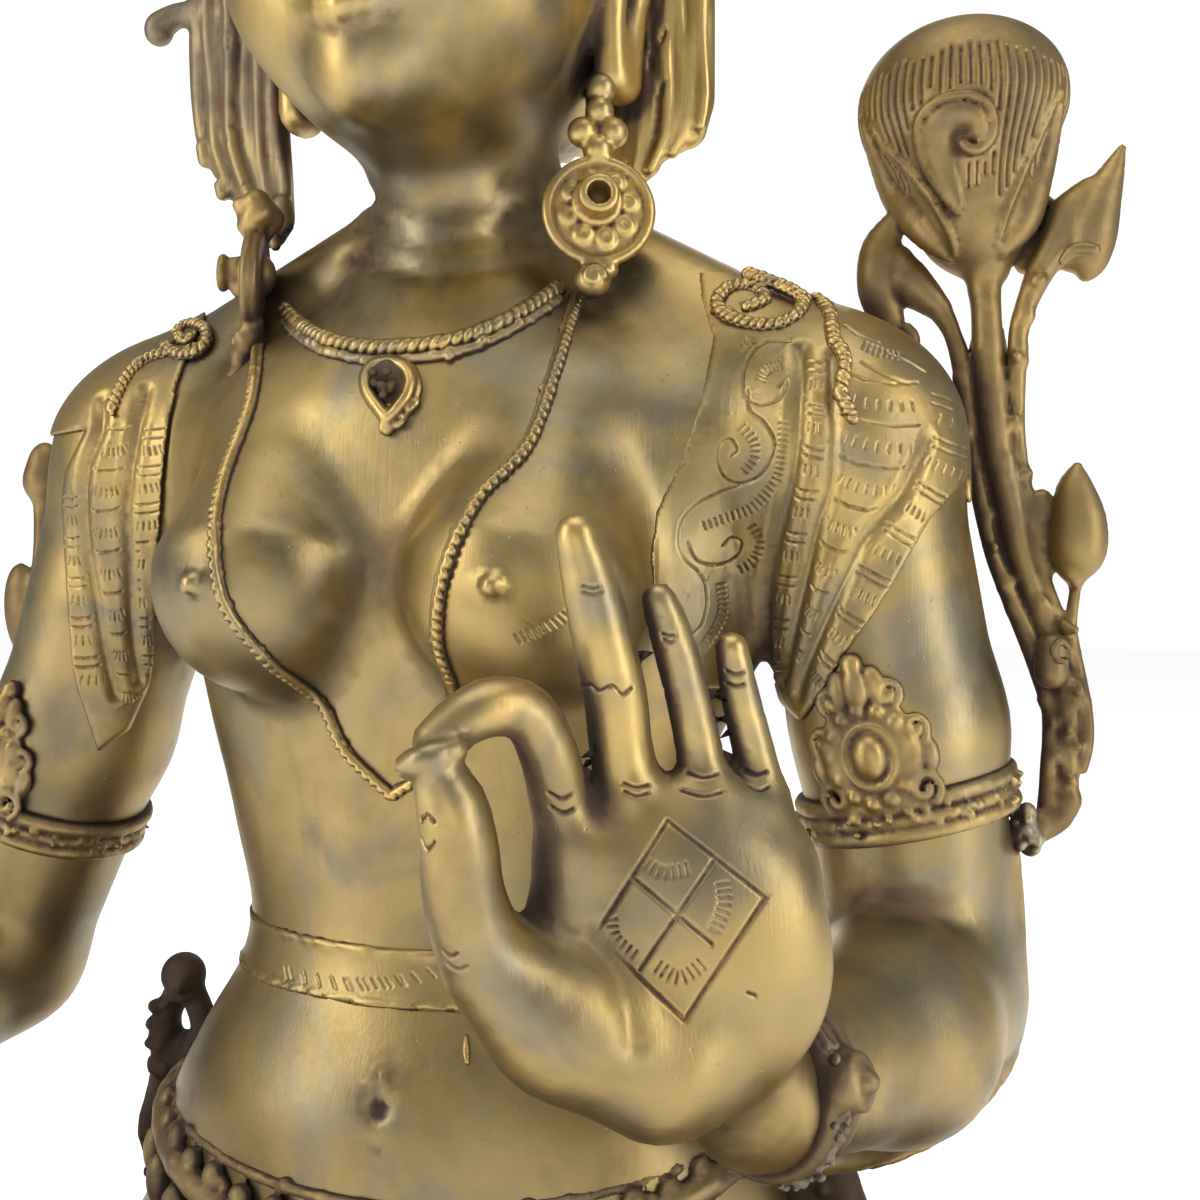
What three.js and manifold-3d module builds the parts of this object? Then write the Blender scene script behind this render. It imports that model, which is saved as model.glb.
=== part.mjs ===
// Seated bodhisattva figure cast in brass, with two lotus sprays, on a low lotus base.
// Millimetres, Z up, the figure faces -Y and its own left hand is on +X.
// The body is written in canon units, the module by which such figures are proportioned,
// with z = 0 on the seat. place() turns canon units into the part's millimetres.
import * as THREE from 'three';
import { mergeVertices } from 'three/addons/utils/BufferGeometryUtils.js';
import { edgeTable, triTable } from 'three/addons/objects/MarchingCubes.js';
import Module from 'manifold-3d';

const wasm = await Module();
wasm.setup();
const { Manifold, Mesh } = wasm;

// Driving sizes.
const UNIT = 9.6;            // mm in one canon unit, 28 of them across the shoulders
const PLINTH_FOOT = -12.4;   // underside of the plinth below the seat
const PLINTH_TOP = -11.1;
const GAP = 0.035;           // canon units left between neighbouring castings

const DRUM_CENTRE_Y = -1;
const PLINTH_RADII = [24.8, 15.9];
const RIM_RADII = [23.3, 14.4];
const TOE_LOBE_CENTRE = [-13.8, -22.6];
const TOE_LOBE_RADII = [7.6, 5.6];
const TOE_SEAT = -8.5;          // top of the small lotus under the hanging foot
const TOE_TURN = 0.5;        // radians, the hanging foot points out to the side
const MIDDLE_Y = -6.92;      // middle of the plinth, front to back

const HEAD_CENTRE = [0, 0.2, 46.4];
const CROWN_Z = 49.6;
const CHIGNON_Y = 1.4;

const FIGURE_CELL = 0.36;
const FIGURE_TRIANGLES = 6300;
const SPRAY_CELL = 0.2;
const LEFT_SPRAY_TRIANGLES = 860;
const RIGHT_SPRAY_TRIANGLES = 320;
const BASE_TRIANGLES = 2200;

const BRASS = new THREE.MeshStandardMaterial({ name: 'brass', color: 0x9c8446, metalness: 0.9,
  roughness: 0.38 });

// Small vector helpers.
const add = (a, b) => [a[0] + b[0], a[1] + b[1], a[2] + b[2]];
const sub = (a, b) => [a[0] - b[0], a[1] - b[1], a[2] - b[2]];
const times = (a, s) => [a[0] * s, a[1] * s, a[2] * s];
const dot = (a, b) => a[0] * b[0] + a[1] * b[1] + a[2] * b[2];
const size = (a) => Math.hypot(a[0], a[1], a[2]);
const unit = (a) => times(a, 1 / Math.max(size(a), 1e-9));
const cross = (a, b) => [a[1] * b[2] - a[2] * b[1], a[2] * b[0] - a[0] * b[2], a[0] * b[1] - a[1] * b[0]];
const mix = (a, b, t) => a + (b - a) * t;
const blend3 = (a, b, t) => [mix(a[0], b[0], t), mix(a[1], b[1], t), mix(a[2], b[2], t)];
const place = (p) => [p[0] * UNIT, (p[1] - MIDDLE_Y) * UNIT, (p[2] - PLINTH_FOOT) * UNIT];

// Catmull-Rom through rows of numbers, t runs from 0 to rows.length - 1.
function curveAt(rows, t) {
  const last = rows.length - 1;
  const i = Math.min(Math.max(Math.floor(t), 0), last - 1);
  const f = t - i;
  const p0 = rows[Math.max(i - 1, 0)];
  const p1 = rows[i];
  const p2 = rows[i + 1];
  const p3 = rows[Math.min(i + 2, last)];
  return p1.map((_, k) => 0.5 * (2 * p1[k] + (p2[k] - p0[k]) * f
    + (2 * p0[k] - 5 * p1[k] + 4 * p2[k] - p3[k]) * f * f
    + (3 * p1[k] - p0[k] - 3 * p2[k] + p3[k]) * f * f * f));
}

function smoothRow(rows, steps) {
  const out = [];
  for (let i = 0; i <= (rows.length - 1) * steps; i += 1) {
    out.push(curveAt(rows, i / steps));
  }
  return out;
}

// Modelling clay.
// A form is a box it lives in, a blend width k and a distance function.
function form(lo, hi, k, dist, cut = false) {
  return { lo, hi, k, dist, cut };
}

function boundsOf(points, pad) {
  const lo = [0, 1, 2].map((a) => Math.min(...points.map((p) => p[a])) - pad);
  const hi = [0, 1, 2].map((a) => Math.max(...points.map((p) => p[a])) + pad);
  return [lo, hi];
}

function ball(c, r, k) {
  const [lo, hi] = boundsOf([c], r);
  return form(lo, hi, k, (x, y, z) => Math.hypot(x - c[0], y - c[1], z - c[2]) - r);
}

function bone(a, b, ra, rb, k) {
  const [lo, hi] = boundsOf([a, b], Math.max(ra, rb));
  const d = sub(b, a);
  const dd = dot(d, d);
  return form(lo, hi, k, (x, y, z) => {
    const px = x - a[0];
    const py = y - a[1];
    const pz = z - a[2];
    const h = Math.min(Math.max((px * d[0] + py * d[1] + pz * d[2]) / dd, 0), 1);
    return Math.hypot(px - h * d[0], py - h * d[1], pz - h * d[2]) - mix(ra, rb, h);
  });
}

// An egg: an ellipsoid with its long way along `along` and its flat side facing `face`.
function egg(c, r, k, along = [0, 0, 1], face = [0, -1, 0]) {
  const w = unit(along);
  const u = unit(cross(w, face));
  const v = cross(w, u);
  const reach = Math.max(...r);
  const [lo, hi] = boundsOf([c], reach);
  return form(lo, hi, k, (x, y, z) => {
    const p = [x - c[0], y - c[1], z - c[2]];
    const qx = dot(p, u) / r[0];
    const qy = dot(p, v) / r[1];
    const qz = dot(p, w) / r[2];
    const k0 = Math.hypot(qx, qy, qz);
    const k1 = Math.hypot(qx / r[0], qy / r[1], qz / r[2]);
    return k1 < 1e-6 ? -Math.min(...r) : (k0 * (k0 - 1)) / k1;
  });
}

// A round cord through points [x, y, z, radius].
function cord(rows, k, steps = 4) {
  const pts = steps > 1 ? smoothRow(rows, steps) : rows;
  const reach = Math.max(...pts.map((p) => p[3]));
  const [lo, hi] = boundsOf(pts, reach);
  const legs = [];
  for (let i = 0; i < pts.length - 1; i += 1) {
    const d = sub(pts[i + 1], pts[i]);
    legs.push([pts[i], d, Math.max(dot(d, d), 1e-9), pts[i + 1][3] - pts[i][3]]);
  }
  return form(lo, hi, k, (x, y, z) => {
    let best = 1e9;
    for (const [a, d, dd, dr] of legs) {
      const px = x - a[0];
      const py = y - a[1];
      const pz = z - a[2];
      const h = Math.min(Math.max((px * d[0] + py * d[1] + pz * d[2]) / dd, 0), 1);
      const e = Math.hypot(px - h * d[0], py - h * d[1], pz - h * d[2]) - (a[3] + h * dr);
      best = Math.min(best, e);
    }
    return best;
  });
}

// A hoop round an axis, with its own two radii across the axis.
function hoop(c, axis, radii, r, k, side = [1, 0, 0]) {
  const w = unit(axis);
  const v = unit(cross(w, side));
  const u = cross(v, w);
  const rows = [];
  for (let i = 0; i <= 24; i += 1) {
    const a = (i / 24) * Math.PI * 2;
    const p = add(c, add(times(u, Math.cos(a) * radii[0]), times(v, Math.sin(a) * radii[1])));
    rows.push([...p, r]);
  }
  return cord(rows, k, 1);
}

// A disc with rounded rim, thickness 2 * half along its axis.
function disc(c, axis, radius, half, k, round = 0.15) {
  const w = unit(axis);
  const [lo, hi] = boundsOf([c], radius + half);
  return form(lo, hi, k, (x, y, z) => {
    const p = [x - c[0], y - c[1], z - c[2]];
    const h = dot(p, w);
    const rad = Math.hypot(...sub(p, times(w, h))) - radius + round;
    const flat = Math.abs(h) - half + round;
    return Math.min(Math.max(rad, flat), 0) + Math.hypot(Math.max(rad, 0), Math.max(flat, 0)) - round;
  });
}

// A body of elliptical sections, rows are [z, half width, front y, back y].
function trunk(rows, k) {
  const steps = 40;
  const low = rows[0][0];
  const high = rows[rows.length - 1][0];
  const table = [];
  for (let i = 0; i <= (rows.length - 1) * steps; i += 1) {
    table.push(curveAt(rows, i / steps));
  }
  const fine = 400;
  const look = [];
  let j = 0;
  for (let i = 0; i <= fine; i += 1) {
    const z = mix(low, high, i / fine);
    while (j < table.length - 2 && table[j + 1][0] < z) j += 1;
    const f = (z - table[j][0]) / Math.max(table[j + 1][0] - table[j][0], 1e-9);
    look.push(table[j].map((v, n) => mix(v, table[j + 1][n], Math.min(Math.max(f, 0), 1))));
  }
  const widest = Math.max(...rows.map((r) => r[1]));
  const front = Math.min(...rows.map((r) => r[2]));
  const back = Math.max(...rows.map((r) => r[3]));
  return form([-widest, front, low], [widest, back, high], k, (x, y, z) => {
    const t = Math.min(Math.max(((z - low) / (high - low)) * fine, 0), fine - 1e-6);
    const i = Math.floor(t);
    const f = t - i;
    const a = mix(look[i][1], look[i + 1][1], f);
    const y0 = mix(look[i][2], look[i + 1][2], f);
    const y1 = mix(look[i][3], look[i + 1][3], f);
    const b = (y1 - y0) / 2;
    const qx = x / a;
    const qy = (y - (y0 + y1) / 2) / b;
    const k0 = Math.hypot(qx, qy);
    const k1 = Math.hypot(qx / a, qy / b);
    const side = k1 < 1e-6 ? -Math.min(a, b) : (k0 * (k0 - 1)) / k1;
    return Math.max(side, low - z, z - high);
  });
}

function carve(shape) {
  return { ...shape, cut: true };
}

function smoothMin(a, b, k) {
  if (k <= 0) return Math.min(a, b);
  const h = Math.max(k - Math.abs(a - b), 0) / k;
  return Math.min(a, b) - h * h * k * 0.25;
}

function distanceAt(forms, x, y, z) {
  let value = 9;
  for (const f of forms) {
    const pad = f.k + 1.5;
    const inside = x > f.lo[0] - pad && x < f.hi[0] + pad && y > f.lo[1] - pad && y < f.hi[1] + pad
      && z > f.lo[2] - pad && z < f.hi[2] + pad;
    if (inside) {
      const d = f.dist(x, y, z);
      value = f.cut ? -smoothMin(-value, d, f.k) : smoothMin(value, d, f.k);
    }
  }
  return value;
}

// Where a line leaving `from` towards `way` first meets the modelled surface.
function land(forms, from, way, lift = 0) {
  const w = unit(way);
  let t = 0;
  for (let i = 0; i < 400; i += 1) {
    const p = add(from, times(w, t));
    const d = distanceAt(forms, p[0], p[1], p[2]) - lift;
    if (d < 0.004) break;
    t += Math.min(Math.max(d * 0.6, 0.004), 1);
  }
  return add(from, times(w, t));
}

const onFront = (forms, x, z, lift = 0) => land(forms, [x, -14, z], [0, 1, 0], lift);

// From clay to faces.
function sampled(forms, cell) {
  const solid = forms.filter((f) => !f.cut);
  const lo = [0, 1, 2].map((a) => Math.min(...solid.map((f) => f.lo[a])) - 2 * cell);
  const hi = [0, 1, 2].map((a) => Math.max(...solid.map((f) => f.hi[a])) + 2 * cell);
  const n = [0, 1, 2].map((a) => Math.ceil((hi[a] - lo[a]) / cell) + 1);
  const value = new Float32Array(n[0] * n[1] * n[2]).fill(9);
  for (const f of forms) {
    const pad = f.k + 2.5 * cell;
    const from = [0, 1, 2].map((a) => Math.max(Math.floor((f.lo[a] - pad - lo[a]) / cell), 0));
    const to = [0, 1, 2].map((a) => Math.min(Math.ceil((f.hi[a] + pad - lo[a]) / cell), n[a] - 1));
    for (let k = from[2]; k <= to[2]; k += 1) {
      for (let j = from[1]; j <= to[1]; j += 1) {
        let at = (k * n[1] + j) * n[0] + from[0];
        for (let i = from[0]; i <= to[0]; i += 1, at += 1) {
          const d = f.dist(lo[0] + i * cell, lo[1] + j * cell, lo[2] + k * cell);
          value[at] = f.cut ? -smoothMin(-value[at], d, f.k) : smoothMin(value[at], d, f.k);
        }
      }
    }
  }
  return { lo, n, cell, value };
}

const CORNERS = [[0, 0, 0], [1, 0, 0], [1, 1, 0], [0, 1, 0], [0, 0, 1], [1, 0, 1], [1, 1, 1], [0, 1, 1]];
const EDGES = [[0, 1], [1, 2], [2, 3], [3, 0], [4, 5], [5, 6], [6, 7], [7, 4], [0, 4], [1, 5], [2, 6],
  [3, 7]];

function skin({ lo, n, cell, value }) {
  const points = [];
  const faces = [];
  const known = new Map();
  const shift = CORNERS.map(([i, j, k]) => (k * n[1] + j) * n[0] + i);
  for (let k = 0; k < n[2] - 1; k += 1) {
    for (let j = 0; j < n[1] - 1; j += 1) {
      for (let i = 0; i < n[0] - 1; i += 1) {
        const base = (k * n[1] + j) * n[0] + i;
        let kind = 0;
        for (let c = 0; c < 8; c += 1) {
          if (value[base + shift[c]] < 0) kind |= 1 << c;
        }
        if (edgeTable[kind] === 0) continue;
        const made = [];
        for (let e = 0; e < 12; e += 1) {
          if (!(edgeTable[kind] & (1 << e))) continue;
          const [c0, c1] = EDGES[e];
          const ia = base + shift[c0];
          const ib = base + shift[c1];
          const key = Math.min(ia, ib) * 4 + (e >= 8 ? 2 : e % 2);
          if (!known.has(key)) {
            const va = value[ia];
            const vb = value[ib];
            const t = Math.min(Math.max(va / (va - vb), 0.02), 0.98);
            const a = CORNERS[c0];
            const b = CORNERS[c1];
            known.set(key, points.length);
            points.push([0, 1, 2].map((x) => lo[x] + ([i, j, k][x] + mix(a[x], b[x], t)) * cell));
          }
          made[e] = known.get(key);
        }
        for (let t = kind * 16; triTable[t] !== -1; t += 3) {
          faces.push([made[triTable[t]], made[triTable[t + 2]], made[triTable[t + 1]]]);
        }
      }
    }
  }
  return { points, faces };
}

// Keeps the largest closed shell and drops stray crumbs.
function mainShell({ points, faces }) {
  const parent = points.map((_, i) => i);
  const find = (i) => {
    let r = i;
    while (parent[r] !== r) {
      parent[r] = parent[parent[r]];
      r = parent[r];
    }
    return r;
  };
  for (const [a, b, c] of faces) {
    parent[find(a)] = find(b);
    parent[find(b)] = find(c);
  }
  const count = new Map();
  for (const f of faces) count.set(find(f[0]), (count.get(find(f[0])) || 0) + 1);
  let main = -1;
  for (const [root, c] of count) if (main < 0 || c > count.get(main)) main = root;
  const index = new Map();
  const kept = [];
  const keptFaces = [];
  for (const f of faces) {
    if (find(f[0]) !== main) continue;
    keptFaces.push(f.map((v) => {
      if (!index.has(v)) {
        index.set(v, kept.length);
        kept.push(points[v]);
      }
      return index.get(v);
    }));
  }
  return { points: kept, faces: keptFaces };
}

// Fewer, better placed faces.
class Heap {
  constructor() {
    this.items = [];
  }

  push(item) {
    const h = this.items;
    let i = h.length;
    h.push(item);
    while (i > 0) {
      const p = (i - 1) >> 1;
      if (h[p].cost <= item.cost) break;
      h[i] = h[p];
      i = p;
    }
    h[i] = item;
  }

  pop() {
    const h = this.items;
    const top = h[0];
    const item = h.pop();
    if (h.length) {
      let i = 0;
      for (;;) {
        let c = 2 * i + 1;
        if (c >= h.length) break;
        if (c + 1 < h.length && h[c + 1].cost < h[c].cost) c += 1;
        if (h[c].cost >= item.cost) break;
        h[i] = h[c];
        i = c;
      }
      h[i] = item;
    }
    return top;
  }
}

function planeQuadric(a, b, c) {
  const n = cross(sub(b, a), sub(c, a));
  const area = size(n);
  if (area < 1e-12) return new Float64Array(10);
  const u = times(n, 1 / area);
  const d = -dot(u, a);
  const w = area / 2;
  return Float64Array.from([u[0] * u[0], u[0] * u[1], u[0] * u[2], u[0] * d, u[1] * u[1], u[1] * u[2],
    u[1] * d, u[2] * u[2], u[2] * d, d * d].map((v) => v * w));
}

function quadricCost(q, p) {
  const [x, y, z] = p;
  return q[0] * x * x + 2 * q[1] * x * y + 2 * q[2] * x * z + 2 * q[3] * x + q[4] * y * y
    + 2 * q[5] * y * z + 2 * q[6] * y + q[7] * z * z + 2 * q[8] * z + q[9];
}

function quadricBest(q, a, b) {
  const mid = blend3(a, b, 0.5);
  const reg = 1e-3 * (q[0] + q[4] + q[7]) + 1e-9;
  const m = [q[0] + reg, q[1], q[2], q[4] + reg, q[5], q[7] + reg];
  const r = [-q[3] + reg * mid[0], -q[6] + reg * mid[1], -q[8] + reg * mid[2]];
  const c0 = m[3] * m[5] - m[4] * m[4];
  const c1 = m[2] * m[4] - m[1] * m[5];
  const c2 = m[1] * m[4] - m[2] * m[3];
  const det = m[0] * c0 + m[1] * c1 + m[2] * c2;
  if (Math.abs(det) < 1e-18) return mid;
  const i11 = m[0] * m[5] - m[2] * m[2];
  const i12 = m[1] * m[2] - m[0] * m[4];
  const i22 = m[0] * m[3] - m[1] * m[1];
  return [
    (c0 * r[0] + c1 * r[1] + c2 * r[2]) / det,
    (c1 * r[0] + i11 * r[1] + i12 * r[2]) / det,
    (c2 * r[0] + i12 * r[1] + i22 * r[2]) / det,
  ];
}

// Edge collapse by surface error. A collapse that would pinch or fold the skin is skipped.
function reduced({ points, faces }, wanted, weightAt = () => 1) {
  const pos = points.map((p) => [...p]);
  const tris = faces.map((f) => [...f]);
  const alive = new Uint8Array(tris.length).fill(1);
  const around = pos.map(() => new Set());
  const quad = pos.map(() => new Float64Array(10));
  const stamp = new Uint32Array(pos.length);
  tris.forEach((f, i) => {
    const q = planeQuadric(pos[f[0]], pos[f[1]], pos[f[2]]);
    for (const v of f) {
      around[v].add(i);
      for (let k = 0; k < 10; k += 1) quad[v][k] += q[k];
    }
  });
  pos.forEach((p, v) => {
    const w = weightAt(p);
    for (let k = 0; k < 10; k += 1) quad[v][k] *= w;
  });
  const heap = new Heap();
  const offer = (a, b) => {
    const q = quad[a].map((v, k) => v + quad[b][k]);
    const p = quadricBest(q, pos[a], pos[b]);
    const span = size(sub(pos[a], pos[b]));
    const far = size(sub(p, blend3(pos[a], pos[b], 0.5)));
    const at = far > span ? blend3(pos[a], pos[b], 0.5) : p;
    const cost = Math.max(quadricCost(q, at), 0) + 1e-5 * span * span;
    heap.push({ cost, a, b, at, sa: stamp[a], sb: stamp[b] });
  };
  const neighbours = (v) => {
    const out = new Set();
    for (const f of around[v]) for (const w of tris[f]) if (w !== v) out.add(w);
    return out;
  };
  const folds = (v, other, at) => {
    for (const f of around[v]) {
      if (tris[f].includes(other)) continue;
      const [a, b, c] = tris[f].map((w) => pos[w]);
      const [d, e, g] = tris[f].map((w) => (w === v ? at : pos[w]));
      const n0 = cross(sub(b, a), sub(c, a));
      const n1 = cross(sub(e, d), sub(g, d));
      if (dot(n0, n1) < 0.25 * size(n0) * size(n1)) return true;
      const longest = Math.max(size(sub(e, d)), size(sub(g, d)), size(sub(g, e)));
      if (size(n1) < 0.02 * longest * longest) return true;
    }
    return false;
  };
  for (let v = 0; v < pos.length; v += 1) {
    for (const w of neighbours(v)) if (w > v) offer(v, w);
  }
  let left = tris.length;
  while (left > wanted && heap.items.length) {
    const { a, b, at, sa, sb } = heap.pop();
    if (stamp[a] !== sa || stamp[b] !== sb) continue;
    if (!around[a].size || !around[b].size) continue;
    const na = neighbours(a);
    const shared = [...neighbours(b)].filter((v) => na.has(v));
    if (shared.length !== 2 || folds(a, b, at) || folds(b, a, at)) continue;
    for (const f of [...around[b]]) {
      if (tris[f].includes(a)) {
        for (const v of tris[f]) around[v].delete(f);
        alive[f] = 0;
        left -= 1;
      } else {
        tris[f] = tris[f].map((v) => (v === b ? a : v));
        around[a].add(f);
      }
    }
    around[b].clear();
    pos[a] = at;
    for (let k = 0; k < 10; k += 1) quad[a][k] += quad[b][k];
    stamp[a] += 1;
    stamp[b] += 1;
    for (const v of neighbours(a)) offer(a, v);
  }
  return { points: pos, faces: tris.filter((_, i) => alive[i]) };
}

function toGeometry({ points, faces }, turn = place) {
  const geometry = new THREE.BufferGeometry();
  geometry.setAttribute('position', new THREE.Float32BufferAttribute(points.flatMap((p) => turn(p)), 3));
  geometry.setIndex(faces.flat());
  geometry.computeVertexNormals();
  return geometry;
}

function cast(forms, cell, triangles, weightAt, finish = (p) => p) {
  const light = reduced(mainShell(skin(sampled(forms, cell))), triangles, weightAt);
  return toGeometry({ points: light.points.map(finish), faces: light.faces });
}

// Trims what the thinning left over the seat's rim.
function seated(geometry) {
  const room = 0.1;
  const [rx, ry] = RIM_RADII;
  const seat = stack([[-3, rx + room, ry + room], [GAP, rx + room, ry + room]], [0, DRUM_CENTRE_Y], 48);
  return fromManifold(toManifold(geometry).subtract(toManifold(seat)));
}

// The body.
const TRUNK_ROWS = [
  [-2, 9.0, -5.4, 6.8],
  [1, 9.7, -5.9, 7.6],
  [4.5, 10.1, -6.2, 7.7],
  [8, 9.7, -6.3, 6.9],
  [10.6, 8.65, -6.25, 5.7],
  [12.4, 7.6, -5.9, 4.7],
  [15.2, 6.25, -4.7, 3.9],
  [18.5, 7.0, -4.4, 4.0],
  [22, 8.0, -4.7, 4.6],
  [26, 8.8, -5.1, 5.0],
  [29.4, 8.7, -5.1, 4.6],
  [31.4, 6.9, -4.4, 3.9],
  [33, 4.4, -3.5, 3.1],
  [34.6, 2.75, -2.8, 2.5],
  [36.6, 2.55, -2.6, 2.5],
  [39.5, 2.9, -2.9, 2.8],
];
const BREAST = [3.7, -4.3, 25.5];
const BREAST_RADIUS = 3.2;
const NIPPLE = [4.1, -7.6, 25.4];
const NAVEL = [0.3, -6.0, 12.4];

const LEFT_ARM = [[11.0, 0.4, 29.1, 3.05], [12.6, 0.7, 21.5, 2.75], [13.3, 0.9, 14.4, 2.45]];
const LEFT_WRIST = [10.5, -7.95, 14.5];
const RIGHT_ARM = [[-10.5, 0.4, 29.1, 3.05], [-13.7, 0.7, 20.5, 2.75], [-16.8, 0.6, 12.9, 2.4]];
const RIGHT_WRIST = [-18.6, -13.3, 8.2];

const LEFT_KNEE = [18.6, -8.4, 3.6];
const LEFT_ANKLE = [3.6, -12.6, 2.5];
const RIGHT_KNEE = [-17.6, -12.4, 2.8];
const RIGHT_ANKLE = [-9.6, -20.3, -6.4];
const FOOT_WAY = unit([-0.86, -0.5, 0]);

function torsoForms() {
  const forms = [trunk(TRUNK_ROWS, 0)];
  for (const s of [1, -1]) {
    const arm = s > 0 ? LEFT_ARM[0] : RIGHT_ARM[0];
    forms.push(bone([s * 4, 0.4, 30.2], arm, 2.4, arm[3], 1.6));
    forms.push(bone([s * 2.2, 1.3, 35.6], [s * 9.4, 0.9, 30.9], 1.6, 2.3, 1.6));
    forms.push(bone([s * 4.0, -2.4, 29.6], BREAST.map((v, i) => (i ? v : s * v)), 1.9, BREAST_RADIUS, 0.85));
    forms.push(ball([s * NIPPLE[0], NIPPLE[1], NIPPLE[2]], 0.36, 0.25));
    forms.push(egg([s * 4.6, 3.4, 3.4], [4.6, 4.4, 4.4], 1.2));
  }
  forms.push(bone([7.6, 0.6, 27.5], [7.2, 0.6, 22.9], 1.7, 1.25, 0.9));
  forms.push(carve(ball([NAVEL[0], NAVEL[1] - 0.1, NAVEL[2]], 0.34, 0.3)));
  return forms;
}

function armForms() {
  const forms = [];
  for (const arm of [LEFT_ARM, RIGHT_ARM]) {
    const [a, b, c] = arm;
    forms.push(bone(a, b, a[3], b[3], 1.2));
    forms.push(bone(b, c, b[3], c[3], 0.8));
  }
  const elbow = LEFT_ARM[2];
  const swell = [12.7, -2.6, 14.3];
  forms.push(bone(elbow, swell, 2.45, 2.65, 0.9));
  forms.push(bone(swell, LEFT_WRIST, 2.65, 1.7, 0.7));
  const rightElbow = RIGHT_ARM[2];
  const rightSwell = [-17.4, -3.2, 11.9];
  forms.push(bone(rightElbow, rightSwell, 2.4, 2.5, 0.9));
  forms.push(bone(rightSwell, RIGHT_WRIST, 2.5, 1.6, 0.7));
  return forms;
}

// Hands and feet.
// The raised hand: index bent down to meet the thumb, three fingers upright.
const RAISED = {
  index: [[7.56, -11.63, 20.2, 0.72], [7.35, -11.9, 21.2, 0.62], [7.26, -12.35, 22.2, 0.58],
    [7.0, -12.75, 23.0, 0.57], [6.53, -13.25, 23.2, 0.58], [6.07, -13.7, 23.0, 0.53],
    [5.63, -14.05, 22.6, 0.45]],
  middle: [[8.57, -11.1, 21.2, 0.68], [8.4, -11.25, 22.3, 0.64], [8.35, -11.45, 23.3, 0.64],
    [8.2, -11.7, 24.3, 0.62], [8.0, -11.9, 25.4, 0.57], [7.78, -12.2, 26.5, 0.42]],
  ring: [[9.93, -10.3, 21.4, 0.52], [9.72, -10.5, 22.7, 0.46], [9.52, -10.75, 23.8, 0.45],
    [9.3, -10.95, 24.7, 0.42], [9.16, -11.1, 25.2, 0.35]],
  little: [[10.98, -9.6, 21.1, 0.5], [10.77, -9.75, 22.2, 0.43], [10.58, -10.0, 23.2, 0.4],
    [10.44, -10.2, 24.2, 0.34]],
  thumb: [[7.18, -12.6, 17.2, 1.2], [6.42, -13.35, 18.3, 0.92], [6.15, -13.9, 19.6, 0.79],
    [6.12, -14.1, 20.6, 0.75], [6.05, -14.25, 21.4, 0.67], [5.87, -14.4, 21.9, 0.52]],
};
const PALM_LOW = [9.9, -10.85, 17.7];
const PALM_TOP = [9.75, -10.6, 19.6];
const PALM_FACE = [0.42, -0.9, 0.05];

function raisedHandForms() {
  const forms = [];
  forms.push(egg(PALM_LOW, [2.75, 1.05, 2.95], 0.6, [0.22, 0, 1], PALM_FACE));
  forms.push(egg(PALM_TOP, [2.6, 0.98, 2.1], 0.7, [0.05, 0, 1], PALM_FACE));
  forms.push(bone([6.5, -12.9, 18.2], [7.6, -12.0, 16.9], 0.9, 1.45, 0.6));
  forms.push(bone([7.6, -12.0, 16.9], [9.1, -10.85, 15.95], 1.45, 1.66, 0.6));
  forms.push(bone(RAISED.index[0].slice(0, 3), [7.4, -11.6, 18.5], 0.74, 0.95, 0.5));
  forms.push(bone(LEFT_WRIST, [9.9, -10.1, 16.6], 1.65, 1.2, 0.4));
  for (const [name, r] of [['index', 0.8], ['middle', 0.85], ['ring', 0.75], ['little', 0.7]]) {
    const root = RAISED[name][0];
    const base = root.slice(0, 3);
    forms.push(bone(blend3(PALM_TOP, base, 0.3), base, r, root[3], 0.5));
    forms.push(cord(RAISED[name], 0.22, 3));
  }
  forms.push(cord(RAISED.thumb, 0.5, 3));
  forms.push(cord([[5.4, -14.75, 22.22, 0.27], [5.8, -14.8, 22.37, 0.3], [6.2, -14.4, 22.5, 0.24]], 0.1, 3));
  return forms;
}

// The giving hand lies over the knee, palm out and fingers down.
function givingHandForms() {
  const root = add(RIGHT_WRIST, [0, -0.5, -0.1]);
  const forms = [];
  const spread = [-1.85, -0.65, 0.6, 1.75];
  const reach = [5.2, 5.9, 5.6, 4.5];
  const knuckleZ = 2.2;
  spread.forEach((s, i) => {
    const knuckle = [-18.4 + s, -16.7, knuckleZ + 0.25 * Math.abs(s)];
    forms.push(bone(add(root, [s * 0.45, -1.6, -0.5]), knuckle, 1.15, 0.85, 0.7));
    forms.push(cord([
      [...knuckle, 0.72],
      [-18.4 + s * 1.12, -17.0, knuckle[2] - reach[i] * 0.36, 0.62],
      [-18.35 + s * 1.16, -17.1, knuckle[2] - reach[i] * 0.7, 0.54],
      [-18.3 + s * 1.15, -16.9, knuckle[2] - reach[i], 0.38],
    ], 0.28, 3));
  });
  forms.push(bone(RIGHT_WRIST, add(root, [0, -1.6, -0.6]), 1.6, 1.4, 0.8));
  forms.push(egg([-18.4, -15.9, 4.9], [2.2, 1.0, 2.7], 0.6, [0, -0.3, -1]));
  forms.push(cord([
    [-17.2, -15.2, 6.3, 1.0],
    [-16.3, -16.0, 5.0, 0.85],
    [-15.7, -16.7, 3.5, 0.64],
    [-15.5, -17.1, 1.9, 0.5],
    [-15.6, -17.2, 1.1, 0.4],
  ], 0.5, 3));
  return forms;
}

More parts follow.
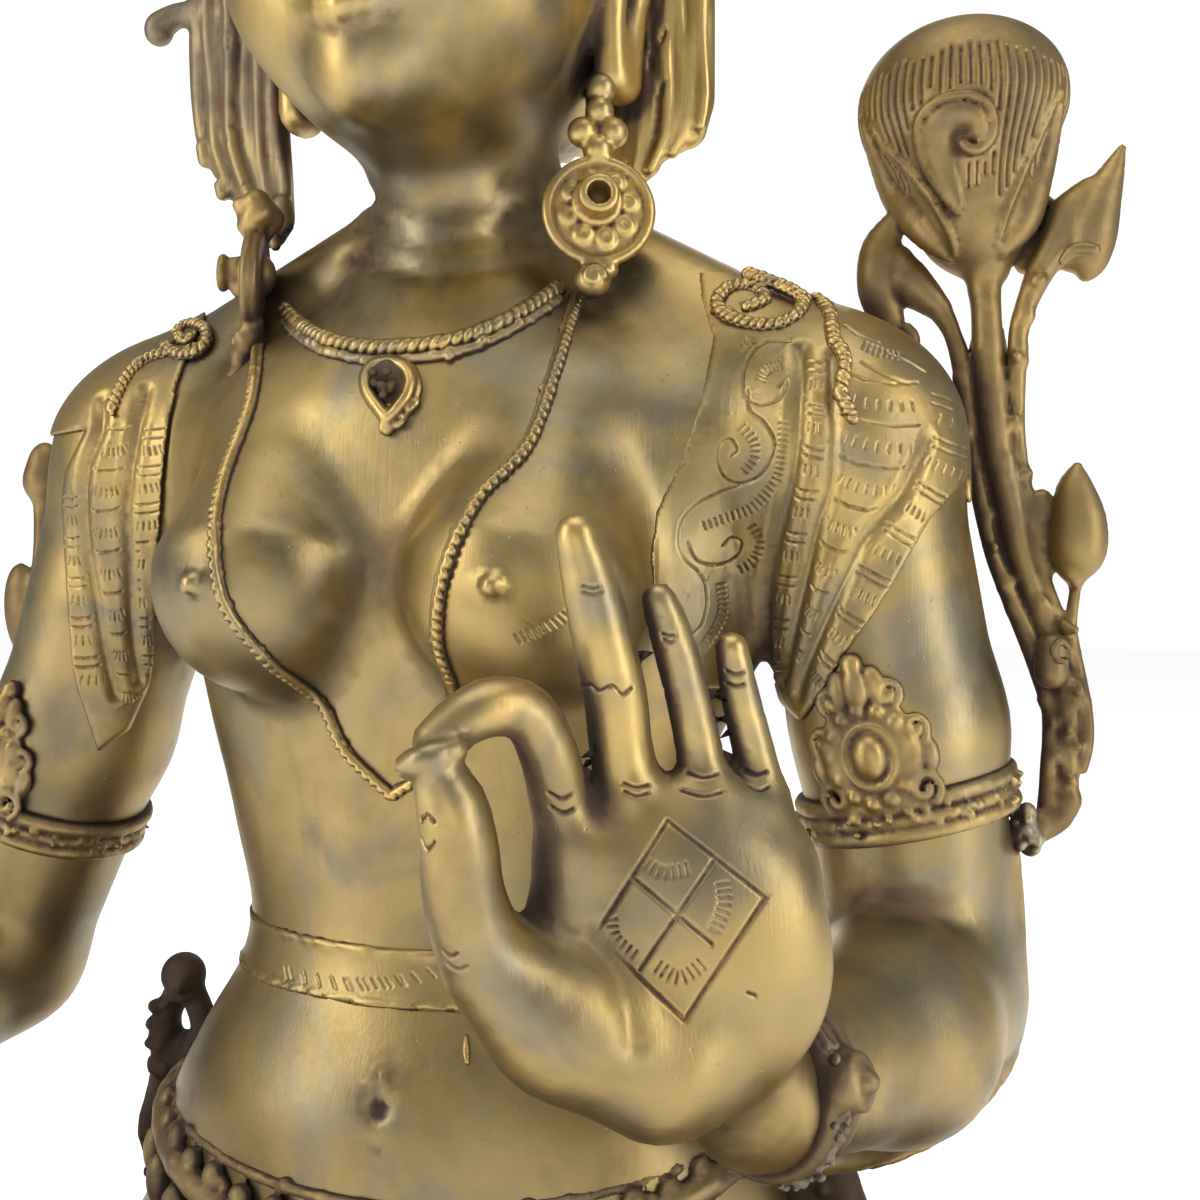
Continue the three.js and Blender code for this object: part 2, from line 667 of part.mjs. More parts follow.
// A foot from heel to toes: `way` points to the toes, `up` out of the instep.
function footForms(heel, way, up, length, inner) {
  const w = unit(way);
  const u = unit(up);
  const side = times(cross(w, u), inner);
  const at = (along, across, high) => {
    const level = add(times(w, along * length), times(side, across));
    return add(heel, add(level, times(u, high)));
  };
  const forms = [];
  forms.push(bone(at(0.06, 0, 0.3), at(0.6, 0, -0.1), 1.45, 1.35, 0.8));
  forms.push(bone(at(0.15, 0, 1.7), at(0.62, 0.2, 0.35), 1.35, 1.0, 0.9));
  forms.push(egg(at(0.6, 0, -0.1), [2.1, 1.05, 2.1], 0.7, w, u));
  for (let i = 0; i < 5; i += 1) {
    const across = 1.65 - i * 0.82;
    const end = 1.0 - i * 0.045;
    const r = i === 0 ? 0.62 : 0.47 - 0.02 * i;
    forms.push(bone(at(0.68, across * 0.92, -0.25), at(end, across, -0.45), r * 1.1, r, 0.25));
  }
  return forms;
}

// Legs and cloth.
function legForms() {
  const forms = [];
  const leftShin = blend3(LEFT_KNEE, LEFT_ANKLE, 0.36);
  forms.push(bone([5.0, -0.5, 3.0], LEFT_KNEE, 4.3, 3.35, 1.4));
  forms.push(bone(LEFT_KNEE, leftShin, 3.35, 2.95, 1.0));
  forms.push(bone(leftShin, LEFT_ANKLE, 2.95, 1.75, 0.8));
  const rightShin = blend3(RIGHT_KNEE, RIGHT_ANKLE, 0.32);
  forms.push(bone([-5.0, -0.4, 2.8], RIGHT_KNEE, 4.1, 3.35, 1.4));
  forms.push(bone(RIGHT_KNEE, rightShin, 3.35, 3.05, 1.0));
  forms.push(bone(rightShin, RIGHT_ANKLE, 3.05, 1.6, 0.8));
  forms.push(egg([0, -6.4, 1.6], [7.2, 4.6, 2.4], 1.4));
  forms.push(...footForms([3.4, -12.9, 2.0], [-1, 0.12, 0.04], [0.05, -0.62, 0.78], 9.6, -1));
  const heel = add(RIGHT_ANKLE, [0.9, 0.6, -0.9]);
  forms.push(...footForms(heel, FOOT_WAY, [0, 0, 1], 9.4, -1));
  return forms;
}

function clothForms() {
  const forms = [];
  const hem = blend3(RIGHT_KNEE, RIGHT_ANKLE, 0.86);
  const hemWay = sub(RIGHT_ANKLE, RIGHT_KNEE);
  forms.push(hoop(hem, hemWay, [2.05, 2.05], 0.3, 0.3));
  const leftHem = blend3(LEFT_KNEE, LEFT_ANKLE, 0.84);
  forms.push(hoop(leftHem, sub(LEFT_ANKLE, LEFT_KNEE), [2.2, 2.2], 0.3, 0.3, [0, 0, 1]));
  const pleats = 5;
  for (let i = 0; i < pleats; i += 1) {
    const t = i - (pleats - 1) / 2;
    forms.push(cord([[t * 0.45, -6.3, 8.4, 0.4], [t * 0.75, -7.9, 5.6, 0.5],
      [t * 1.15 - 0.3, -10.2, 4.2, 0.48]], 0.2, 3));
  }
  return forms;
}

// Head.
function headForms() {
  const [hx, hy, hz] = HEAD_CENTRE;
  const forms = [];
  forms.push(egg([hx, hy, hz + 0.6], [6.1, 6.7, 6.6], 0.6));
  forms.push(egg([0, -1.5, 43.6], [5.1, 5.5, 6.5], 1.2));
  forms.push(egg([0, -3.6, 40.2], [3.7, 3.4, 3.1], 1.2));
  forms.push(ball([0, -5.9, 38.4], 1.15, 1.2));
  for (const s of [1, -1]) {
    forms.push(ball([s * 2.5, -4.6, 41.5], 2.1, 1.4));
    forms.push(cord([[s * 0.6, -6.9, 46.4, 0.24], [s * 2.2, -6.6, 47.1, 0.28],
      [s * 4.3, -5.0, 46.3, 0.16]], 0.8, 3));
    forms.push(egg([s * 2.35, -5.95, 45.1], [1.45, 0.95, 0.82], 0.35));
    forms.push(cord([[s * 1.0, -6.75, 44.8, 0.1], [s * 2.3, -6.95, 45.05, 0.16],
      [s * 3.9, -5.75, 45.35, 0.1]], 0.15, 3));
    forms.push(ball([s * 0.7, -7.3, 42.75], 0.48, 0.4));
    forms.push(cord([[s * 5.7, -0.2, 46.6, 0.55], [s * 6.0, 0.8, 45.8, 0.6], [s * 5.6, 0.5, 43.6, 0.55],
      [s * 5.2, 0.0, 41.4, 0.5], [s * 5.0, -0.3, 39.4, 0.62]], 0.4, 3));
    forms.push(cord([[s * 5.6, -1.0, 45.4, 0.35], [s * 5.3, -1.0, 43.2, 0.4], [s * 5.0, -1.1, 41.0, 0.4],
      [s * 4.95, -0.9, 39.4, 0.5]], 0.4, 3));
  }
  forms.push(bone([0, -6.9, 46.3], [0, -7.95, 43.2], 0.42, 0.64, 0.7));
  forms.push(ball([0, -6.9, 42.2], 0.55, 0.9));
  forms.push(cord([[-1.75, -6.55, 40.4, 0.16], [-0.8, -7.25, 40.6, 0.36], [0, -7.35, 40.5, 0.34],
    [0.8, -7.25, 40.6, 0.36], [1.75, -6.55, 40.4, 0.16]], 0.3, 3));
  forms.push(cord([[-1.5, -6.6, 40.05, 0.16], [0, -7.2, 39.65, 0.46], [1.5, -6.6, 40.05, 0.16]], 0.3, 3));
  return forms;
}

function hairForms() {
  const forms = [];
  forms.push(egg([0, 0.9, 47.6], [6.6, 6.9, 6.6], 0.3));
  forms.push(egg([0, 3.0, 43.2], [5.6, 4.3, 5.0], 0.8));
  forms.push(bone([0, CHIGNON_Y, 52.5], [0, CHIGNON_Y, 56.2], 3.9, 3.5, 0.7));
  forms.push(hoop([0, CHIGNON_Y, 54.3], [0, 0, 1], [3.85, 3.85], 0.45, 0.25));
  forms.push(egg([0, CHIGNON_Y, 59.0], [2.7, 2.7, 3.0], 0.5));
  forms.push(hoop([0, CHIGNON_Y, 58.6], [0, 0, 1], [2.75, 2.75], 0.32, 0.2));
  forms.push(ball([0, CHIGNON_Y, 62.2], 0.95, 0.3));
  forms.push(bone([0, CHIGNON_Y, 62.4], [0, CHIGNON_Y, 63.9], 0.7, 0.16, 0.3));
  for (const s of [1, -1]) {
    const lock = s > 0 ? 6.3 : -7.7;
    forms.push(egg([lock, 0.9, 41.4], [1.45, 0.6, 5.3], 0.4, [s * 0.1, 0.02, 1], [s * 0.35, -1, 0]));
    forms.push(egg([lock + s * 1.3, 1.1, 46.0], [1.7, 0.55, 3.2], 0.4, [s * 0.4, 0.05, 1],
      [s * 0.35, -1, 0]));
    forms.push(ball([lock + s * 2.3, 1.0, 42.6], 0.5, 0.5));
  }
  return forms;
}

// Where the hair that falls behind the ears ends in a curl on the shoulder.
function curlForms(body) {
  const forms = [];
  for (const s of [1, -1]) {
    const face = unit([s * 0.35, -0.8, 0.5]);
    const side = unit(cross([0, 0, 1], face));
    const rise = cross(face, side);
    const turns = [];
    for (let i = 0; i <= 14; i += 1) {
      const a = i * 0.5 - 0.4;
      const r = 0.45 + 0.075 * i;
      const flat = add(times(side, s * Math.cos(a) * r * 0.9), times(rise, Math.sin(a) * r * 0.8));
      const p = land(body, add([s * 8.8, -1.9, 32.9], add(flat, times(face, 5))), times(face, -1));
      turns.push([...p, 0.3]);
    }
    forms.push(cord(turns, 0.15, 1));
    const tail = [];
    for (let i = 0; i <= 6; i += 1) {
      const over = add([s * (10.2 + 0.16 * i), -2, 32.2 - 0.45 * i], times(face, 5));
      tail.push([...land(body, over, times(face, -1)), 0.3 - 0.02 * i]);
    }
    forms.push(cord(tail, 0.15, 1));
  }
  return forms;
}

function crownForms() {
  const forms = [];
  const radii = [6.35, 6.75];
  const centre = [0, 0.35, CROWN_Z];
  forms.push(hoop(centre, [0, -0.12, 1], radii, 0.5, 0.25));
  forms.push(hoop(add(centre, [0, 0, 0.95]), [0, -0.12, 1], radii, 0.3, 0.15));
  const leaves = 5;
  for (let i = 0; i < leaves; i += 1) {
    const a = (i - 2) * 0.66;
    const high = 4.4 - 0.4 * Math.abs(i - 2);
    const p = [Math.sin(a) * radii[0], centre[1] - Math.cos(a) * radii[1], CROWN_Z + 0.9];
    const out = unit([Math.sin(a), -Math.cos(a), 0]);
    const up = unit(add([0, 0, 1], times(out, 0.12)));
    forms.push(egg(add(p, times(up, high * 0.62)), [2.05, 0.5, high * 0.72], 0.25, up, out));
    forms.push(bone(add(p, times(up, high * 0.9)), add(p, times(up, high * 1.55)), 0.6, 0.16, 0.3));
    forms.push(ball(add(p, add(times(up, high * 0.42), times(out, 0.45))), 0.6, 0.15));
  }
  for (const s of [1, -1]) {
    forms.push(disc([s * 7.25, -0.6, 48.2], [s, -0.35, 0], 1.55, 0.45, 0.25));
    forms.push(ball([s * 7.75, -0.8, 48.2], 0.6, 0.15));
  }
  return forms;
}

// Jewellery.
function jewelForms(body) {
  const forms = [];
  const collar = [];
  for (let i = -5; i <= 5; i += 1) {
    const x = i * 0.84;
    const p = onFront(body, x, 31.35 + 0.085 * x * x);
    collar.push([p[0], p[1], p[2], 0.4]);
  }
  forms.push(cord(collar, 0.15, 1));
  const nape = [];
  for (let i = 0; i <= 8; i += 1) {
    const a = (i / 8) * Math.PI;
    const from = [Math.cos(a) * 14, Math.sin(a) * 14, 33.5 + 1.1 * Math.sin(a)];
    const p = land(body, from, [-Math.cos(a), -Math.sin(a), 0]);
    nape.push([p[0], p[1], p[2], 0.36]);
  }
  forms.push(cord(nape, 0.15, 1));
  const drop = onFront(body, 0.2, 30.2);
  forms.push(egg(add(drop, [0, -0.1, 0]), [0.72, 0.4, 1.0], 0.15));
  const outer = [[-4.1, 32.6], [-4.3, 30.0], [-4.6, 27.2], [-3.9, 24.6], [-2.3, 22.2], [-1.3, 20.6],
    [-0.4, 19.0]];
  const inner = [[4.4, 32.4], [3.7, 30.2], [2.9, 28.4], [1.5, 26.4], [0.8, 24.4], [0.6, 22.6],
    [0.2, 20.8], [-0.4, 19.0]];
  for (const line of [outer, inner]) {
    const rows = smoothRow(line, 3).map(([x, z]) => [...onFront(body, x, z), 0.27]);
    forms.push(cord(rows, 0.12, 1));
  }
  for (const s of [1, -1]) {
    const face = unit([s * 0.35, -1, 0.08]);
    const centre = s > 0 ? [4.75, -1.5, 35.5] : [-5.8, -1.2, 35.0];
    forms.push(disc(centre, face, 1.55, 0.3, 0.15));
    forms.push(hoop(centre, face, [1.4, 1.4], 0.28, 0.1));
    forms.push(bone(centre, add(centre, times(face, 0.85)), 0.62, 0.5, 0.12));
    forms.push(ball(add(centre, [s * 0.05, 0.4, 1.95]), 0.6, 0.3));
    forms.push(ball(add(centre, [s * 0.1, 0.55, 2.8]), 0.55, 0.3));
    forms.push(ball(add(centre, [-s * 0.3, -0.3, -2.0]), 0.62, 0.3));
    forms.push(carve(bone(add(centre, times(face, 0.5)), add(centre, times(face, 1.4)), 0.3, 0.3, 0.05)));
  }
  return forms;
}

// One roll of the girdle: it hangs low in front and rises over the hips.
function beltRing(level, radii, rise, r) {
  const rows = [];
  for (let i = 0; i <= 24; i += 1) {
    const a = (i / 24) * Math.PI * 2;
    const over = Math.cos(a) ** 2;
    rows.push([Math.cos(a) * radii[0], -0.2 + Math.sin(a) * radii[1], level + rise * over, r]);
  }
  return cord(rows, 0.3, 1);
}

function bandForms() {
  const forms = [];
  const waist = trunk(TRUNK_ROWS.map(([z, a, y0, y1]) => [z, a + 0.16, y0 - 0.16, y1 + 0.16]), 0.1);
  const lowest = 14.2;
  const highest = 15.7;
  forms.push({
    ...waist,
    lo: [-7, -6, lowest],
    hi: [7, 6, highest],
    dist: (x, y, z) => Math.max(waist.dist(x, y, z),
      Math.abs(z - (lowest + highest) / 2) - (highest - lowest) / 2),
  });
  forms.push(beltRing(9.75, [8.45, 6.05], 0.85, 0.3));
  forms.push(beltRing(8.5, [8.85, 6.5], 1.7, 0.4));
  const drops = 7;
  for (let i = 0; i < drops; i += 1) {
    const a = (i - (drops - 1) / 2) * 0.27;
    const z = 7.35 + 1.7 * Math.sin(a) ** 2;
    forms.push(egg([Math.sin(a) * 9.2, -0.1 - Math.cos(a) * 6.5, z], [0.55, 0.5, 0.85], 0.2));
  }
  for (const [arm, s] of [[LEFT_ARM, 1], [RIGHT_ARM, -1]]) {
    const [a, b, c] = arm;
    const way = unit(sub(b.slice(0, 3), a.slice(0, 3)));
    const level = s > 0 ? 19.9 : 18.3;
    const t = (level - b[2]) / (c[2] - b[2]);
    const at = blend3(b, c, t);
    const low = sub(at, times(way, -0.75));
    const r = mix(b[3], c[3], t);
    forms.push(hoop(at, way, [r + 0.1, r + 0.1], 0.34, 0.15));
    forms.push(hoop(low, way, [r + 0.05, r + 0.05], 0.3, 0.15));
    const out = unit([s > 0 ? 0 : -0.3, -1, 0.1]);
    const plaque = add(at, add(times(out, r + 0.1), times(way, -1.45)));
    forms.push(egg(plaque, [1.35, 0.5, 1.6], 0.25, way, out));
    forms.push(egg(add(plaque, times(out, 0.3)), [0.55, 0.5, 0.7], 0.15, way, out));
    forms.push(ball(add(plaque, times(way, -1.4)), 0.4, 0.25));
  }
  const wrists = [[LEFT_WRIST, [12.7, -2.6, 14.4], 1.76], [RIGHT_WRIST, [-17.4, -3.2, 11.9], 1.78]];
  for (const [wrist, from, r] of wrists) {
    const way = unit(sub(wrist, from));
    forms.push(hoop(sub(wrist, times(way, 0.1)), way, [r, r], 0.42, 0.2));
    forms.push(hoop(sub(wrist, times(way, 0.9)), way, [r, r], 0.34, 0.2));
    const up = unit(sub([1, 0, 0.2], times(way, dot([1, 0, 0.2], way))));
    forms.push(ball(add(sub(wrist, times(way, 0.5)), times(up, r + 0.1)), 0.72, 0.3));
  }
  const ankle = blend3(RIGHT_KNEE, RIGHT_ANKLE, 0.96);
  forms.push(hoop(ankle, sub(RIGHT_ANKLE, RIGHT_KNEE), [1.75, 1.75], 0.36, 0.2));
  for (const s of [1, -1]) {
    forms.push(cord([[s * 9.8, 0.6, 12.6, 0.5], [s * 10.5, 0.8, 11.6, 0.42], [s * 10.75, 0.9, 10.8, 0.52],
      [s * 10.7, 1.0, 9.8, 0.55], [s * 10.9, 1.1, 8.7, 0.6], [s * 11.3, 1.2, 7.4, 0.6],
      [s * 11.1, 1.4, 6.2, 0.4]], 0.3, 3));
    forms.push(cord([[s * 9.5, 0.6, 12.2, 0.4], [s * 9.1, 0.6, 11.2, 0.42],
      [s * 9.6, 0.8, 10.2, 0.5]], 0.2, 3));
    forms.push(egg([s * 9.9, 1.0, 8.6], [0.95, 0.6, 2.3], 0.3));
    forms.push(ball([s * 9.8, 0.5, 12.8], 0.72, 0.2));
  }
  return forms;
}

function figureForms() {
  const body = [...torsoForms(), ...armForms()];
  const forms = [...body, ...legForms(), ...clothForms(), ...headForms(), ...hairForms(), ...crownForms()];
  forms.push(...curlForms(body), ...bandForms(), ...jewelForms(body));
  forms.push(...raisedHandForms(), ...givingHandForms());
  forms.push(...seatCuts());
  return forms;
}

// The undersides: the body is cut level over the seat and the hanging foot over its own lotus.
const SEAT_CUT_RADII = [24.6, 15.4];
const SOLE = TOE_SEAT + GAP;
const overSeat = (x, y) => (Math.hypot(x / SEAT_CUT_RADII[0], (y - DRUM_CENTRE_Y) / SEAT_CUT_RADII[1]) - 1)
  * SEAT_CUT_RADII[1];

function seatCuts() {
  const seat = form([-26, -17, -4], [26, 16, GAP], 0, (x, y, z) => Math.max(z - GAP, overSeat(x, y)), true);
  const [cx, cy] = TOE_LOBE_CENTRE;
  const foot = form([cx - 8, cy - 8, SOLE - 3], [cx + 8, cy + 8, SOLE], 0, (x, y, z) => z - SOLE, true);
  return [seat, foot];
}

// Keeps the level undersides level after the faces are thinned out.
function levelled([x, y, z]) {
  const onSeat = overSeat(x, y) < -0.3 && z > -1.5;
  const floor = onSeat ? GAP : SOLE;
  return [x, y, Math.max(z, floor)];
}

// Lotus sprays.
// Leaves room round the arm that a spray is soldered to.
function clearOf(forms, lo, hi) {
  const room = 0.08;
  return form(lo, hi, 0, (x, y, z) => distanceAt(forms, x, y, z) - room, true);
}

function leftSprayForms(figure) {
  const forms = [];
  const eye = [14.1, 3.5, 38.4];
  forms.push(egg(add(eye, [0, 0, 0.7]), [2.95, 2.55, 2.35], 0.5, [-0.12, 0, 1]));
  forms.push(bone(eye, [14.45, 3.2, 35.7], 2.65, 1.6, 0.5));
  forms.push(bone([14.45, 3.2, 35.7], [14.8, 3.1, 34.2], 1.6, 0.6, 0.5));
  forms.push(cord([[14.7, 3.1, 35.0, 0.55], [15.0, 2.6, 30, 0.42], [15.8, 2.3, 25.5, 0.42],
    [16.8, 2.0, 20.4, 0.5]], 0.3, 4));
  forms.push(cord([[13.1, 3.0, 33.8, 0.35], [14.4, 2.8, 31.2, 0.36], [14.7, 2.6, 28, 0.36],
    [15.5, 2.4, 24, 0.36],
    [16.4, 2.2, 20.6, 0.4]], 0.25, 4));
  forms.push(cord([[16.4, 3.2, 35.6, 0.35], [15.7, 2.9, 32.5, 0.34], [15.6, 2.6, 28.5, 0.36],
    [16.6, 2.3, 24.5, 0.36],
    [17.1, 2.1, 20.6, 0.4]], 0.25, 4));
  forms.push(egg([12.4, 3.0, 34.2], [1.0, 0.55, 1.75], 0.3, [0.55, 0, -1]));
  forms.push(cord([[11.7, 3.0, 35.2, 0.3], [12.5, 3.0, 36.4, 0.25], [13.4, 3.1, 35.6, 0.3]], 0.25, 3));
  forms.push(egg([17.4, 3.5, 36.0], [0.95, 0.55, 2.0], 0.3, [0.55, 0, 1]));
  forms.push(cord([[16.4, 3.3, 34.6, 0.4], [17.2, 3.4, 34.3, 0.32], [17.9, 3.5, 34.9, 0.3]], 0.3, 3));
  forms.push(egg([17.15, 2.5, 27.3], [0.95, 0.8, 1.5], 0.25, [0.1, 0, 1]));
  forms.push(cord([[17.2, 2.5, 26.4, 0.4], [16.9, 2.4, 24.6, 0.34], [16.9, 2.2, 22.6, 0.36]], 0.3, 3));
  forms.push(ball([16.7, 1.9, 23.2], 0.72, 0.3));
  forms.push(cord([[16.6, 1.9, 21.2, 0.5], [16.55, 1.7, 19.6, 0.6], [15.9, 1.2, 19.0, 0.5]], 0.3, 3));
  forms.push(clearOf(figure, [13, -1, 17], [18, 4, 33]));
  return forms;
}

function rightSprayForms(figure) {
  const forms = [];
  forms.push(ball([-16.9, 2.7, 28.7], 0.72, 0.3));
  forms.push(egg([-16.9, 2.7, 29.1], [0.62, 0.62, 1.0], 0.3));
  forms.push(cord([[-16.9, 2.7, 28.4, 0.4], [-16.9, 2.6, 26.0, 0.36], [-17.3, 2.4, 23.0, 0.4],
    [-17.6, 2.2, 19.6, 0.5]], 0.25, 4));
  forms.push(egg([-17.6, 2.5, 24.2], [0.75, 0.5, 1.7], 0.25, [-0.12, 0, 1]));
  forms.push(cord([[-17.6, 2.2, 20.4, 0.46], [-17.9, 1.9, 18.9, 0.55], [-17.4, 1.3, 18.3, 0.5]], 0.3, 3));
  forms.push(clearOf(figure, [-19, -1, 16], [-14, 4, 31]));
  return forms;
}

// Lotus base.
function toManifold(geometry) {
  const welded = mergeVertices(geometry, 1e-4);
  return new Manifold(new Mesh({
    numProp: 3,
    vertProperties: Float32Array.from(welded.attributes.position.array),
    triVerts: Uint32Array.from(welded.index.array),
  }));
}

function fromManifold(solid) {
  const mesh = solid.getMesh();
  const geometry = new THREE.BufferGeometry();
  geometry.setAttribute('position', new THREE.BufferAttribute(mesh.vertProperties, 3));
  geometry.setIndex([...mesh.triVerts]);
  geometry.computeVertexNormals();
  return geometry;
}

function lighter(solid, triangles) {
  const mesh = solid.getMesh();
  const points = [];
  const faces = [];
  for (let i = 0; i < mesh.vertProperties.length; i += 3) points.push([...mesh.vertProperties.slice(i,
    i + 3)]);
  for (let i = 0; i < mesh.triVerts.length; i += 3) faces.push([...mesh.triVerts.slice(i, i + 3)]);
  return toGeometry(reduced({ points, faces }, triangles), (p) => p);
}

// A closed stack of rings: rows are [z, x radius, y radius] about a centre.
function stack(rows, centre, segments, turn = 0) {
  const points = [];
  const faces = [];
  for (const [z, rx, ry] of rows) {
    for (let i = 0; i < segments; i += 1) {
      const a = (i / segments) * Math.PI * 2;
      const x = Math.cos(a) * rx;
      const y = Math.sin(a) * ry;
      points.push([centre[0] + x * Math.cos(turn) - y * Math.sin(turn),
        centre[1] + x * Math.sin(turn) + y * Math.cos(turn), z]);
    }
  }
  for (let r = 0; r < rows.length - 1; r += 1) {
    for (let i = 0; i < segments; i += 1) {
      const a = r * segments + i;
      const b = r * segments + ((i + 1) % segments);
      faces.push([a, b, b + segments], [a, b + segments, a + segments]);
    }
  }
  const top = points.length;
  points.push([centre[0], centre[1], rows[0][0]], [centre[0], centre[1], rows[rows.length - 1][0]]);
  for (let i = 0; i < segments; i += 1) {
    const j = (i + 1) % segments;
    const lid = (rows.length - 1) * segments;
    faces.push([top, j, i], [top + 1, lid + i, lid + j]);
  }
  return toGeometry({ points, faces });
}

// One petal: a bulging leaf from its root to a curled tip, closed behind.
function petal(angle, centre, radii, rootZ, tipZ, half, bulge) {
  const rowsAlong = 5;
  const rowsAcross = 4;
  const rx = radii[0];
  const ry = radii[1];
  const ringPoint = (a, out, z) => {
    const nx = Math.cos(a) / rx;
    const ny = Math.sin(a) / ry;
    const n = Math.hypot(nx, ny);
    return [centre[0] + Math.cos(a) * rx + (nx / n) * out, centre[1] + Math.sin(a) * ry + (ny / n) * out,
      z];
  };
  const points = [];
  const faces = [];
  const outline = (t) => Math.sqrt(Math.max(1 - Math.pow(t, 3.4), 0)) * (0.92 + 0.24 * t * (1 - t));
  for (let r = 0; r <= rowsAlong; r += 1) {
    const t = r / rowsAlong;
    for (let c = 0; c <= rowsAcross; c += 1) {
      const s = (c / rowsAcross) * 2 - 1;
      const crest = bulge * (0.35 + 0.65 * Math.sin(Math.PI * Math.min(t * 0.75 + 0.1, 1)));
      const out = crest * (1 - 0.8 * s * s) + (t === 1 ? 0.5 * bulge : 0);
      points.push(ringPoint(angle + s * half * outline(Math.min(t, 0.985)), out, mix(rootZ, tipZ, t)));
    }
  }
  const front = points.length;
  for (let r = 0; r <= rowsAlong; r += 1) {
    const t = r / rowsAlong;
    for (let c = 0; c <= rowsAcross; c += 1) {
      const s = (c / rowsAcross) * 2 - 1;
      points.push(ringPoint(angle + s * half * outline(Math.min(t, 0.985)) * 0.9, -1.2, mix(rootZ, tipZ,
        t)));
    }
  }
  const id = (r, c) => r * (rowsAcross + 1) + c;
  const flip = tipZ > rootZ;
  const quad = (a, b, c, d) => (flip ? faces.push([a, b, c], [a, c, d]) : faces.push([a, c, b], [a, d, c]));
  for (let r = 0; r < rowsAlong; r += 1) {
    for (let c = 0; c < rowsAcross; c += 1) {
      quad(id(r, c), id(r, c + 1), id(r + 1, c + 1), id(r + 1, c));
      quad(front + id(r, c), front + id(r + 1, c), front + id(r + 1, c + 1), front + id(r, c + 1));
    }
    quad(id(r, 0), id(r + 1, 0), front + id(r + 1, 0), front + id(r, 0));
    quad(id(r + 1, rowsAcross), id(r, rowsAcross), front + id(r, rowsAcross), front + id(r + 1,
      rowsAcross));
  }
  for (let c = 0; c < rowsAcross; c += 1) {
    quad(id(0, c + 1), id(0, c), front + id(0, c), front + id(0, c + 1));
    quad(id(rowsAlong, c), id(rowsAlong, c + 1), front + id(rowsAlong, c + 1), front + id(rowsAlong, c));
  }
  return toManifold(toGeometry({ points, faces }));
}

function lotusBase() {
  const centre = [0, DRUM_CENTRE_Y];
  const [px, py] = PLINTH_RADII;
  const parts = [toManifold(stack([
    [PLINTH_FOOT, px, py],
    [PLINTH_TOP - 0.25, px, py],
    [PLINTH_TOP, px - 0.3, py - 0.3],
    [PLINTH_TOP, 22.6, 13.6],
    [-6.6, 21.6, 12.6],
    [-5.4, 21.6, 12.6],
    [-1.1, 22.5, 13.6],
    [-0.9, RIM_RADII[0], RIM_RADII[1]],
    [-0.25, RIM_RADII[0], RIM_RADII[1]],
    [0, RIM_RADII[0] - 0.2, RIM_RADII[1] - 0.2],
  ], centre, 48))];
  const around = 20;
  for (let i = 0; i < around; i += 1) {
    const a = evenAngle((i + 0.5) / around, 22.4, 13.4);
    const half = halfStep(a, 22.4, 13.4, around);
    parts.push(petal(a, centre, [21.9, 12.9], -5.75, -1.35, half, 1.75));
    parts.push(petal(a, centre, [22.0, 13.0], -6.3, -10.75, half, 1.9));
  }
  const [lx, ly] = TOE_LOBE_RADII;
  parts.push(toManifold(stack([
    [PLINTH_FOOT, lx, ly],
    [PLINTH_TOP - 0.25, lx, ly],
    [PLINTH_TOP, lx - 0.3, ly - 0.3],
    [PLINTH_TOP, 4.6, 3.2],
    [TOE_SEAT - 1.2, 4.9, 3.4],
    [TOE_SEAT - 0.2, 5.6, 4.0],
    [TOE_SEAT, 5.5, 3.9],
  ], TOE_LOBE_CENTRE, 28, TOE_TURN)));
  const toePetals = 9;
  const pivot = place([...TOE_LOBE_CENTRE, 0]);
  for (let i = 0; i < toePetals; i += 1) {
    const a = evenAngle((i + 0.5) / toePetals, 4.9, 3.4);
    const half = halfStep(a, 4.9, 3.4, toePetals);
    const leaf = petal(a, TOE_LOBE_CENTRE, [4.3, 2.9], PLINTH_TOP + 0.05, TOE_SEAT - 0.35, half, 1.15);
    parts.push(leaf.translate(times(pivot, -1)).rotate([0, 0,
      (TOE_TURN * 180) / Math.PI]).translate(pivot));
  }
  const neck = toGeometry(bridge());
  parts.push(toManifold(neck));
  return lighter(Manifold.union(parts), BASE_TRIANGLES);
}

// The web that joins the toe lobe to the plinth.
function bridge() {
  const outline = [[-21.5, -8], [-4, -8], [-7.4, -22], [-20.4, -23]];
  const points = [];
  for (const z of [PLINTH_FOOT, PLINTH_TOP - 0.05]) {
    for (const [x, y] of outline) points.push([x, y, z]);
  }
  const faces = [[0, 1, 2], [0, 2, 3], [4, 6, 5], [4, 7, 6]];
  for (let i = 0; i < 4; i += 1) {
    const j = (i + 1) % 4;
    faces.push([i, i + 4, j + 4], [i, j + 4, j]);
  }
  return { points, faces };
}

// The angle at a share of the way round an oval, measured along its edge.
function evenAngle(share, rx, ry) {
  const steps = 720;
  const sums = [0];
  for (let i = 1; i <= steps; i += 1) {
    const a = (i / steps) * Math.PI * 2;
    sums.push(sums[i - 1] + Math.hypot(Math.sin(a) * rx, Math.cos(a) * ry));
  }
  const goal = share * sums[steps];
  const i = sums.findIndex((v) => v >= goal);
  return (i / steps) * Math.PI * 2;
}

function halfStep(a, rx, ry, around) {
  const steps = 360;
  let total = 0;
  for (let i = 0; i < steps; i += 1) {
    const b = (i / steps) * Math.PI * 2;
    total += Math.hypot(Math.sin(b) * rx, Math.cos(b) * ry) * ((Math.PI * 2) / steps);
  }
  return (0.5 * total) / around / Math.hypot(Math.sin(a) * rx, Math.cos(a) * ry);
}

// The part.
function named(name, geometry) {
  const mesh = new THREE.Mesh(geometry, BRASS);
  mesh.name = name;
  return mesh;
}

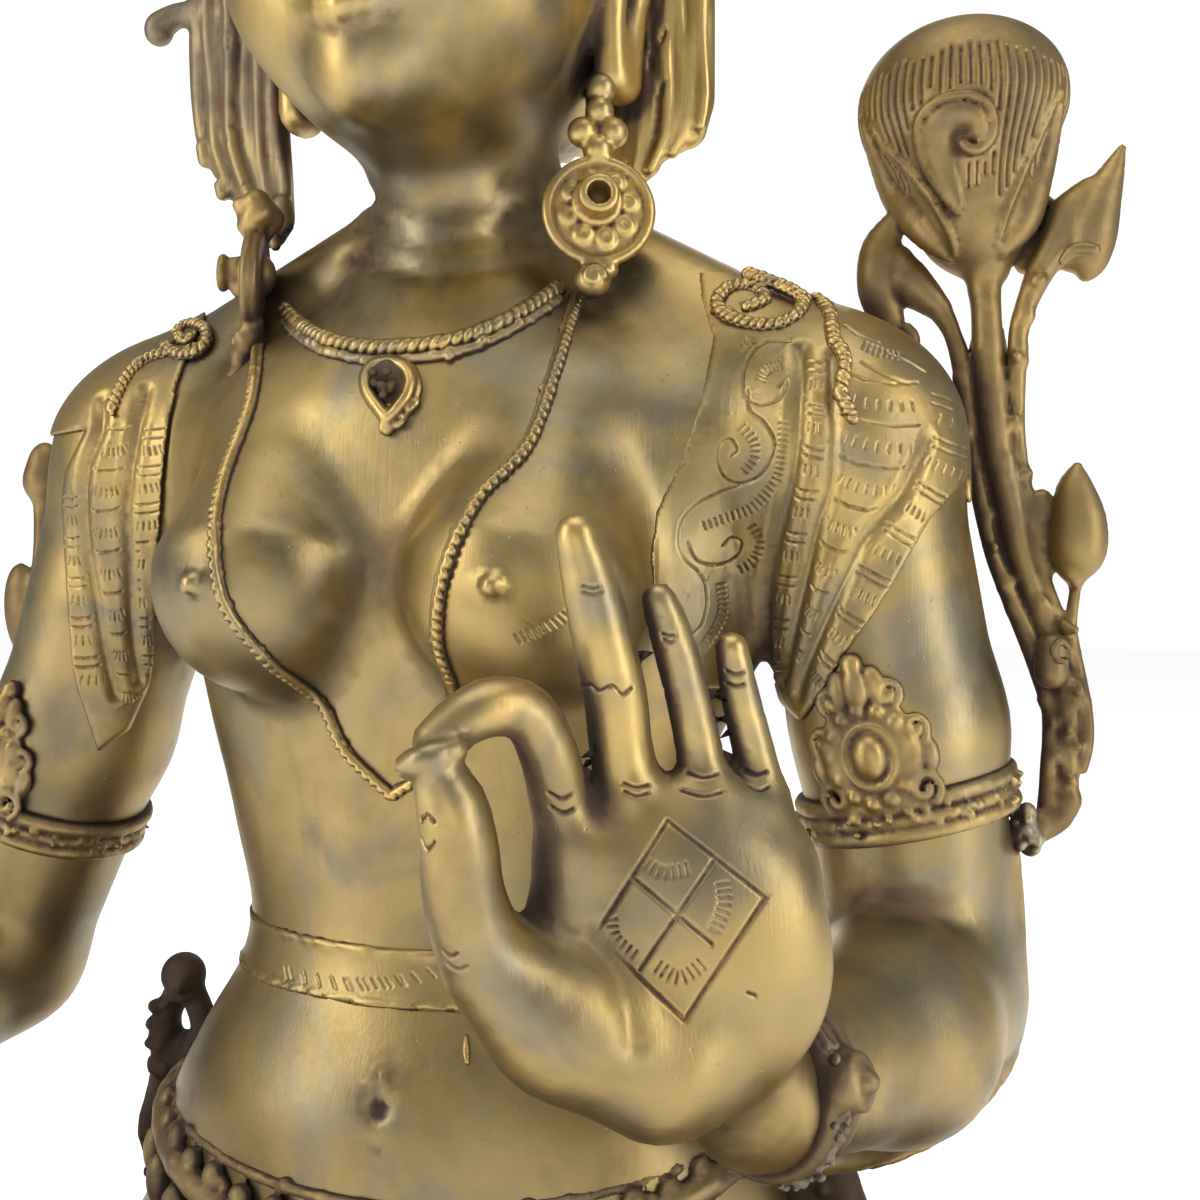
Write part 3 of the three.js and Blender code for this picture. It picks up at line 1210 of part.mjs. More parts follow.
const fineWork = (p) => {
  const head = p[2] > 37.5 ? 2.5 : 1;
  const hand = p[0] > 4.5 && p[1] < -9 && p[2] > 15 && p[2] < 28 ? 2.5 : 1;
  return head * hand;
};

const statue = new THREE.Group();
statue.name = 'seated_lotus_figure';
const figure = figureForms();
const leftSpray = leftSprayForms(figure);
const rightSpray = rightSprayForms(figure);
statue.add(named('tara_figure', seated(cast(figure, FIGURE_CELL, FIGURE_TRIANGLES, fineWork, levelled))));
statue.add(named('lotus_base', lotusBase()));
statue.add(named('left_lotus_spray', cast(leftSpray, SPRAY_CELL, LEFT_SPRAY_TRIANGLES)));
statue.add(named('right_lotus_spray', cast(rightSpray, SPRAY_CELL, RIGHT_SPRAY_TRIANGLES)));

export default statue;
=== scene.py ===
# %% [markdown]
# # A seated bodhisattva cast in brass
# The object is a lost-wax casting: a body modelled in wax, with jewellery laid on it as
# wax threads and pressed leaves, cast in brass, then chased with small punches and rubbed
# bright. The scene is built the same way. First comes a kind of digital wax, then the
# jewellery, the chased lines, and at the end the metal and its patina.
# The first cell loads the solid model, which gives the size and place of everything.

# %% Frame
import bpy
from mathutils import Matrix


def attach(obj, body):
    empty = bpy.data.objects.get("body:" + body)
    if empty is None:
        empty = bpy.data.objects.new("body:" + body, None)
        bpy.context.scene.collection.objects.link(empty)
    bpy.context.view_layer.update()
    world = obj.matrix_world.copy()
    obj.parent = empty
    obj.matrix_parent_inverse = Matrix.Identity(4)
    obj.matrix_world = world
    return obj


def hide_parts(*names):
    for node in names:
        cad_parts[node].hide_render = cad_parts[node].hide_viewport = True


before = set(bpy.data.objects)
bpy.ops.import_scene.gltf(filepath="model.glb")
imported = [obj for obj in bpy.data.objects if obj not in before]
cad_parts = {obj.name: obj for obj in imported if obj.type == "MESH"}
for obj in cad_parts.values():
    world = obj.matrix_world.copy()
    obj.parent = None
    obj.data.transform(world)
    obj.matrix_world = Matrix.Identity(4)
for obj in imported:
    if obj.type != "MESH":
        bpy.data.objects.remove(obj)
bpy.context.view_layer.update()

import math
import random
import bpy
import bmesh
import numpy as np
from mathutils import Vector

print("solid nodes:", ", ".join(sorted(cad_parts)))

# %% [markdown]
# Figures like this follow a canon: one small module sets every length. The module here is
# 9.6 mm, and all the numbers below are in modules, with height zero on the lotus seat.
# `place` turns modules into the frame's metres.

# %% The module
UNIT = 0.0096
SEAT = np.array([0.0, 6.92, 12.4])


def place(points):
    return (np.asarray(points, float) + SEAT) * UNIT


def unit(v):
    v = np.asarray(v, float)
    return v / max(float(np.linalg.norm(v)), 1e-9)


def lerp(a, b, t):
    return np.asarray(a, float) * (1 - t) + np.asarray(b, float) * t


print("seat height %.1f mm" % (SEAT[2] * UNIT * 1000))

# %% [markdown]
# The camera stands a little to the figure's left, level with its breast, and doesn't tilt.
# A small upward shift of the lens keeps upright lines upright. `EYE` and `sight` are kept,
# because a chaser also works from one side: drawings are thrown on the metal from here.

# %% Camera
TURN = math.radians(18)
FORWARD = np.array([-math.sin(TURN), math.cos(TURN), 0.0])
RIGHT = np.array([math.cos(TURN), math.sin(TURN), 0.0])
EYE = -42 * FORWARD + 4.1 * RIGHT + np.array([0, 0, 26.0])
DRAWING = 1200.0
FOCUS = 1428.0
HORIZON = 560.0

camera = bpy.data.objects.new("camera", bpy.data.cameras.new("camera"))
bpy.context.scene.collection.objects.link(camera)
camera.data.sensor_width = 36.0
camera.data.lens = 36.0 * FOCUS / DRAWING
camera.data.shift_y = (HORIZON - DRAWING / 2) / DRAWING
camera.data.clip_start = 0.01
camera.location = place(EYE)
camera.rotation_euler = Vector(FORWARD).to_track_quat("-Z", "Y").to_euler()
bpy.context.scene.camera = camera
print("camera at", [round(v, 4) for v in camera.location])


def sight(u, v):
    """Direction from the eye through a point of a drawing 1200 steps wide and high."""
    return unit(FORWARD + RIGHT * (u - DRAWING / 2) / FOCUS + np.array([0, 0, (HORIZON - v) / FOCUS]))


def on_drawing(x, y, z):
    """Where points in modules fall on that drawing, and how deep they lie."""
    dx, dy = x - EYE[0], y - EYE[1]
    deep = dx * FORWARD[0] + dy * FORWARD[1]
    side = dx * RIGHT[0] + dy * RIGHT[1]
    return DRAWING / 2 + FOCUS * side / deep, HORIZON - FOCUS * (z - EYE[2]) / deep, deep


# %% [markdown]
# Polished metal shows mostly what stands round it, so the studio matters as much as the
# colour. Two tall soft boxes, one overhead sheet and a weak grey surround give brass broad
# soft highlights with dark rims between them. The floor and the backdrop are one pale sheet.

# %% Studio
scene = bpy.context.scene
scene.view_settings.view_transform = "Standard"
world = bpy.data.worlds.new("studio")
scene.world = world
world.use_nodes = True
sky = world.node_tree
sky.nodes.clear()
sky_out = sky.nodes.new("ShaderNodeOutputWorld")
sky_mix = sky.nodes.new("ShaderNodeMixShader")
sky_ray = sky.nodes.new("ShaderNodeLightPath")
sky_white = sky.nodes.new("ShaderNodeBackground")
sky_grey = sky.nodes.new("ShaderNodeBackground")
sky_white.inputs[0].default_value = (1, 1, 1, 1)
sky_white.inputs[1].default_value = 1.09
sky_grey.inputs[0].default_value = (0.98, 0.97, 0.95, 1)
sky_grey.inputs[1].default_value = 0.3
sky_seen = sky.nodes.new("ShaderNodeMath")
sky_seen.operation = "MAXIMUM"
sky.links.new(sky_ray.outputs["Is Camera Ray"], sky_seen.inputs[0])
sky.links.new(sky_ray.outputs["Is Diffuse Ray"], sky_seen.inputs[1])
sky.links.new(sky_seen.outputs[0], sky_mix.inputs[0])
sky.links.new(sky_grey.outputs[0], sky_mix.inputs[1])
sky.links.new(sky_white.outputs[0], sky_mix.inputs[2])
sky.links.new(sky_mix.outputs[0], sky_out.inputs[0])


def soft_box(name, at, toward, wide, high, watts, colour):
    lamp = bpy.data.lights.new(name, "AREA")
    lamp.shape = "RECTANGLE"
    lamp.size, lamp.size_y = wide, high
    lamp.energy = watts
    lamp.color = colour
    ob = bpy.data.objects.new(name, lamp)
    ob.location = at
    ob.rotation_euler = (Vector(toward) - Vector(at)).to_track_quat("-Z", "Y").to_euler()
    scene.collection.objects.link(ob)


MIDDLE = (0.0, 0.0, 0.4)
soft_box("left_box", (-1.25, -1.15, 0.95), MIDDLE, 0.55, 1.5, 15, (1.0, 0.97, 0.92))
soft_box("right_box", (1.75, -0.45, 0.75), MIDDLE, 0.5, 1.6, 14, (1.0, 0.99, 0.97))
soft_box("top_sheet", (0.1, -0.3, 2.1), MIDDLE, 1.5, 1.2, 12, (1.0, 1.0, 1.0))
soft_box("front_card", (0.5, -2.2, 0.5), MIDDLE, 0.9, 0.9, 3, (1.0, 0.98, 0.95))
soft_box("back_box", (-0.6, 2.0, 1.2), MIDDLE, 1.2, 1.2, 10, (1.0, 1.0, 1.0))

floor_mesh = bpy.data.meshes.new("floor")
floor_mesh.from_pydata([(-6, -6, 0), (6, -6, 0), (6, 6, 0), (-6, 6, 0)], [], [(0, 1, 2, 3)])
floor = bpy.data.objects.new("floor", floor_mesh)
scene.collection.objects.link(floor)
paper = bpy.data.materials.new("pale_paper")
paper.use_nodes = True
paper.node_tree.nodes["Principled BSDF"].inputs["Base Color"].default_value = (0.93, 0.93, 0.93, 1)
paper.node_tree.nodes["Principled BSDF"].inputs["Roughness"].default_value = 0.9
floor_mesh.materials.append(paper)
print("studio: 5 lamps and a floor")

# %% [markdown]
# The metal. Old brass is never one colour: thumbs and cloth keep the high places golden,
# the open places turn olive with grey clouds, and the hollows hold purple-brown tarnish, wax
# and soot. The same browns, down to near black, also go into recesses and between parts as
# painted shade. Each mesh carries two attributes, one for how shut in the metal is (tarnish
# and painted shade) and `worn`, and the nodes mix them with noise in object space. Fine
# scratches from rubbing, small casting pits and a faint hammered waviness go into the bump.

# %% Brass
def node(tree, kind, **settings):
    n = tree.nodes.new(kind)
    for key, value in settings.items():
        if key in n.inputs:
            n.inputs[key].default_value = value
        else:
            setattr(n, key, value)
    return n


def stops(ramp_node, points):
    ramp = ramp_node.color_ramp
    while len(ramp.elements) < len(points):
        ramp.elements.new(0.5)
    for element, (at, colour) in zip(ramp.elements, points):
        element.position = at
        element.color = colour if len(colour) == 4 else (*colour, 1)
    return ramp_node


def maths(tree, operation, a, b=None, c=None, clamp=False):
    n = tree.nodes.new("ShaderNodeMath")
    n.operation = operation
    n.use_clamp = clamp
    for i, v in enumerate((a, b, c)):
        if v is None:
            continue
        if isinstance(v, (int, float)):
            n.inputs[i].default_value = v
        else:
            tree.links.new(v, n.inputs[i])
    return n.outputs[0]


def mixed(tree, factor, a, b):
    n = tree.nodes.new("ShaderNodeMix")
    n.data_type = "RGBA"
    for socket, v in ((n.inputs["Factor"], factor), (n.inputs["A"], a), (n.inputs["B"], b)):
        if isinstance(v, (int, float)):
            socket.default_value = v
        elif isinstance(v, tuple):
            socket.default_value = (*v, 1)
        else:
            tree.links.new(v, socket)
    return n.outputs["Result"]


GOLD = (0.58, 0.41, 0.155)
OLIVE = (0.24, 0.19, 0.095)
ASH = (0.25, 0.22, 0.15)
# The two darkest colours are tarnish and soot. Through the hollow mask they also paint shade into recesses and between
# parts.
TARNISH_AND_SHADE = (0.085, 0.045, 0.032)
SOOT_AND_SHADE = (0.03, 0.022, 0.016)
COPPER = (0.30, 0.10, 0.05)


def brass(name, tarnish=0.0, polish=0.0, grain=1.0, film=None, share=0.0):
    m = bpy.data.materials.new(name)
    m.use_nodes = True
    t = m.node_tree
    shader = t.nodes["Principled BSDF"]
    where = t.nodes.new("ShaderNodeTexCoord").outputs["Object"]
    # The first attribute holds tarnish in the hollows and also painted shade in recesses and between parts.
    hollow = node(t, "ShaderNodeAttribute", attribute_name="hollow").outputs["Fac"]
    worn = node(t, "ShaderNodeAttribute", attribute_name="worn").outputs["Fac"]

    def noise(scale, detail, rough, source=where, warp=0.0):
        n = node(t, "ShaderNodeTexNoise", Scale=scale, Detail=detail, Roughness=rough, Distortion=warp)
        t.links.new(source, n.inputs["Vector"])
        return n.outputs["Fac"]

    clouds = noise(11.0, 3.0, 0.55, warp=0.6)
    mottle = noise(75.0, 4.0, 0.62)
    specks = noise(620.0, 1.0, 0.6)
    tone = stops(node(t, "ShaderNodeValToRGB"), [(0.34, OLIVE), (0.62, GOLD)])
    lift = maths(t, "MULTIPLY_ADD", worn, 0.42, clouds)
    t.links.new(maths(t, "MULTIPLY_ADD", maths(t, "SUBTRACT", mottle, 0.5), 0.34, lift), tone.inputs[0])
    ash = stops(node(t, "ShaderNodeValToRGB"), [(0.48, (0, 0, 0)), (0.66, (0.85, 0.85, 0.85))])
    t.links.new(noise(19.0, 3.0, 0.6, warp=1.2), ash.inputs[0])
    colour = mixed(t, ash.outputs[0], tone.outputs[0], ASH)
    if film:
        low = node(t, "ShaderNodeVectorMath", operation="DOT_PRODUCT")
        t.links.new(where, low.inputs[0])
        low.inputs[1].default_value = (-0.8, 0.0, -1.7)
        cover = maths(t, "ADD", low.outputs["Value"], share + 0.68)
        cover = maths(t, "MULTIPLY_ADD", maths(t, "SUBTRACT", clouds, 0.5), 2.0, cover)
        cover = maths(t, "MULTIPLY_ADD", maths(t, "SUBTRACT", mottle, 0.5), 0.9, cover, clamp=True)
        colour = mixed(t, cover, colour, film)
    # How dark the metal gets: mottled tarnish, plus painted shade where the metal is shut in by other parts.
    dirt_and_shade = maths(t, "MULTIPLY_ADD", maths(t, "SUBTRACT", mottle, 0.5), 0.55, hollow)
    dirt_and_shade = maths(t, "MULTIPLY_ADD", hollow, 0.35, maths(t, "ADD", dirt_and_shade, tarnish))
    tarnish_and_shade_mask = stops(node(t, "ShaderNodeValToRGB"), [(0.24, (0, 0, 0)), (0.72, (1, 1, 1))])
    t.links.new(dirt_and_shade, tarnish_and_shade_mask.inputs[0])
    # Near black in the deepest places: soot and painted shade.
    black = stops(node(t, "ShaderNodeValToRGB"), [(0.62, (0, 0, 0)), (1.0, (1, 1, 1))])
    t.links.new(dirt_and_shade, black.inputs[0])
    rust = stops(node(t, "ShaderNodeValToRGB"), [(0.55, (0, 0, 0)), (0.7, (1, 1, 1))])
    t.links.new(noise(48.0, 3.0, 0.7), rust.inputs[0])
    red = maths(t, "MULTIPLY", maths(t, "MULTIPLY", rust.outputs[0], tarnish_and_shade_mask.outputs[0]), 0.55)
    colour = mixed(t, maths(t, "MULTIPLY", tarnish_and_shade_mask.outputs[0], 0.88), colour, TARNISH_AND_SHADE)
    colour = mixed(t, red, colour, COPPER)
    colour = mixed(t, maths(t, "MULTIPLY", black.outputs[0], 0.7), colour, SOOT_AND_SHADE)
    t.links.new(colour, shader.inputs["Base Color"])
    rough = maths(t, "MULTIPLY_ADD", mottle, 0.22, 0.265 - polish + 0.14 * share)
    rough = maths(t, "MULTIPLY_ADD", tarnish_and_shade_mask.outputs[0], 0.34, rough)
    rough = maths(t, "MULTIPLY_ADD", specks, 0.08, rough, clamp=True)
    t.links.new(rough, shader.inputs["Roughness"])
    t.links.new(maths(t, "MULTIPLY_ADD", tarnish_and_shade_mask.outputs[0], -0.35, 1.0), shader.inputs["Metallic"])
    brushed = node(t, "ShaderNodeMapping")
    brushed.inputs["Scale"].default_value = (1.0, 1.0, 0.06)
    brushed.inputs["Rotation"].default_value = (0.5, 0.35, 0.0)
    t.links.new(where, brushed.inputs["Vector"])
    scratches = noise(1500.0, 1.0, 0.6, brushed.outputs[0])
    pits = node(t, "ShaderNodeTexVoronoi", Scale=330.0, Randomness=1.0)
    t.links.new(where, pits.inputs["Vector"])
    pit = stops(node(t, "ShaderNodeValToRGB"), [(0.03, (0, 0, 0)), (0.13, (1, 1, 1))])
    t.links.new(pits.outputs["Distance"], pit.inputs[0])
    sparse = stops(node(t, "ShaderNodeValToRGB"), [(0.52, (1, 1, 1)), (0.62, (0, 0, 0))])
    t.links.new(noise(38.0, 1.0, 0.6), sparse.inputs[0])
    pit_mask = maths(t, "MAXIMUM", pit.outputs[0], sparse.outputs[0])
    waves = noise(130.0, 1.0, 0.5)
    height = maths(t, "MULTIPLY_ADD", scratches, 0.22 * grain, maths(t, "MULTIPLY", specks, 0.12 * grain))
    height = maths(t, "MULTIPLY_ADD", pit_mask, 0.5 * grain, height)
    height = maths(t, "MULTIPLY_ADD", waves, 0.5, height)
    bump = node(t, "ShaderNodeBump", Strength=0.5, Distance=0.00028)
    t.links.new(height, bump.inputs["Height"])
    t.links.new(bump.outputs[0], shader.inputs["Normal"])
    return m


BODY_METAL = brass("rubbed_brass", film=(0.15, 0.11, 0.06), share=0.12)
JEWEL_METAL = brass("jewel_brass", tarnish=0.14, grain=1.4)
CRUST_METAL = brass("crusted_brass", tarnish=0.4, grain=1.8, film=(0.17, 0.135, 0.08), share=0.35)
BASE_METAL = brass("base_brass", tarnish=0.06)
UMBER, TAUPE, LEAD = (0.2, 0.135, 0.065), (0.22, 0.18, 0.13), (0.38, 0.35, 0.29)
SPRAY_METAL = brass("spray_brass", tarnish=0.16, grain=1.5, film=UMBER, share=0.85)
SOLDER_METAL = brass("grey_solder", tarnish=0.1, grain=2.4, film=LEAD, share=0.7)
print("brass in 6 states of wear")

# %% [markdown]
# Digital wax. A sculptor presses pellets and rolls of wax together and smooths the joins.
# Here every pellet is a distance function: negative inside, positive outside. `melt` joins
# two of them with a soft seam, and the same trick with the sign turned cuts one away.
# Distances make thin and thick parts equally easy, and nothing has to be sewn together.

# %% Wax: pellets and rolls
def form(lo, hi, k, dist, cut=False):
    return {"lo": np.array(lo, float), "hi": np.array(hi, float), "k": k, "dist": dist, "cut": cut}


def carve(shape):
    return {**shape, "cut": True}


def melt(a, b, k):
    if k <= 0:
        return np.minimum(a, b)
    h = np.maximum(k - np.abs(a - b), 0) / k
    return np.minimum(a, b) - h * h * (k * 0.25)


def span(points, pad):
    points = np.asarray(points, float)[:, :3]
    return points.min(0) - pad, points.max(0) + pad


def ball(c, r, k):
    lo, hi = span([c], r)
    return form(lo, hi, k, lambda x, y, z: np.sqrt((x - c[0]) ** 2 + (y - c[1]) ** 2 + (z - c[2]) ** 2) - r)


def bone(a, b, ra, rb, k):
    lo, hi = span([a, b], max(ra, rb))
    d = [float(q - p) for p, q in zip(a, b)]
    dd = max(sum(v * v for v in d), 1e-9)

    def dist(x, y, z):
        px, py, pz = x - a[0], y - a[1], z - a[2]
        h = np.clip((px * d[0] + py * d[1] + pz * d[2]) / dd, 0, 1)
        return np.sqrt((px - h * d[0]) ** 2 + (py - h * d[1]) ** 2 + (pz - h * d[2]) ** 2) - (ra + (rb - ra) * h)

    return form(lo, hi, k, dist)


def egg(c, r, k, along=(0, 0, 1), face=(0, -1, 0)):
    w = unit(along)
    u = unit(np.cross(w, face))
    v = np.cross(w, u)
    lo, hi = span([c], max(r))
    frame3 = [[float(q) for q in axis] for axis in (u, v, w)]

    def dist(x, y, z):
        p = (x - c[0], y - c[1], z - c[2])
        q = [(p[0] * e[0] + p[1] * e[1] + p[2] * e[2]) / s for e, s in zip(frame3, r)]
        k0 = np.sqrt(q[0] ** 2 + q[1] ** 2 + q[2] ** 2)
        k1 = np.sqrt((q[0] / r[0]) ** 2 + (q[1] / r[1]) ** 2 + (q[2] / r[2]) ** 2)
        return k0 * (k0 - 1) / np.maximum(k1, 1e-5)

    return form(lo, hi, k, dist)


def curve_rows(rows, steps):
    """Catmull-Rom through rows of numbers."""
    rows = np.asarray(rows, float)
    last = len(rows) - 1
    t = np.arange(last * steps + 1) / steps
    i = np.clip(t.astype(int), 0, last - 1)
    f = (t - i)[:, None]
    p0, p1 = rows[np.maximum(i - 1, 0)], rows[i]
    p2, p3 = rows[i + 1], rows[np.minimum(i + 2, last)]
    return 0.5 * (2 * p1 + (p2 - p0) * f + (2 * p0 - 5 * p1 + 4 * p2 - p3) * f * f
                  + (3 * p1 - p0 - 3 * p2 + p3) * f * f * f)


def cord(rows, k, steps=4):
    """A round roll of wax through rows of x, y, z and radius."""
    rows = [[float(v) for v in row] for row in rows]
    pts = curve_rows(rows, steps) if steps > 1 else np.array(rows)
    lo, hi = span(pts, pts[:, 3].max())
    legs = [bone(p[:3].tolist(), q[:3].tolist(), float(p[3]), float(q[3]), 0)["dist"]
            for p, q in zip(pts[:-1], pts[1:])]

    def dist(x, y, z):
        best = legs[0](x, y, z)
        for leg in legs[1:]:
            best = np.minimum(best, leg(x, y, z))
        return best

    return form(lo, hi, k, dist)


def ring_points(c, axis, radii, count=24, side=(1, 0, 0), turn=0.0):
    w = unit(axis)
    v = unit(np.cross(w, side))
    u = np.cross(v, w)
    a = np.arange(count + 1) / count * 2 * math.pi + turn
    return np.asarray(c) + np.outer(np.cos(a) * radii[0], u) + np.outer(np.sin(a) * radii[1], v)


def hoop(c, axis, radii, r, k, side=(1, 0, 0), count=24):
    return cord([[*p, r] for p in ring_points(c, axis, radii, count, side)], k, 1)


def disc(c, axis, radius, half, k, rounding=0.15):
    w = [float(v) for v in unit(axis)]
    lo, hi = span([c], radius + half)

    def dist(x, y, z):
        px, py, pz = x - c[0], y - c[1], z - c[2]
        h = px * w[0] + py * w[1] + pz * w[2]
        out = np.sqrt(np.maximum(px * px + py * py + pz * pz - h * h, 0)) - radius + rounding
        flat = np.abs(h) - half + rounding
        return (np.minimum(np.maximum(out, flat), 0)
                + np.sqrt(np.maximum(out, 0) ** 2 + np.maximum(flat, 0) ** 2) - rounding)

    return form(lo, hi, k, dist)


def trunk(rows, k):
    """A body of oval sections: rows of height, half width, front and back."""
    fine = curve_rows(rows, 40)
    low, high = rows[0][0], rows[-1][0]
    levels = np.linspace(low, high, 401)
    order = np.argsort(fine[:, 0])
    half = np.interp(levels, fine[order, 0], fine[order, 1])
    front = np.interp(levels, fine[order, 0], fine[order, 2])
    back = np.interp(levels, fine[order, 0], fine[order, 3])
    rows = np.asarray(rows, float)

    def dist(x, y, z):
        a = np.interp(z, levels, half).astype(np.float32)
        y0 = np.interp(z, levels, front).astype(np.float32)
        y1 = np.interp(z, levels, back).astype(np.float32)
        b = (y1 - y0) / 2
        qx = x / a
        qy = (y - (y0 + y1) / 2) / b
        k0 = np.sqrt(qx * qx + qy * qy)
        k1 = np.sqrt((qx / a) ** 2 + (qy / b) ** 2)
        side = k0 * (k0 - 1) / np.maximum(k1, 1e-5)
        return np.maximum(np.maximum(side, low - z), z - high)

    widest = rows[:, 1].max()
    return form([-widest, rows[:, 2].min(), low], [widest, rows[:, 3].max(), high], k, dist)


print("wax: ball, bone, egg, cord, hoop, disc, trunk")

# %% [markdown]
# The wax is looked at in two ways. `sample` fills a block of small cells with distances,
# and `probe` reads such a block at any point. `skin` then stretches a net of quads over
# the zero level: one vertex in each cell that the surface crosses, moved to the middle of
# its crossings. This gives an even mesh without any flat-ended polygons.

# %% Wax: from distances to a skin
def blend_into(value, f, d):
    return -melt(-value, d, f["k"]) if f["cut"] else melt(value, d, f["k"])


def sample(forms, cell, reach=2.5):
    solid = [f for f in forms if not f["cut"]]
    lo = np.min([f["lo"] for f in solid], 0) - 2 * cell
    hi = np.max([f["hi"] for f in solid], 0) + 2 * cell
    n = np.ceil((hi - lo) / cell).astype(int) + 1
    axes = [(lo[a] + cell * np.arange(n[a])).astype(np.float32) for a in range(3)]
    value = np.full(n, 9, np.float32)
    for f in forms:
        pad = f["k"] + reach * cell
        a = np.maximum(np.floor((f["lo"] - pad - lo) / cell).astype(int), 0)
        b = np.minimum(np.ceil((f["hi"] + pad - lo) / cell).astype(int) + 1, n)
        if np.any(b <= a):
            continue
        s = tuple(slice(i, j) for i, j in zip(a, b))
        d = f["dist"](axes[0][s[0], None, None], axes[1][None, s[1], None], axes[2][None, None, s[2]])
        value[s] = blend_into(value[s], f, d)
    return {"lo": lo, "cell": cell, "value": value}


def probe(field, points):
    """Distances read from a sampled block, with straight mixing between its cells."""
    value = field["value"]
    top = np.array(value.shape) - 1.001
    g = np.clip((points - field["lo"]) / field["cell"], 0, top)
    i = g.astype(int)
    f = g - i
    out = 0
    for dx in (0, 1):
        for dy in (0, 1):
            for dz in (0, 1):
                share = (f[:, 0] if dx else 1 - f[:, 0]) * (f[:, 1] if dy else 1 - f[:, 1])
                share = share * (f[:, 2] if dz else 1 - f[:, 2])
                out = out + share * value[i[:, 0] + dx, i[:, 1] + dy, i[:, 2] + dz]
    return out


def distance_at(forms, points):
    """Exact distances at loose points."""
    value = np.full(len(points), 9.0)
    for f in forms:
        pad = f["k"] + 0.8
        near = np.flatnonzero(np.all((points > f["lo"] - pad) & (points < f["hi"] + pad), axis=1))
        if len(near):
            p = points[near]
            value[near] = blend_into(value[near], f, f["dist"](p[:, 0], p[:, 1], p[:, 2]))
    return value


def skin(field):
    value, lo, cell = field["value"], field["lo"], field["cell"]
    inside = value < 0
    m = np.array(value.shape) - 1
    corners = [(x, y, z) for x in (0, 1) for y in (0, 1) for z in (0, 1)]
    count = np.zeros(m, np.uint8)
    for x, y, z in corners:
        count += inside[x:m[0] + x, y:m[1] + y, z:m[2] + z]
    crossed = np.argwhere((count > 0) & (count < 8))
    number = np.full(m, -1, np.int32)
    number[tuple(crossed.T)] = np.arange(len(crossed))
    at = {c: value[crossed[:, 0] + c[0], crossed[:, 1] + c[1], crossed[:, 2] + c[2]] for c in corners}
    total = np.zeros((len(crossed), 3))
    hits = np.zeros(len(crossed))
    for c in corners:
        for axis in range(3):
            if c[axis]:
                continue
            e = tuple(v + (i == axis) for i, v in enumerate(c))
            va, vb = at[c], at[e]
            cut = (va < 0) != (vb < 0)
            t = va[cut] / (va[cut] - vb[cut])
            total[cut] += np.array(c) + t[:, None] * (np.arange(3) == axis)
            hits[cut] += 1
    points = lo + (crossed + total / hits[:, None]) * cell
    quads = []
    for axis in range(3):
        b, c = (axis + 1) % 3, (axis + 2) % 3
        low = [slice(None)] * 3
        high = [slice(None)] * 3
        low[axis], high[axis] = slice(0, -1), slice(1, None)
        edge = np.argwhere(inside[tuple(low)] != inside[tuple(high)])
        edge = edge[np.all((edge[:, [b, c]] > 0) & (edge[:, [b, c]] < m[[b, c]]), axis=1)]
        ring = []
        for sb, sc in ((1, 1), (0, 1), (0, 0), (1, 0)):
            cellid = edge.copy()
            cellid[:, b] -= sb
            cellid[:, c] -= sc
            ring.append(number[tuple(cellid.T)])
        quad = np.stack(ring, 1)
        out = inside[tuple(edge.T)]
        quad[~out] = quad[~out][:, ::-1]
        quads.append(quad)
    return points, np.concatenate(quads)


def biggest_shell(points, faces):
    """Drops crumbs and closed bubbles: only the largest connected skin stays."""
    label = np.arange(len(points))
    pairs = np.concatenate([faces[:, [0, 1]], faces[:, [1, 2]], faces[:, [2, faces.shape[1] - 1]]])
    while True:
        low = np.minimum(label[pairs[:, 0]], label[pairs[:, 1]])
        before = label.copy()
        np.minimum.at(label, pairs[:, 0], low)
        np.minimum.at(label, pairs[:, 1], low)
        label = label[label]
        label = label[label]
        if np.array_equal(before, label):
            break
    names, sizes = np.unique(label[faces[:, 0]], return_counts=True)
    keep = label == names[np.argmax(sizes)]
    index = np.cumsum(keep) - 1
    return points[keep], index[faces[keep[faces[:, 0]]]]


print("wax: sample, probe, skin")
# %% [markdown]
# A skin straight from the cells is even but blunt. `settle` slides every vertex along its
# normal onto the true surface, `refine` splits only the edges that a test marks, so faces
# are spent where there is detail, and `thin` lets Blender's Decimate take faces away where
# the body is smooth.

# %% Skin: settle, refine, thin
def triangles(points, quads):
    a, b, c, d = quads.T
    short = np.linalg.norm(points[a] - points[c], axis=1) <= np.linalg.norm(points[b] - points[d], axis=1)
    one = np.where(short[:, None], np.stack([a, b, c], 1), np.stack([a, b, d], 1))
    two = np.where(short[:, None], np.stack([a, c, d], 1), np.stack([b, c, d], 1))
    return np.concatenate([one, two])


def gather(index, values, count):
    return np.stack([np.bincount(index, values[:, i], count) for i in range(values.shape[1])], 1)


def normals(points, tris):
    p = points[tris]
    n = np.cross(p[:, 1] - p[:, 0], p[:, 2] - p[:, 0])
    total = gather(tris.ravel(), np.repeat(n, 3, axis=0), len(points))
    return total / np.maximum(np.linalg.norm(total, axis=1), 1e-12)[:, None]


def settle(points, tris, measure, rounds=3, step=0.25):
    for _ in range(rounds):
        d = np.clip(measure(points), -step, step)
        points = points - normals(points, tris) * d[:, None]
    return points


def edge_list(tris):
    pairs = np.sort(np.concatenate([tris[:, [0, 1]], tris[:, [1, 2]], tris[:, [2, 0]]]), axis=1)
    key = pairs[:, 0].astype(np.int64) * (tris.max() + 1) + pairs[:, 1]
    _, first, back = np.unique(key, return_index=True, return_inverse=True)
    return pairs[first], back.reshape(3, -1).T


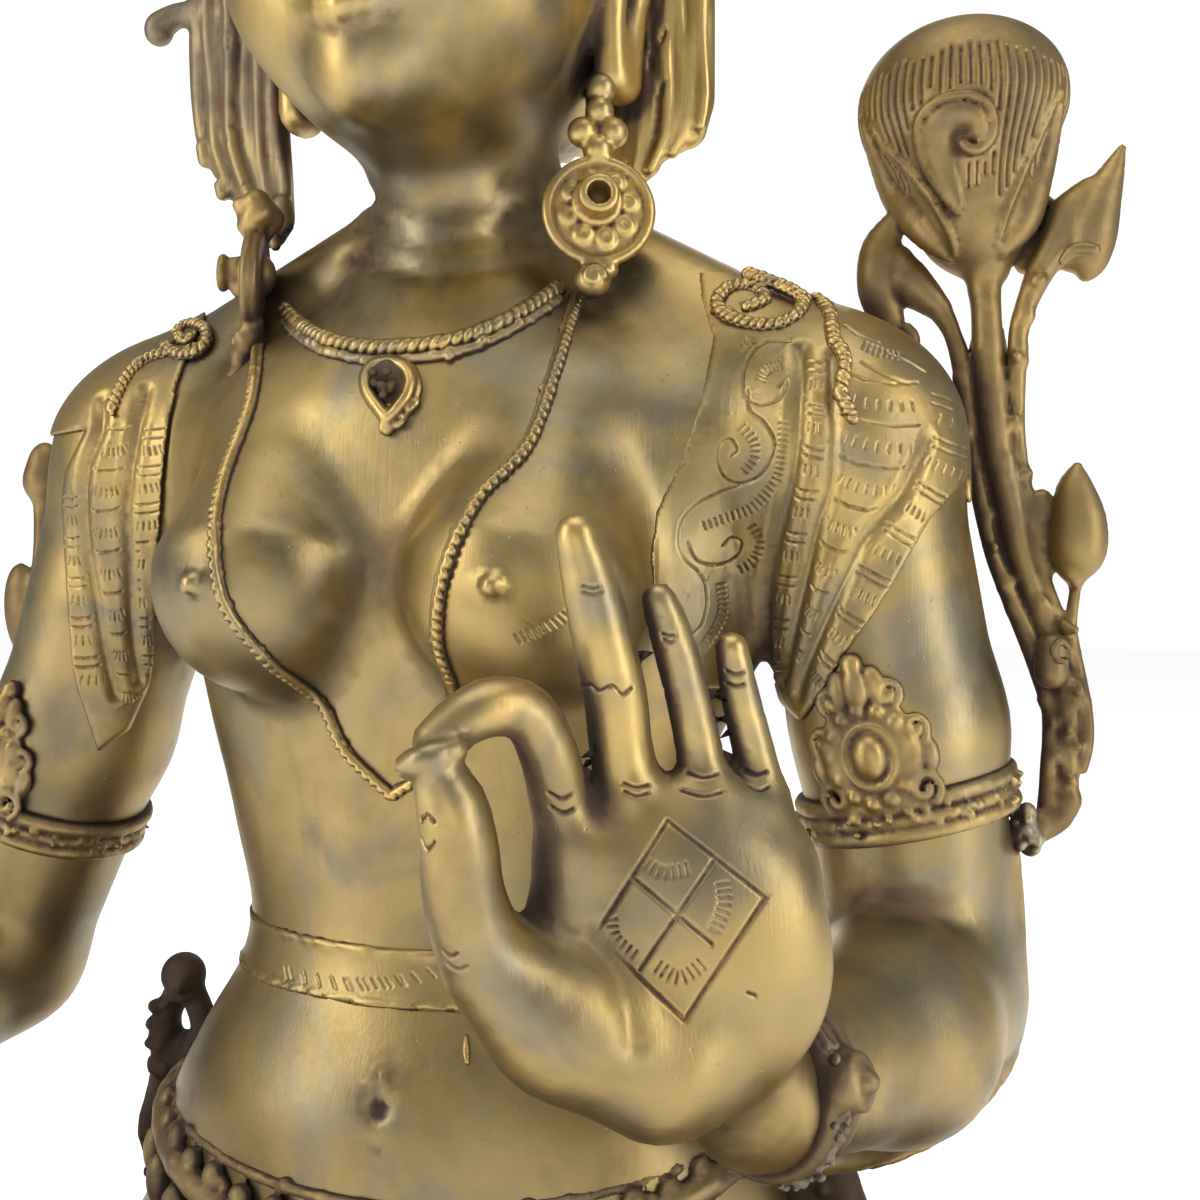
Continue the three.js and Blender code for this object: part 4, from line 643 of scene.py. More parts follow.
def refine(points, tris, wanted, rounds=4):
    """Splits edges longer than wanted(midpoints) says."""
    for _ in range(rounds):
        edges, of_tri = edge_list(tris)
        a, b = points[edges[:, 0]], points[edges[:, 1]]
        mark = np.linalg.norm(a - b, axis=1) > wanted((a + b) / 2)
        if not mark.any():
            break
        new = np.full(len(edges), -1)
        new[mark] = len(points) + np.arange(mark.sum())
        points = np.concatenate([points, (a[mark] + b[mark]) / 2])
        m = new[of_tri]
        has = m >= 0
        kind = has.sum(1)
        out = [tris[kind == 0]]
        for turn in range(3):
            r = [(turn + i) % 3 for i in range(3)]
            one = (kind == 1) & has[:, r[0]]
            v, e = tris[one][:, r], m[one][:, r]
            out += [np.stack([v[:, 0], e[:, 0], v[:, 2]], 1), np.stack([e[:, 0], v[:, 1], v[:, 2]], 1)]
            two = (kind == 2) & ~has[:, r[2]]
            v, e = tris[two][:, r], m[two][:, r]
            out += [np.stack([e[:, 0], v[:, 1], e[:, 1]], 1), np.stack([v[:, 0], e[:, 0], e[:, 1]], 1),
                    np.stack([v[:, 0], e[:, 1], v[:, 2]], 1)]
        v, e = tris[kind == 3], m[kind == 3]
        out += [np.stack([v[:, 0], e[:, 0], e[:, 2]], 1), np.stack([e[:, 0], v[:, 1], e[:, 1]], 1),
                np.stack([e[:, 2], e[:, 1], v[:, 2]], 1), e]
        tris = np.concatenate(out)
    return points, tris


def blender_mesh(name, points, faces):
    mesh = bpy.data.meshes.new(name)
    mesh.from_pydata(points.tolist(), [], faces.tolist())
    mesh.update()
    return mesh


def mesh_arrays(mesh):
    mesh.calc_loop_triangles()
    points = np.empty(len(mesh.vertices) * 3)
    mesh.vertices.foreach_get("co", points)
    tris = np.empty(len(mesh.loop_triangles) * 3, np.int32)
    mesh.loop_triangles.foreach_get("vertices", tris)
    return points.reshape(-1, 3), tris.reshape(-1, 3).astype(np.int64)


def plain_mesh(ob):
    """The evaluated object as a mesh of its own, with its modifiers used up."""
    graph = bpy.context.evaluated_depsgraph_get()
    return bpy.data.meshes.new_from_object(ob.evaluated_get(graph))


def thin(points, tris, wanted):
    if len(tris) <= wanted:
        return points, tris
    ob = bpy.data.objects.new("wax", blender_mesh("wax", points, tris))
    scene.collection.objects.link(ob)
    cutter = ob.modifiers.new("thin", "DECIMATE")
    cutter.ratio = wanted / len(tris)
    done = plain_mesh(ob)
    result = mesh_arrays(done)
    old = ob.data
    bpy.data.objects.remove(ob)
    bpy.data.meshes.remove(old)
    bpy.data.meshes.remove(done)
    return result


print("skin: settle, refine, thin")

# %% [markdown]
# Chasing. The lines on the real figure are rows of short strokes, pushed into the cold
# metal with a small punch. A stroke here is a straight segment with a width and a depth,
# and `chase` lowers the skin near it with a rounded profile. Drawings are given on the
# view from the eye and thrown onto the metal with `landed`, which walks along rays.

# %% Chasing
def landed(field, start, way, lift=0.0, rounds=70):
    """Where rays first meet a sampled surface."""
    start, way = np.atleast_2d(start).astype(float), np.atleast_2d(way).astype(float)
    way = way / np.linalg.norm(way, axis=1)[:, None]
    t = np.zeros(len(start))
    for _ in range(rounds):
        d = probe(field, start + way * t[:, None]) - lift
        t = t + np.clip(d * 0.85, -0.2, 0.9)
    return start + way * t[:, None]


def drawn(field, uv, lift=0.0, near=22.0):
    """Points of the drawing thrown on the metal."""
    ways = np.array([sight(u, v) for u, v in uv])
    return landed(field, EYE + ways * near, ways, lift, 90)


def laid(field, uv, radii, k, lift=0.0, steps=4, high=None):
    """A thread of wax pressed onto the metal along a line of the drawing; high makes it a pad of that height."""
    rows = curve_rows([(u, v, r) for (u, v), r in zip(uv, radii)], steps)
    way = np.array([sight(u, v) for u, v in rows[:, :2]])
    at = drawn(field, rows[:, :2]) - way * (lift if high is None else (high - rows[:, 2])[:, None])
    return cord(np.column_stack([at, rows[:, 2]]), k, 1)


def spot(u, v, y):
    """The point of the view line through u, v at depth y."""
    way = sight(u, v)
    return EYE + way * (y - EYE[1]) / way[1]


def planted(rows, k, steps=4):
    """A cord drawn on the view: u, v and half width on the drawing, and the depth y where it stands."""
    at = [(spot(u, v, y), half) for u, v, half, y in rows]
    return cord([(*p, half * float((p - EYE) @ FORWARD) / FOCUS) for p, half in at], k, steps)


def strokes(lines, width, depth):
    """Segments of polylines, one row each: two ends, half width and depth."""
    rows = []
    for line in lines:
        for a, b in zip(line[:-1], line[1:]):
            rows.append([*a, *b, width, depth])
    return np.array(rows).reshape(-1, 8)


def stroke_gap(points, s):
    """Distance from points to one segment."""
    a, b = s[:3], s[3:6]
    d = b - a
    h = np.clip(((points - a) @ d) / max(float(d @ d), 1e-12), 0, 1)
    return np.linalg.norm(points - a - h[:, None] * d, axis=1)


def near_strokes(points, cuts, reach):
    """Distance to the nearest stroke, or a large number where none is within reach."""
    best = np.full(len(points), 99.0)
    if not len(cuts):
        return best
    lo = np.minimum(cuts[:, :3], cuts[:, 3:6]).min(0) - reach
    hi = np.maximum(cuts[:, :3], cuts[:, 3:6]).max(0) + reach
    some = np.flatnonzero(np.all((points > lo) & (points < hi), axis=1))
    p = points[some]
    order = np.argsort(p[:, 2])
    p, some = p[order], some[order]
    z = p[:, 2]
    for s in cuts:
        i = np.searchsorted(z, min(s[2], s[5]) - reach)
        j = np.searchsorted(z, max(s[2], s[5]) + reach)
        q = p[i:j]
        box = np.flatnonzero((np.abs(q[:, 0] - (s[0] + s[3]) / 2) < abs(s[0] - s[3]) / 2 + reach)
                             & (np.abs(q[:, 1] - (s[1] + s[4]) / 2) < abs(s[1] - s[4]) / 2 + reach))
        if len(box):
            ids = some[i:j][box]
            best[ids] = np.minimum(best[ids], stroke_gap(q[box], s))
    return best


def chase(points, tris, cuts):
    """Lowers the skin along strokes."""
    depth = np.zeros(len(points))
    for width in np.unique(cuts[:, 6]):
        for deep in np.unique(cuts[cuts[:, 6] == width][:, 7]):
            some = cuts[(cuts[:, 6] == width) & (cuts[:, 7] == deep)]
            gap = near_strokes(points, some, width * 1.6)
            rim = np.exp(-((gap - 1.25 * width) / (0.3 * width)) ** 2) * 0.12
            depth = np.maximum(depth, deep * np.exp(-(gap / (0.62 * width)) ** 2)) - deep * rim
    return points - normals(points, tris) * depth[:, None]


print("chasing: landed, drawn, strokes, chase")

# %% [markdown]
# Every finished casting goes through `cast`: it measures how hollow or how proud the metal
# is at each vertex, at a fine scale from the mesh and at a coarse scale from the wax. The
# hollow measure drives the tarnish and also painted shade in recesses and between parts, and
# the proud one drives the rubbed gold. Then `cast` makes the Blender object and hangs it on the frame.

# %% Casting a piece
surround = {}
count_of = {}


# Per vertex: how hollow the metal is (tarnish and painted shade) and how proud it is (rubbed gold).
def wear_and_shade(points, tris):
    n = normals(points, tris)
    edges, _ = edge_list(tris)
    a, b = edges.T
    both = np.concatenate([a, b])
    other = np.concatenate([b, a])
    share = np.bincount(both, minlength=len(points)).clip(1)[:, None]
    mean = gather(both, points[other], len(points)) / share
    size = np.bincount(both, np.linalg.norm(points[both] - points[other], axis=1), len(points)) / share[:, 0]
    bend = np.einsum("ij,ij->i", mean - points, n) / np.maximum(size, 1e-6)
    for _ in range(2):
        bend = 0.5 * bend + 0.5 * np.bincount(both, bend[other], len(points)) / share[:, 0]
    near = surround["field"]
    # Fine scale: grooves and creases, which hold tarnish.
    hollow = np.clip(bend * 2.6, 0, 0.75)
    proud = np.clip(-bend * 1.6, 0, 0.5)
    # Coarse scale: how far nearby metal shuts each vertex in. This later darkens the metal as painted shade as well as
    # tarnish.
    for reach, weight in ((0.45, 0.42), (1.3, 0.45)):
        hollow += weight * np.clip(1 - probe(near, points + n * reach) / reach, 0, 1.2)
        proud += 0.4 * weight * np.clip(1 + probe(near, points - n * reach) / reach, 0, 1)
    return np.clip(hollow, 0, 1), np.clip(proud - hollow, 0, 1)


def cast(name, points, tris, metal, stands_for=()):
    hollow, worn = wear_and_shade(points, tris)
    mesh = blender_mesh(name, place(points), tris)
    for key, values in (("hollow", hollow), ("worn", worn)):
        mesh.attributes.new(key, "FLOAT", "POINT").data.foreach_set("value", values.astype(np.float32))
    return shown(name, mesh, metal, stands_for)


def shown(name, mesh, metal, stands_for=()):
    mesh.materials.clear()
    mesh.materials.append(metal)
    mesh.polygons.foreach_set("use_smooth", [True] * len(mesh.polygons))
    ob = bpy.data.objects.new(name, mesh)
    scene.collection.objects.link(ob)
    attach(ob, "root")
    if stands_for:
        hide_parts(*stands_for)
    count_of[name] = sum(len(p.vertices) - 2 for p in mesh.polygons)
    print("%s: %d triangles" % (name, count_of[name]))
    return ob


def from_wax(forms, cell, rounds=2, shell=False):
    """Skin of a lump of wax, settled on its true surface."""
    points, quads = skin(sample(forms, cell))
    if shell:
        points, quads = biggest_shell(points, quads)
    tris = triangles(points, quads)
    return settle(points, tris, lambda p: distance_at(forms, p), rounds, cell * 0.5), tris


print("casting: wear, cast, from_wax")

# %% [markdown]
# The body. Trunk sections run from the seat to the neck in oval slices. Shoulders, breasts
# and arms are bones melted onto it. The canon gives the lengths: three heads for each arm,
# broad shoulders, a narrow waist, and full hips.

# %% Body wax
TRUNK_ROWS = [
    (-2, 9.0, -5.4, 6.8), (1, 9.7, -5.9, 7.6), (4.5, 10.1, -6.2, 7.7), (8, 9.7, -6.3, 6.9),
    (10.6, 8.65, -6.25, 5.7), (12.4, 7.6, -5.9, 4.7), (15.2, 6.25, -4.7, 3.9), (18.5, 7.0, -4.4, 4.0),
    (22, 8.0, -4.7, 4.6), (26, 8.8, -5.1, 5.0), (29.4, 8.7, -5.1, 4.6), (31.4, 6.9, -4.4, 3.9),
    (33, 4.4, -3.5, 3.1), (34.6, 2.75, -2.8, 2.5), (36.6, 2.55, -2.6, 2.5), (39.5, 2.9, -2.9, 2.8),
]
LEFT_ARM = [(11.0, 0.4, 29.1, 3.05), (12.6, 0.7, 21.5, 2.75), (13.3, 0.9, 14.4, 2.45)]
RIGHT_ARM = [(-10.5, 0.4, 29.1, 3.05), (-13.7, 0.7, 20.5, 2.75), (-16.8, 0.6, 12.9, 2.4)]
LEFT_SWELL, LEFT_WRIST = (12.7, -2.6, 14.3), (10.5, -7.95, 14.5)
RIGHT_SWELL, RIGHT_WRIST = (-17.4, -3.2, 11.9), (-18.6, -13.3, 8.2)
LEFT_KNEE, LEFT_ANKLE = (18.6, -8.4, 3.6), (3.6, -12.6, 2.5)
RIGHT_KNEE, RIGHT_ANKLE = (-17.6, -12.4, 2.8), (-9.6, -20.3, -6.4)
NAVEL = (0.3, -6.0, 12.4)


def trunk_wax():
    forms = [trunk(TRUNK_ROWS, 0)]
    for s, arm in ((1, LEFT_ARM), (-1, RIGHT_ARM)):
        forms.append(bone((s * 4, 0.4, 30.2), arm[0][:3], 2.4, arm[0][3], 1.6))
        forms.append(bone((s * 2.2, 1.3, 35.6), (s * 9.4, 0.9, 30.9), 1.6, 2.3, 1.6))
        forms.append(bone((s * 4.0, -2.4, 29.6), (s * 3.7, -4.3, 25.5), 1.9, 3.2, 0.85))
        forms.append(ball((s * 4.1, -7.55, 25.4), 0.3, 0.22))
        forms.append(egg((s * 4.6, 3.4, 3.4), (4.6, 4.4, 4.4), 1.2))
    forms.append(bone((7.6, 0.6, 27.5), (7.2, 0.6, 22.9), 1.7, 1.25, 0.9))
    x, y, z = NAVEL
    forms.append(carve(egg((x, y - 0.05, z - 0.25), (0.2, 0.3, 0.3), 0.35)))
    forms.append(egg((x + 0.05, y + 0.3, z + 0.25), (0.13, 0.34, 0.42), 0.18))
    forms.append(egg((x + 0.2, y + 0.12, z - 1.35), (0.14, 0.3, 0.34), 0.15))
    forms.append(carve(ball((x + 0.12, y - 0.15, z - 1.3), 0.12, 0.12)))
    return forms


ELBOW_RIB = [(1011, 846, 9, 1.0), (1014, 900, 10, 1.1), (1016, 950, 11, 1.2), (1016, 1000, 11, 1.2), (1013, 1030, 11, 1.1), (1005, 1058, 11, 0.8),
             (990, 1083, 11, 0.5), (968, 1107, 11, 0.1), (940, 1129, 11, -0.4), (907, 1146, 11, -1.0), (870, 1159, 10, -1.6), (820, 1167, 8, -2.4)]


def arm_wax():
    forms = []
    for arm, swell, wrist, r in ((LEFT_ARM, LEFT_SWELL, LEFT_WRIST, (2.45, 2.65, 1.7)),
                                 (RIGHT_ARM, RIGHT_SWELL, RIGHT_WRIST, (2.4, 2.5, 1.6))):
        a, b, c = arm
        forms.append(bone(a[:3], b[:3], a[3], b[3], 1.2))
        forms.append(bone(b[:3], c[:3], b[3], c[3], 0.8))
        forms.append(bone(c[:3], swell, r[0], r[1], 0.9))
        forms.append(bone(swell, wrist, r[1], r[2], 0.7))
    return forms + [planted([(u - 12, v - 12 * (v > 1050), 14 + 7 * (v > 1090), y - (v > 1090)) for u, v, _, y in ELBOW_RIB], 0.5), planted(ELBOW_RIB, 0.06)]


bare_body = trunk_wax() + arm_wax()
skin_of_body = sample(bare_body, 0.24, reach=7)
print("bare body in %d cells" % skin_of_body["value"].size)

# %% [markdown]
# The raised hand makes the teaching gesture: the forefinger bends down to the thumb, and
# three slim fingers stand. The other hand lies open over the knee, the gesture of giving.
# Fingers are tapering cords over a palm of knuckle bones and three flat eggs.

# %% Hands and feet
RAISED = {
    "index": [(7.56, -11.63, 20.2, 0.72), (7.35, -11.9, 21.2, 0.62), (7.26, -12.35, 22.2, 0.58), (7.0, -12.75, 23.0, 0.57),
              (6.53, -13.25, 23.2, 0.58), (6.07, -13.7, 23.0, 0.53), (5.63, -14.05, 22.6, 0.45)],
    "middle": [(8.57, -11.1, 21.2, 0.68), (8.4, -11.25, 22.3, 0.64), (8.35, -11.45, 23.3, 0.64), (8.2, -11.7, 24.3, 0.62),
               (8.0, -11.9, 25.4, 0.57), (7.78, -12.2, 26.5, 0.42)],
    "ring": [(9.93, -10.3, 21.4, 0.52), (9.72, -10.5, 22.7, 0.46), (9.52, -10.75, 23.8, 0.45), (9.3, -10.95, 24.7, 0.42),
             (9.16, -11.1, 25.2, 0.35)],
    "little": [(10.98, -9.6, 21.1, 0.5), (10.77, -9.75, 22.2, 0.43), (10.58, -10.0, 23.2, 0.4), (10.44, -10.2, 24.2, 0.34)],
    "thumb": [(7.18, -12.6, 17.2, 1.2), (6.42, -13.35, 18.3, 0.92), (6.15, -13.9, 19.6, 0.79), (6.12, -14.1, 20.6, 0.75),
              (6.05, -14.25, 21.4, 0.67), (5.87, -14.4, 21.9, 0.52)],
}


def raised_hand_wax():
    facing = (0.42, -0.9, 0.05)
    low, top = (9.9, -10.85, 17.7), (9.75, -10.6, 19.6)
    forms = [egg(low, (2.75, 1.05, 2.95), 0.6, (0.22, 0, 1), facing), egg(top, (2.6, 0.98, 2.1), 0.7, (0.05, 0, 1), facing),
             bone((6.5, -12.9, 18.2), (7.6, -12.0, 16.9), 0.9, 1.45, 0.6),
             bone((7.6, -12.0, 16.9), (9.1, -10.85, 15.95), 1.45, 1.66, 0.6),
             bone(RAISED["index"][0][:3], (7.4, -11.6, 18.5), 0.74, 0.95, 0.5),
             bone(LEFT_WRIST, (9.9, -10.1, 16.6), 1.65, 1.2, 0.4)]
    for finger, r in (("index", 0.8), ("middle", 0.85), ("ring", 0.75), ("little", 0.7)):
        base = RAISED[finger][0]
        forms.append(bone(lerp(top, base[:3], 0.3).tolist(), base[:3], r, base[3], 0.5))
        forms.append(cord(RAISED[finger], 0.22, 3))
    forms.append(cord(RAISED["thumb"], 0.5, 3))
    forms.append(cord([(5.4, -14.75, 22.22, 0.27), (5.8, -14.8, 22.37, 0.3), (6.2, -14.4, 22.5, 0.24)], 0.1, 3))
    return forms


def giving_hand_wax():
    root = np.array(RIGHT_WRIST) + (0, -0.5, -0.1)
    forms = []
    for s, reach in zip((-1.85, -0.65, 0.6, 1.75), (5.2, 5.9, 5.6, 4.5)):
        k = (-18.4 + s, -16.7, 2.2 + 0.25 * abs(s))
        forms.append(bone((root + (s * 0.45, -1.6, -0.5)).tolist(), k, 1.15, 0.85, 0.7))
        forms.append(cord([(*k, 0.72), (-18.4 + s * 1.12, -17.0, k[2] - reach * 0.36, 0.62),
                           (-18.35 + s * 1.16, -17.1, k[2] - reach * 0.7, 0.54),
                           (-18.3 + s * 1.15, -16.9, k[2] - reach, 0.38)], 0.28, 3))
    forms.append(bone(RIGHT_WRIST, (root + (0, -1.6, -0.6)).tolist(), 1.6, 1.4, 0.8))
    forms.append(egg((-18.4, -15.9, 4.9), (2.2, 1.0, 2.7), 0.6, (0, -0.3, -1)))
    forms.append(cord([(-17.2, -15.2, 6.3, 1.0), (-16.3, -16.0, 5.0, 0.85), (-15.7, -16.7, 3.5, 0.64),
                       (-15.5, -17.1, 1.9, 0.5), (-15.6, -17.2, 1.1, 0.4)], 0.5, 3))
    return forms


def foot_wax(heel, way, up, length, inner):
    w, u = unit(way), unit(up)
    side = np.cross(w, u) * inner

    def at(along, across, high):
        return (np.asarray(heel) + w * along * length + side * across + u * high).tolist()

    forms = [bone(at(0.06, 0, 0.3), at(0.6, 0, -0.1), 1.45, 1.35, 0.8),
             bone(at(0.15, 0, 1.7), at(0.62, 0.2, 0.35), 1.35, 1.0, 0.9),
             egg(at(0.6, 0, -0.1), (2.1, 1.05, 2.1), 0.7, w, u)]
    for i in range(5):
        across = 1.65 - i * 0.82
        r = 0.62 if i == 0 else 0.47 - 0.02 * i
        forms.append(bone(at(0.68, across * 0.92, -0.25), at(1.0 - i * 0.045, across, -0.45), r * 1.1, r, 0.25))
        forms.append(egg(at(0.985 - i * 0.045, across, -0.45 + r * 0.72), (r * 0.6, 0.12, r * 0.7), 0.06, w, u))
    return forms


hand = sample(raised_hand_wax() + arm_wax()[3:4], 0.12, reach=14)
print("raised hand in %d cells" % hand["value"].size)

# %% [markdown]
# Legs and cloth. She sits at royal ease: the left leg lies folded on the seat and the right
# foot hangs onto a small lotus of its own. The thin skirt shows only at its hems and where
# it gathers between the thighs.

# %% Legs and skirt
def leg_wax():
    forms = []
    for hip, knee, ankle, r, share in (((5.0, -0.5, 3.0), LEFT_KNEE, LEFT_ANKLE, (4.3, 3.35, 2.95, 1.75), 0.36),
                                       ((-5.0, -0.4, 2.8), RIGHT_KNEE, RIGHT_ANKLE, (4.1, 3.35, 3.05, 1.6), 0.32)):
        calf = lerp(knee, ankle, share).tolist()
        forms.append(bone(hip, knee, r[0], r[1], 1.4))
        forms.append(bone(knee, calf, r[1], r[2], 1.0))
        forms.append(bone(calf, ankle, r[2], r[3], 0.8))
    forms.append(egg((0, -6.4, 1.6), (7.2, 4.6, 2.4), 1.4))
    forms += foot_wax((3.4, -12.9, 2.0), (-1, 0.12, 0.04), (0.05, -0.62, 0.78), 9.6, -1)
    heel = np.array(RIGHT_ANKLE) + (0.9, 0.6, -0.9)
    forms += foot_wax(heel, (-0.86, -0.5, 0), (0, 0, 1), 9.4, -1)
    return forms


def skirt_wax():
    hem_way = np.subtract(RIGHT_ANKLE, RIGHT_KNEE)
    left_way = np.subtract(LEFT_ANKLE, LEFT_KNEE)
    forms = [hoop(lerp(RIGHT_KNEE, RIGHT_ANKLE, 0.86), hem_way, (2.05, 2.05), 0.3, 0.3),
             hoop(lerp(LEFT_KNEE, LEFT_ANKLE, 0.84), left_way, (2.2, 2.2), 0.3, 0.3, (0, 0, 1))]
    for i in range(5):
        t = i - 2
        forms.append(cord([(t * 0.45, -6.3, 8.4, 0.4), (t * 0.75, -7.9, 5.6, 0.5), (t * 1.15 - 0.3, -10.2, 4.2, 0.48)],
                          0.2, 3))
    return forms


print("legs: %d pellets, skirt: %d" % (len(leg_wax()), len(skirt_wax())))

# %% [markdown]
# The face is laid out by the rule for calm images: brow, nose and chin divide the height in
# three, the eyes are lotus petals half closed, the nose is straight and the lips are full.
# Long ears hang to the jaw. The hair is a plain cap under the crown.

# %% Head
HEAD = (0, 0.2, 46.4)


def head_wax():
    hx, hy, hz = HEAD
    forms = [egg((hx, hy, hz + 0.6), (6.1, 6.7, 6.6), 0.6), egg((0, -1.5, 43.6), (5.1, 5.5, 6.5), 1.2),
             egg((0, -3.6, 40.2), (3.7, 3.4, 3.1), 1.2), ball((0, -5.9, 38.4), 1.15, 1.2)]
    for s in (1, -1):
        forms.append(ball((s * 2.5, -4.6, 41.5), 2.1, 1.4))
        forms.append(cord([(s * 0.6, -6.9, 46.4, 0.24), (s * 2.2, -6.6, 47.1, 0.28), (s * 4.3, -5.0, 46.3, 0.16)], 0.8, 3))
        forms.append(egg((s * 2.35, -5.95, 45.1), (1.45, 0.95, 0.82), 0.35))
        forms.append(cord([(s * 1.0, -6.75, 44.8, 0.1), (s * 2.3, -6.95, 45.05, 0.16), (s * 3.9, -5.75, 45.35, 0.1)],
                          0.15, 3))
        forms.append(ball((s * 0.7, -7.3, 42.75), 0.48, 0.4))
        forms.append(cord([(s * 5.7, -0.2, 46.6, 0.55), (s * 6.0, 0.8, 45.8, 0.6), (s * 5.6, 0.5, 43.6, 0.55),
                           (s * 5.2, 0.0, 41.4, 0.5), (s * 5.0, -0.3, 39.4, 0.62)], 0.4, 3))
        forms.append(cord([(s * 5.6, -1.0, 45.4, 0.35), (s * 5.3, -1.0, 43.2, 0.4), (s * 5.0, -1.1, 41.0, 0.4),
                           (s * 4.95, -0.9, 39.4, 0.5)], 0.4, 3))
    forms.append(bone((0, -6.9, 46.3), (0, -7.95, 43.2), 0.42, 0.64, 0.7))
    forms.append(ball((0, -6.9, 42.2), 0.55, 0.9))
    forms.append(cord([(-1.75, -6.55, 40.4, 0.16), (-0.8, -7.25, 40.6, 0.36), (0, -7.35, 40.5, 0.34),
                       (0.8, -7.25, 40.6, 0.36), (1.75, -6.55, 40.4, 0.16)], 0.3, 3))
    forms.append(cord([(-1.5, -6.6, 40.05, 0.16), (0, -7.2, 39.65, 0.46), (1.5, -6.6, 40.05, 0.16)], 0.3, 3))
    return forms


def cap_wax():
    return [egg((0, 0.9, 47.6), (6.6, 6.9, 6.6), 0.3), egg((0, 3.0, 43.2), (5.6, 4.3, 5.0), 0.8)]


print("head: %d pellets" % len(head_wax()))

# %% [markdown]
# Last come the undersides, cut level a hair above the seat and above the small lotus. The
# whole figure is then one skin: coarse cells first, thinned where it is smooth, and split
# again at the face and hands before it settles on the true surface.

# %% Figure
DRUM_Y = -1
RIM = (23.3, 14.4)
TOE_SEAT = -8.5
TOE_CENTRE = (-13.8, -22.6)
GAP = 0.035


def seat_cuts():
    def over(x, y, z):
        rim = (np.sqrt((x / 24.6) ** 2 + ((y - DRUM_Y) / 15.4) ** 2) - 1) * 15.4
        return np.maximum(z - GAP, rim)

    cx, cy = TOE_CENTRE
    sole = TOE_SEAT + GAP
    return [form((-26, -17, -4), (26, 16, GAP), 0, over, True),
            form((cx - 8, cy - 8, sole - 3), (cx + 8, cy + 8, sole), 0, lambda x, y, z: z - sole + 0 * x + 0 * y, True)]


def throat_folds():
    """The three folds of good fortune, soft grooves round the front of the neck."""
    lines = [[(362, 196), (420, 208), (480, 202), (522, 186)], [(352, 226), (420, 240), (490, 233), (530, 212)],
             [(346, 256), (420, 270), (495, 262), (536, 240)]]
    return [carve(laid(skin_of_body, line, [0.03, 0.05, 0.05, 0.03], 0.6, 0.16)) for line in lines]


figure_wax = (bare_body + leg_wax() + skirt_wax() + head_wax() + cap_wax() + throat_folds()
              + raised_hand_wax() + giving_hand_wax() + seat_cuts())
whole = sample(figure_wax, 0.25, reach=6)
surround["field"] = whole
points, quads = skin(whole)
points, quads = biggest_shell(points, quads)
print("first skin: %d quads" % len(quads))

# %% [markdown]
# The chaser's drawing. In the raised palm there is a lozenge with a cross in it and fans of
# short strokes, and finger joints carry paired creases. All of these are thrown on the wax from the eye and cut in with `chase`.

# %% Lines on the skin
def along(uv, steps=6):
    return curve_rows(uv, steps) if len(uv) > 2 else np.linspace(uv[0], uv[1], steps + 1)


def hatch(uv, count, long, lean=0.0):
    """Short strokes across a line of the drawing."""
    line = along(uv, 12)
    gone = np.concatenate([[0], np.cumsum(np.linalg.norm(np.diff(line, axis=0), axis=1))])
    out = []
    for s in (np.arange(count) + 0.5) / count * gone[-1]:
        c = np.array([np.interp(s, gone, line[:, 0]), np.interp(s, gone, line[:, 1])])
        e = np.array([np.interp(min(s + 1, gone[-1]), gone, line[:, 0]), np.interp(min(s + 1, gone[-1]), gone, line[:, 1])])
        b = np.array([np.interp(max(s - 1, 0), gone, line[:, 0]), np.interp(max(s - 1, 0), gone, line[:, 1])])
        t = (e - b) / max(np.linalg.norm(e - b), 1e-9)
        across = np.array([-t[1], t[0]]) + lean * t
        across /= np.linalg.norm(across)
        out.append([c - across * long / 2, c + across * long / 2])
    return out


def thrown(field, lines, width, depth, lift=0.0):
    """Lines of the drawing as strokes in the metal."""
    rows = []
    for line in lines:
        rows.append(drawn(field, line, lift))
    return strokes(rows, width, depth)


PALM = {"top": (668, 820), "right": (766, 897), "low": (685, 1020), "left": (595, 935)}
palm_lines = [along([PALM[a], PALM[b]], 8) for a, b in (("top", "right"), ("right", "low"), ("low", "left"), ("left", "top"))]
palm_lines += [along([(716, 858), (640, 970)], 8), along([(632, 877), (712, 944)], 8)]
fans = (hatch([(644, 862), (664, 872), (690, 868)], 7, 11) + hatch([(722, 880), (724, 905), (713, 932)], 8, 12)
        + hatch([(655, 965), (680, 978), (704, 962)], 8, 12) + hatch([(610, 915), (614, 938), (636, 958)], 7, 12))
palm_cuts = np.concatenate([thrown(hand, palm_lines, 0.075, 0.055), thrown(hand, fans, 0.05, 0.035)])

CREASES = [
    [(582, 586), (592, 588), (599, 587)], [(583, 591), (593, 593), (601, 591)],
    [(623, 783), (636, 787), (649, 785)], [(624, 791), (637, 796), (648, 793)],
    [(578, 688), (590, 685), (598, 691), (612, 686), (622, 694), (632, 688)],
    [(662, 634), (668, 636), (674, 635)], [(663, 639), (669, 642), (673, 640)],
    [(687, 772), (703, 777), (718, 774)], [(682, 790), (703, 796), (723, 792)],
    [(726, 671), (735, 674), (744, 672)], [(726, 683), (735, 686), (744, 684)],
    [(744, 770), (756, 775), (767, 772)], [(749, 785), (759, 790), (769, 787)],
    [(549, 793), (561, 799), (572, 795)], [(551, 807), (563, 813), (574, 809)],
    [(421, 820), (427, 815), (434, 822)], [(422, 840), (427, 849), (434, 842)],
    [(444, 952), (451, 957), (457, 954)], [(449, 965), (458, 970), (467, 967)],
    [(748, 993), (756, 996)],
]
THENAR = [(593, 938), (606, 955), (620, 980), (628, 1010), (633, 1045)]
crease_cuts = np.concatenate([thrown(hand, [along(c) for c in CREASES], 0.06, 0.05), thrown(hand, [along(THENAR)], 0.4, 0.07)])
under_breast = hatch([(515, 640), (560, 620), (600, 580)], 16, 10, 0.2)
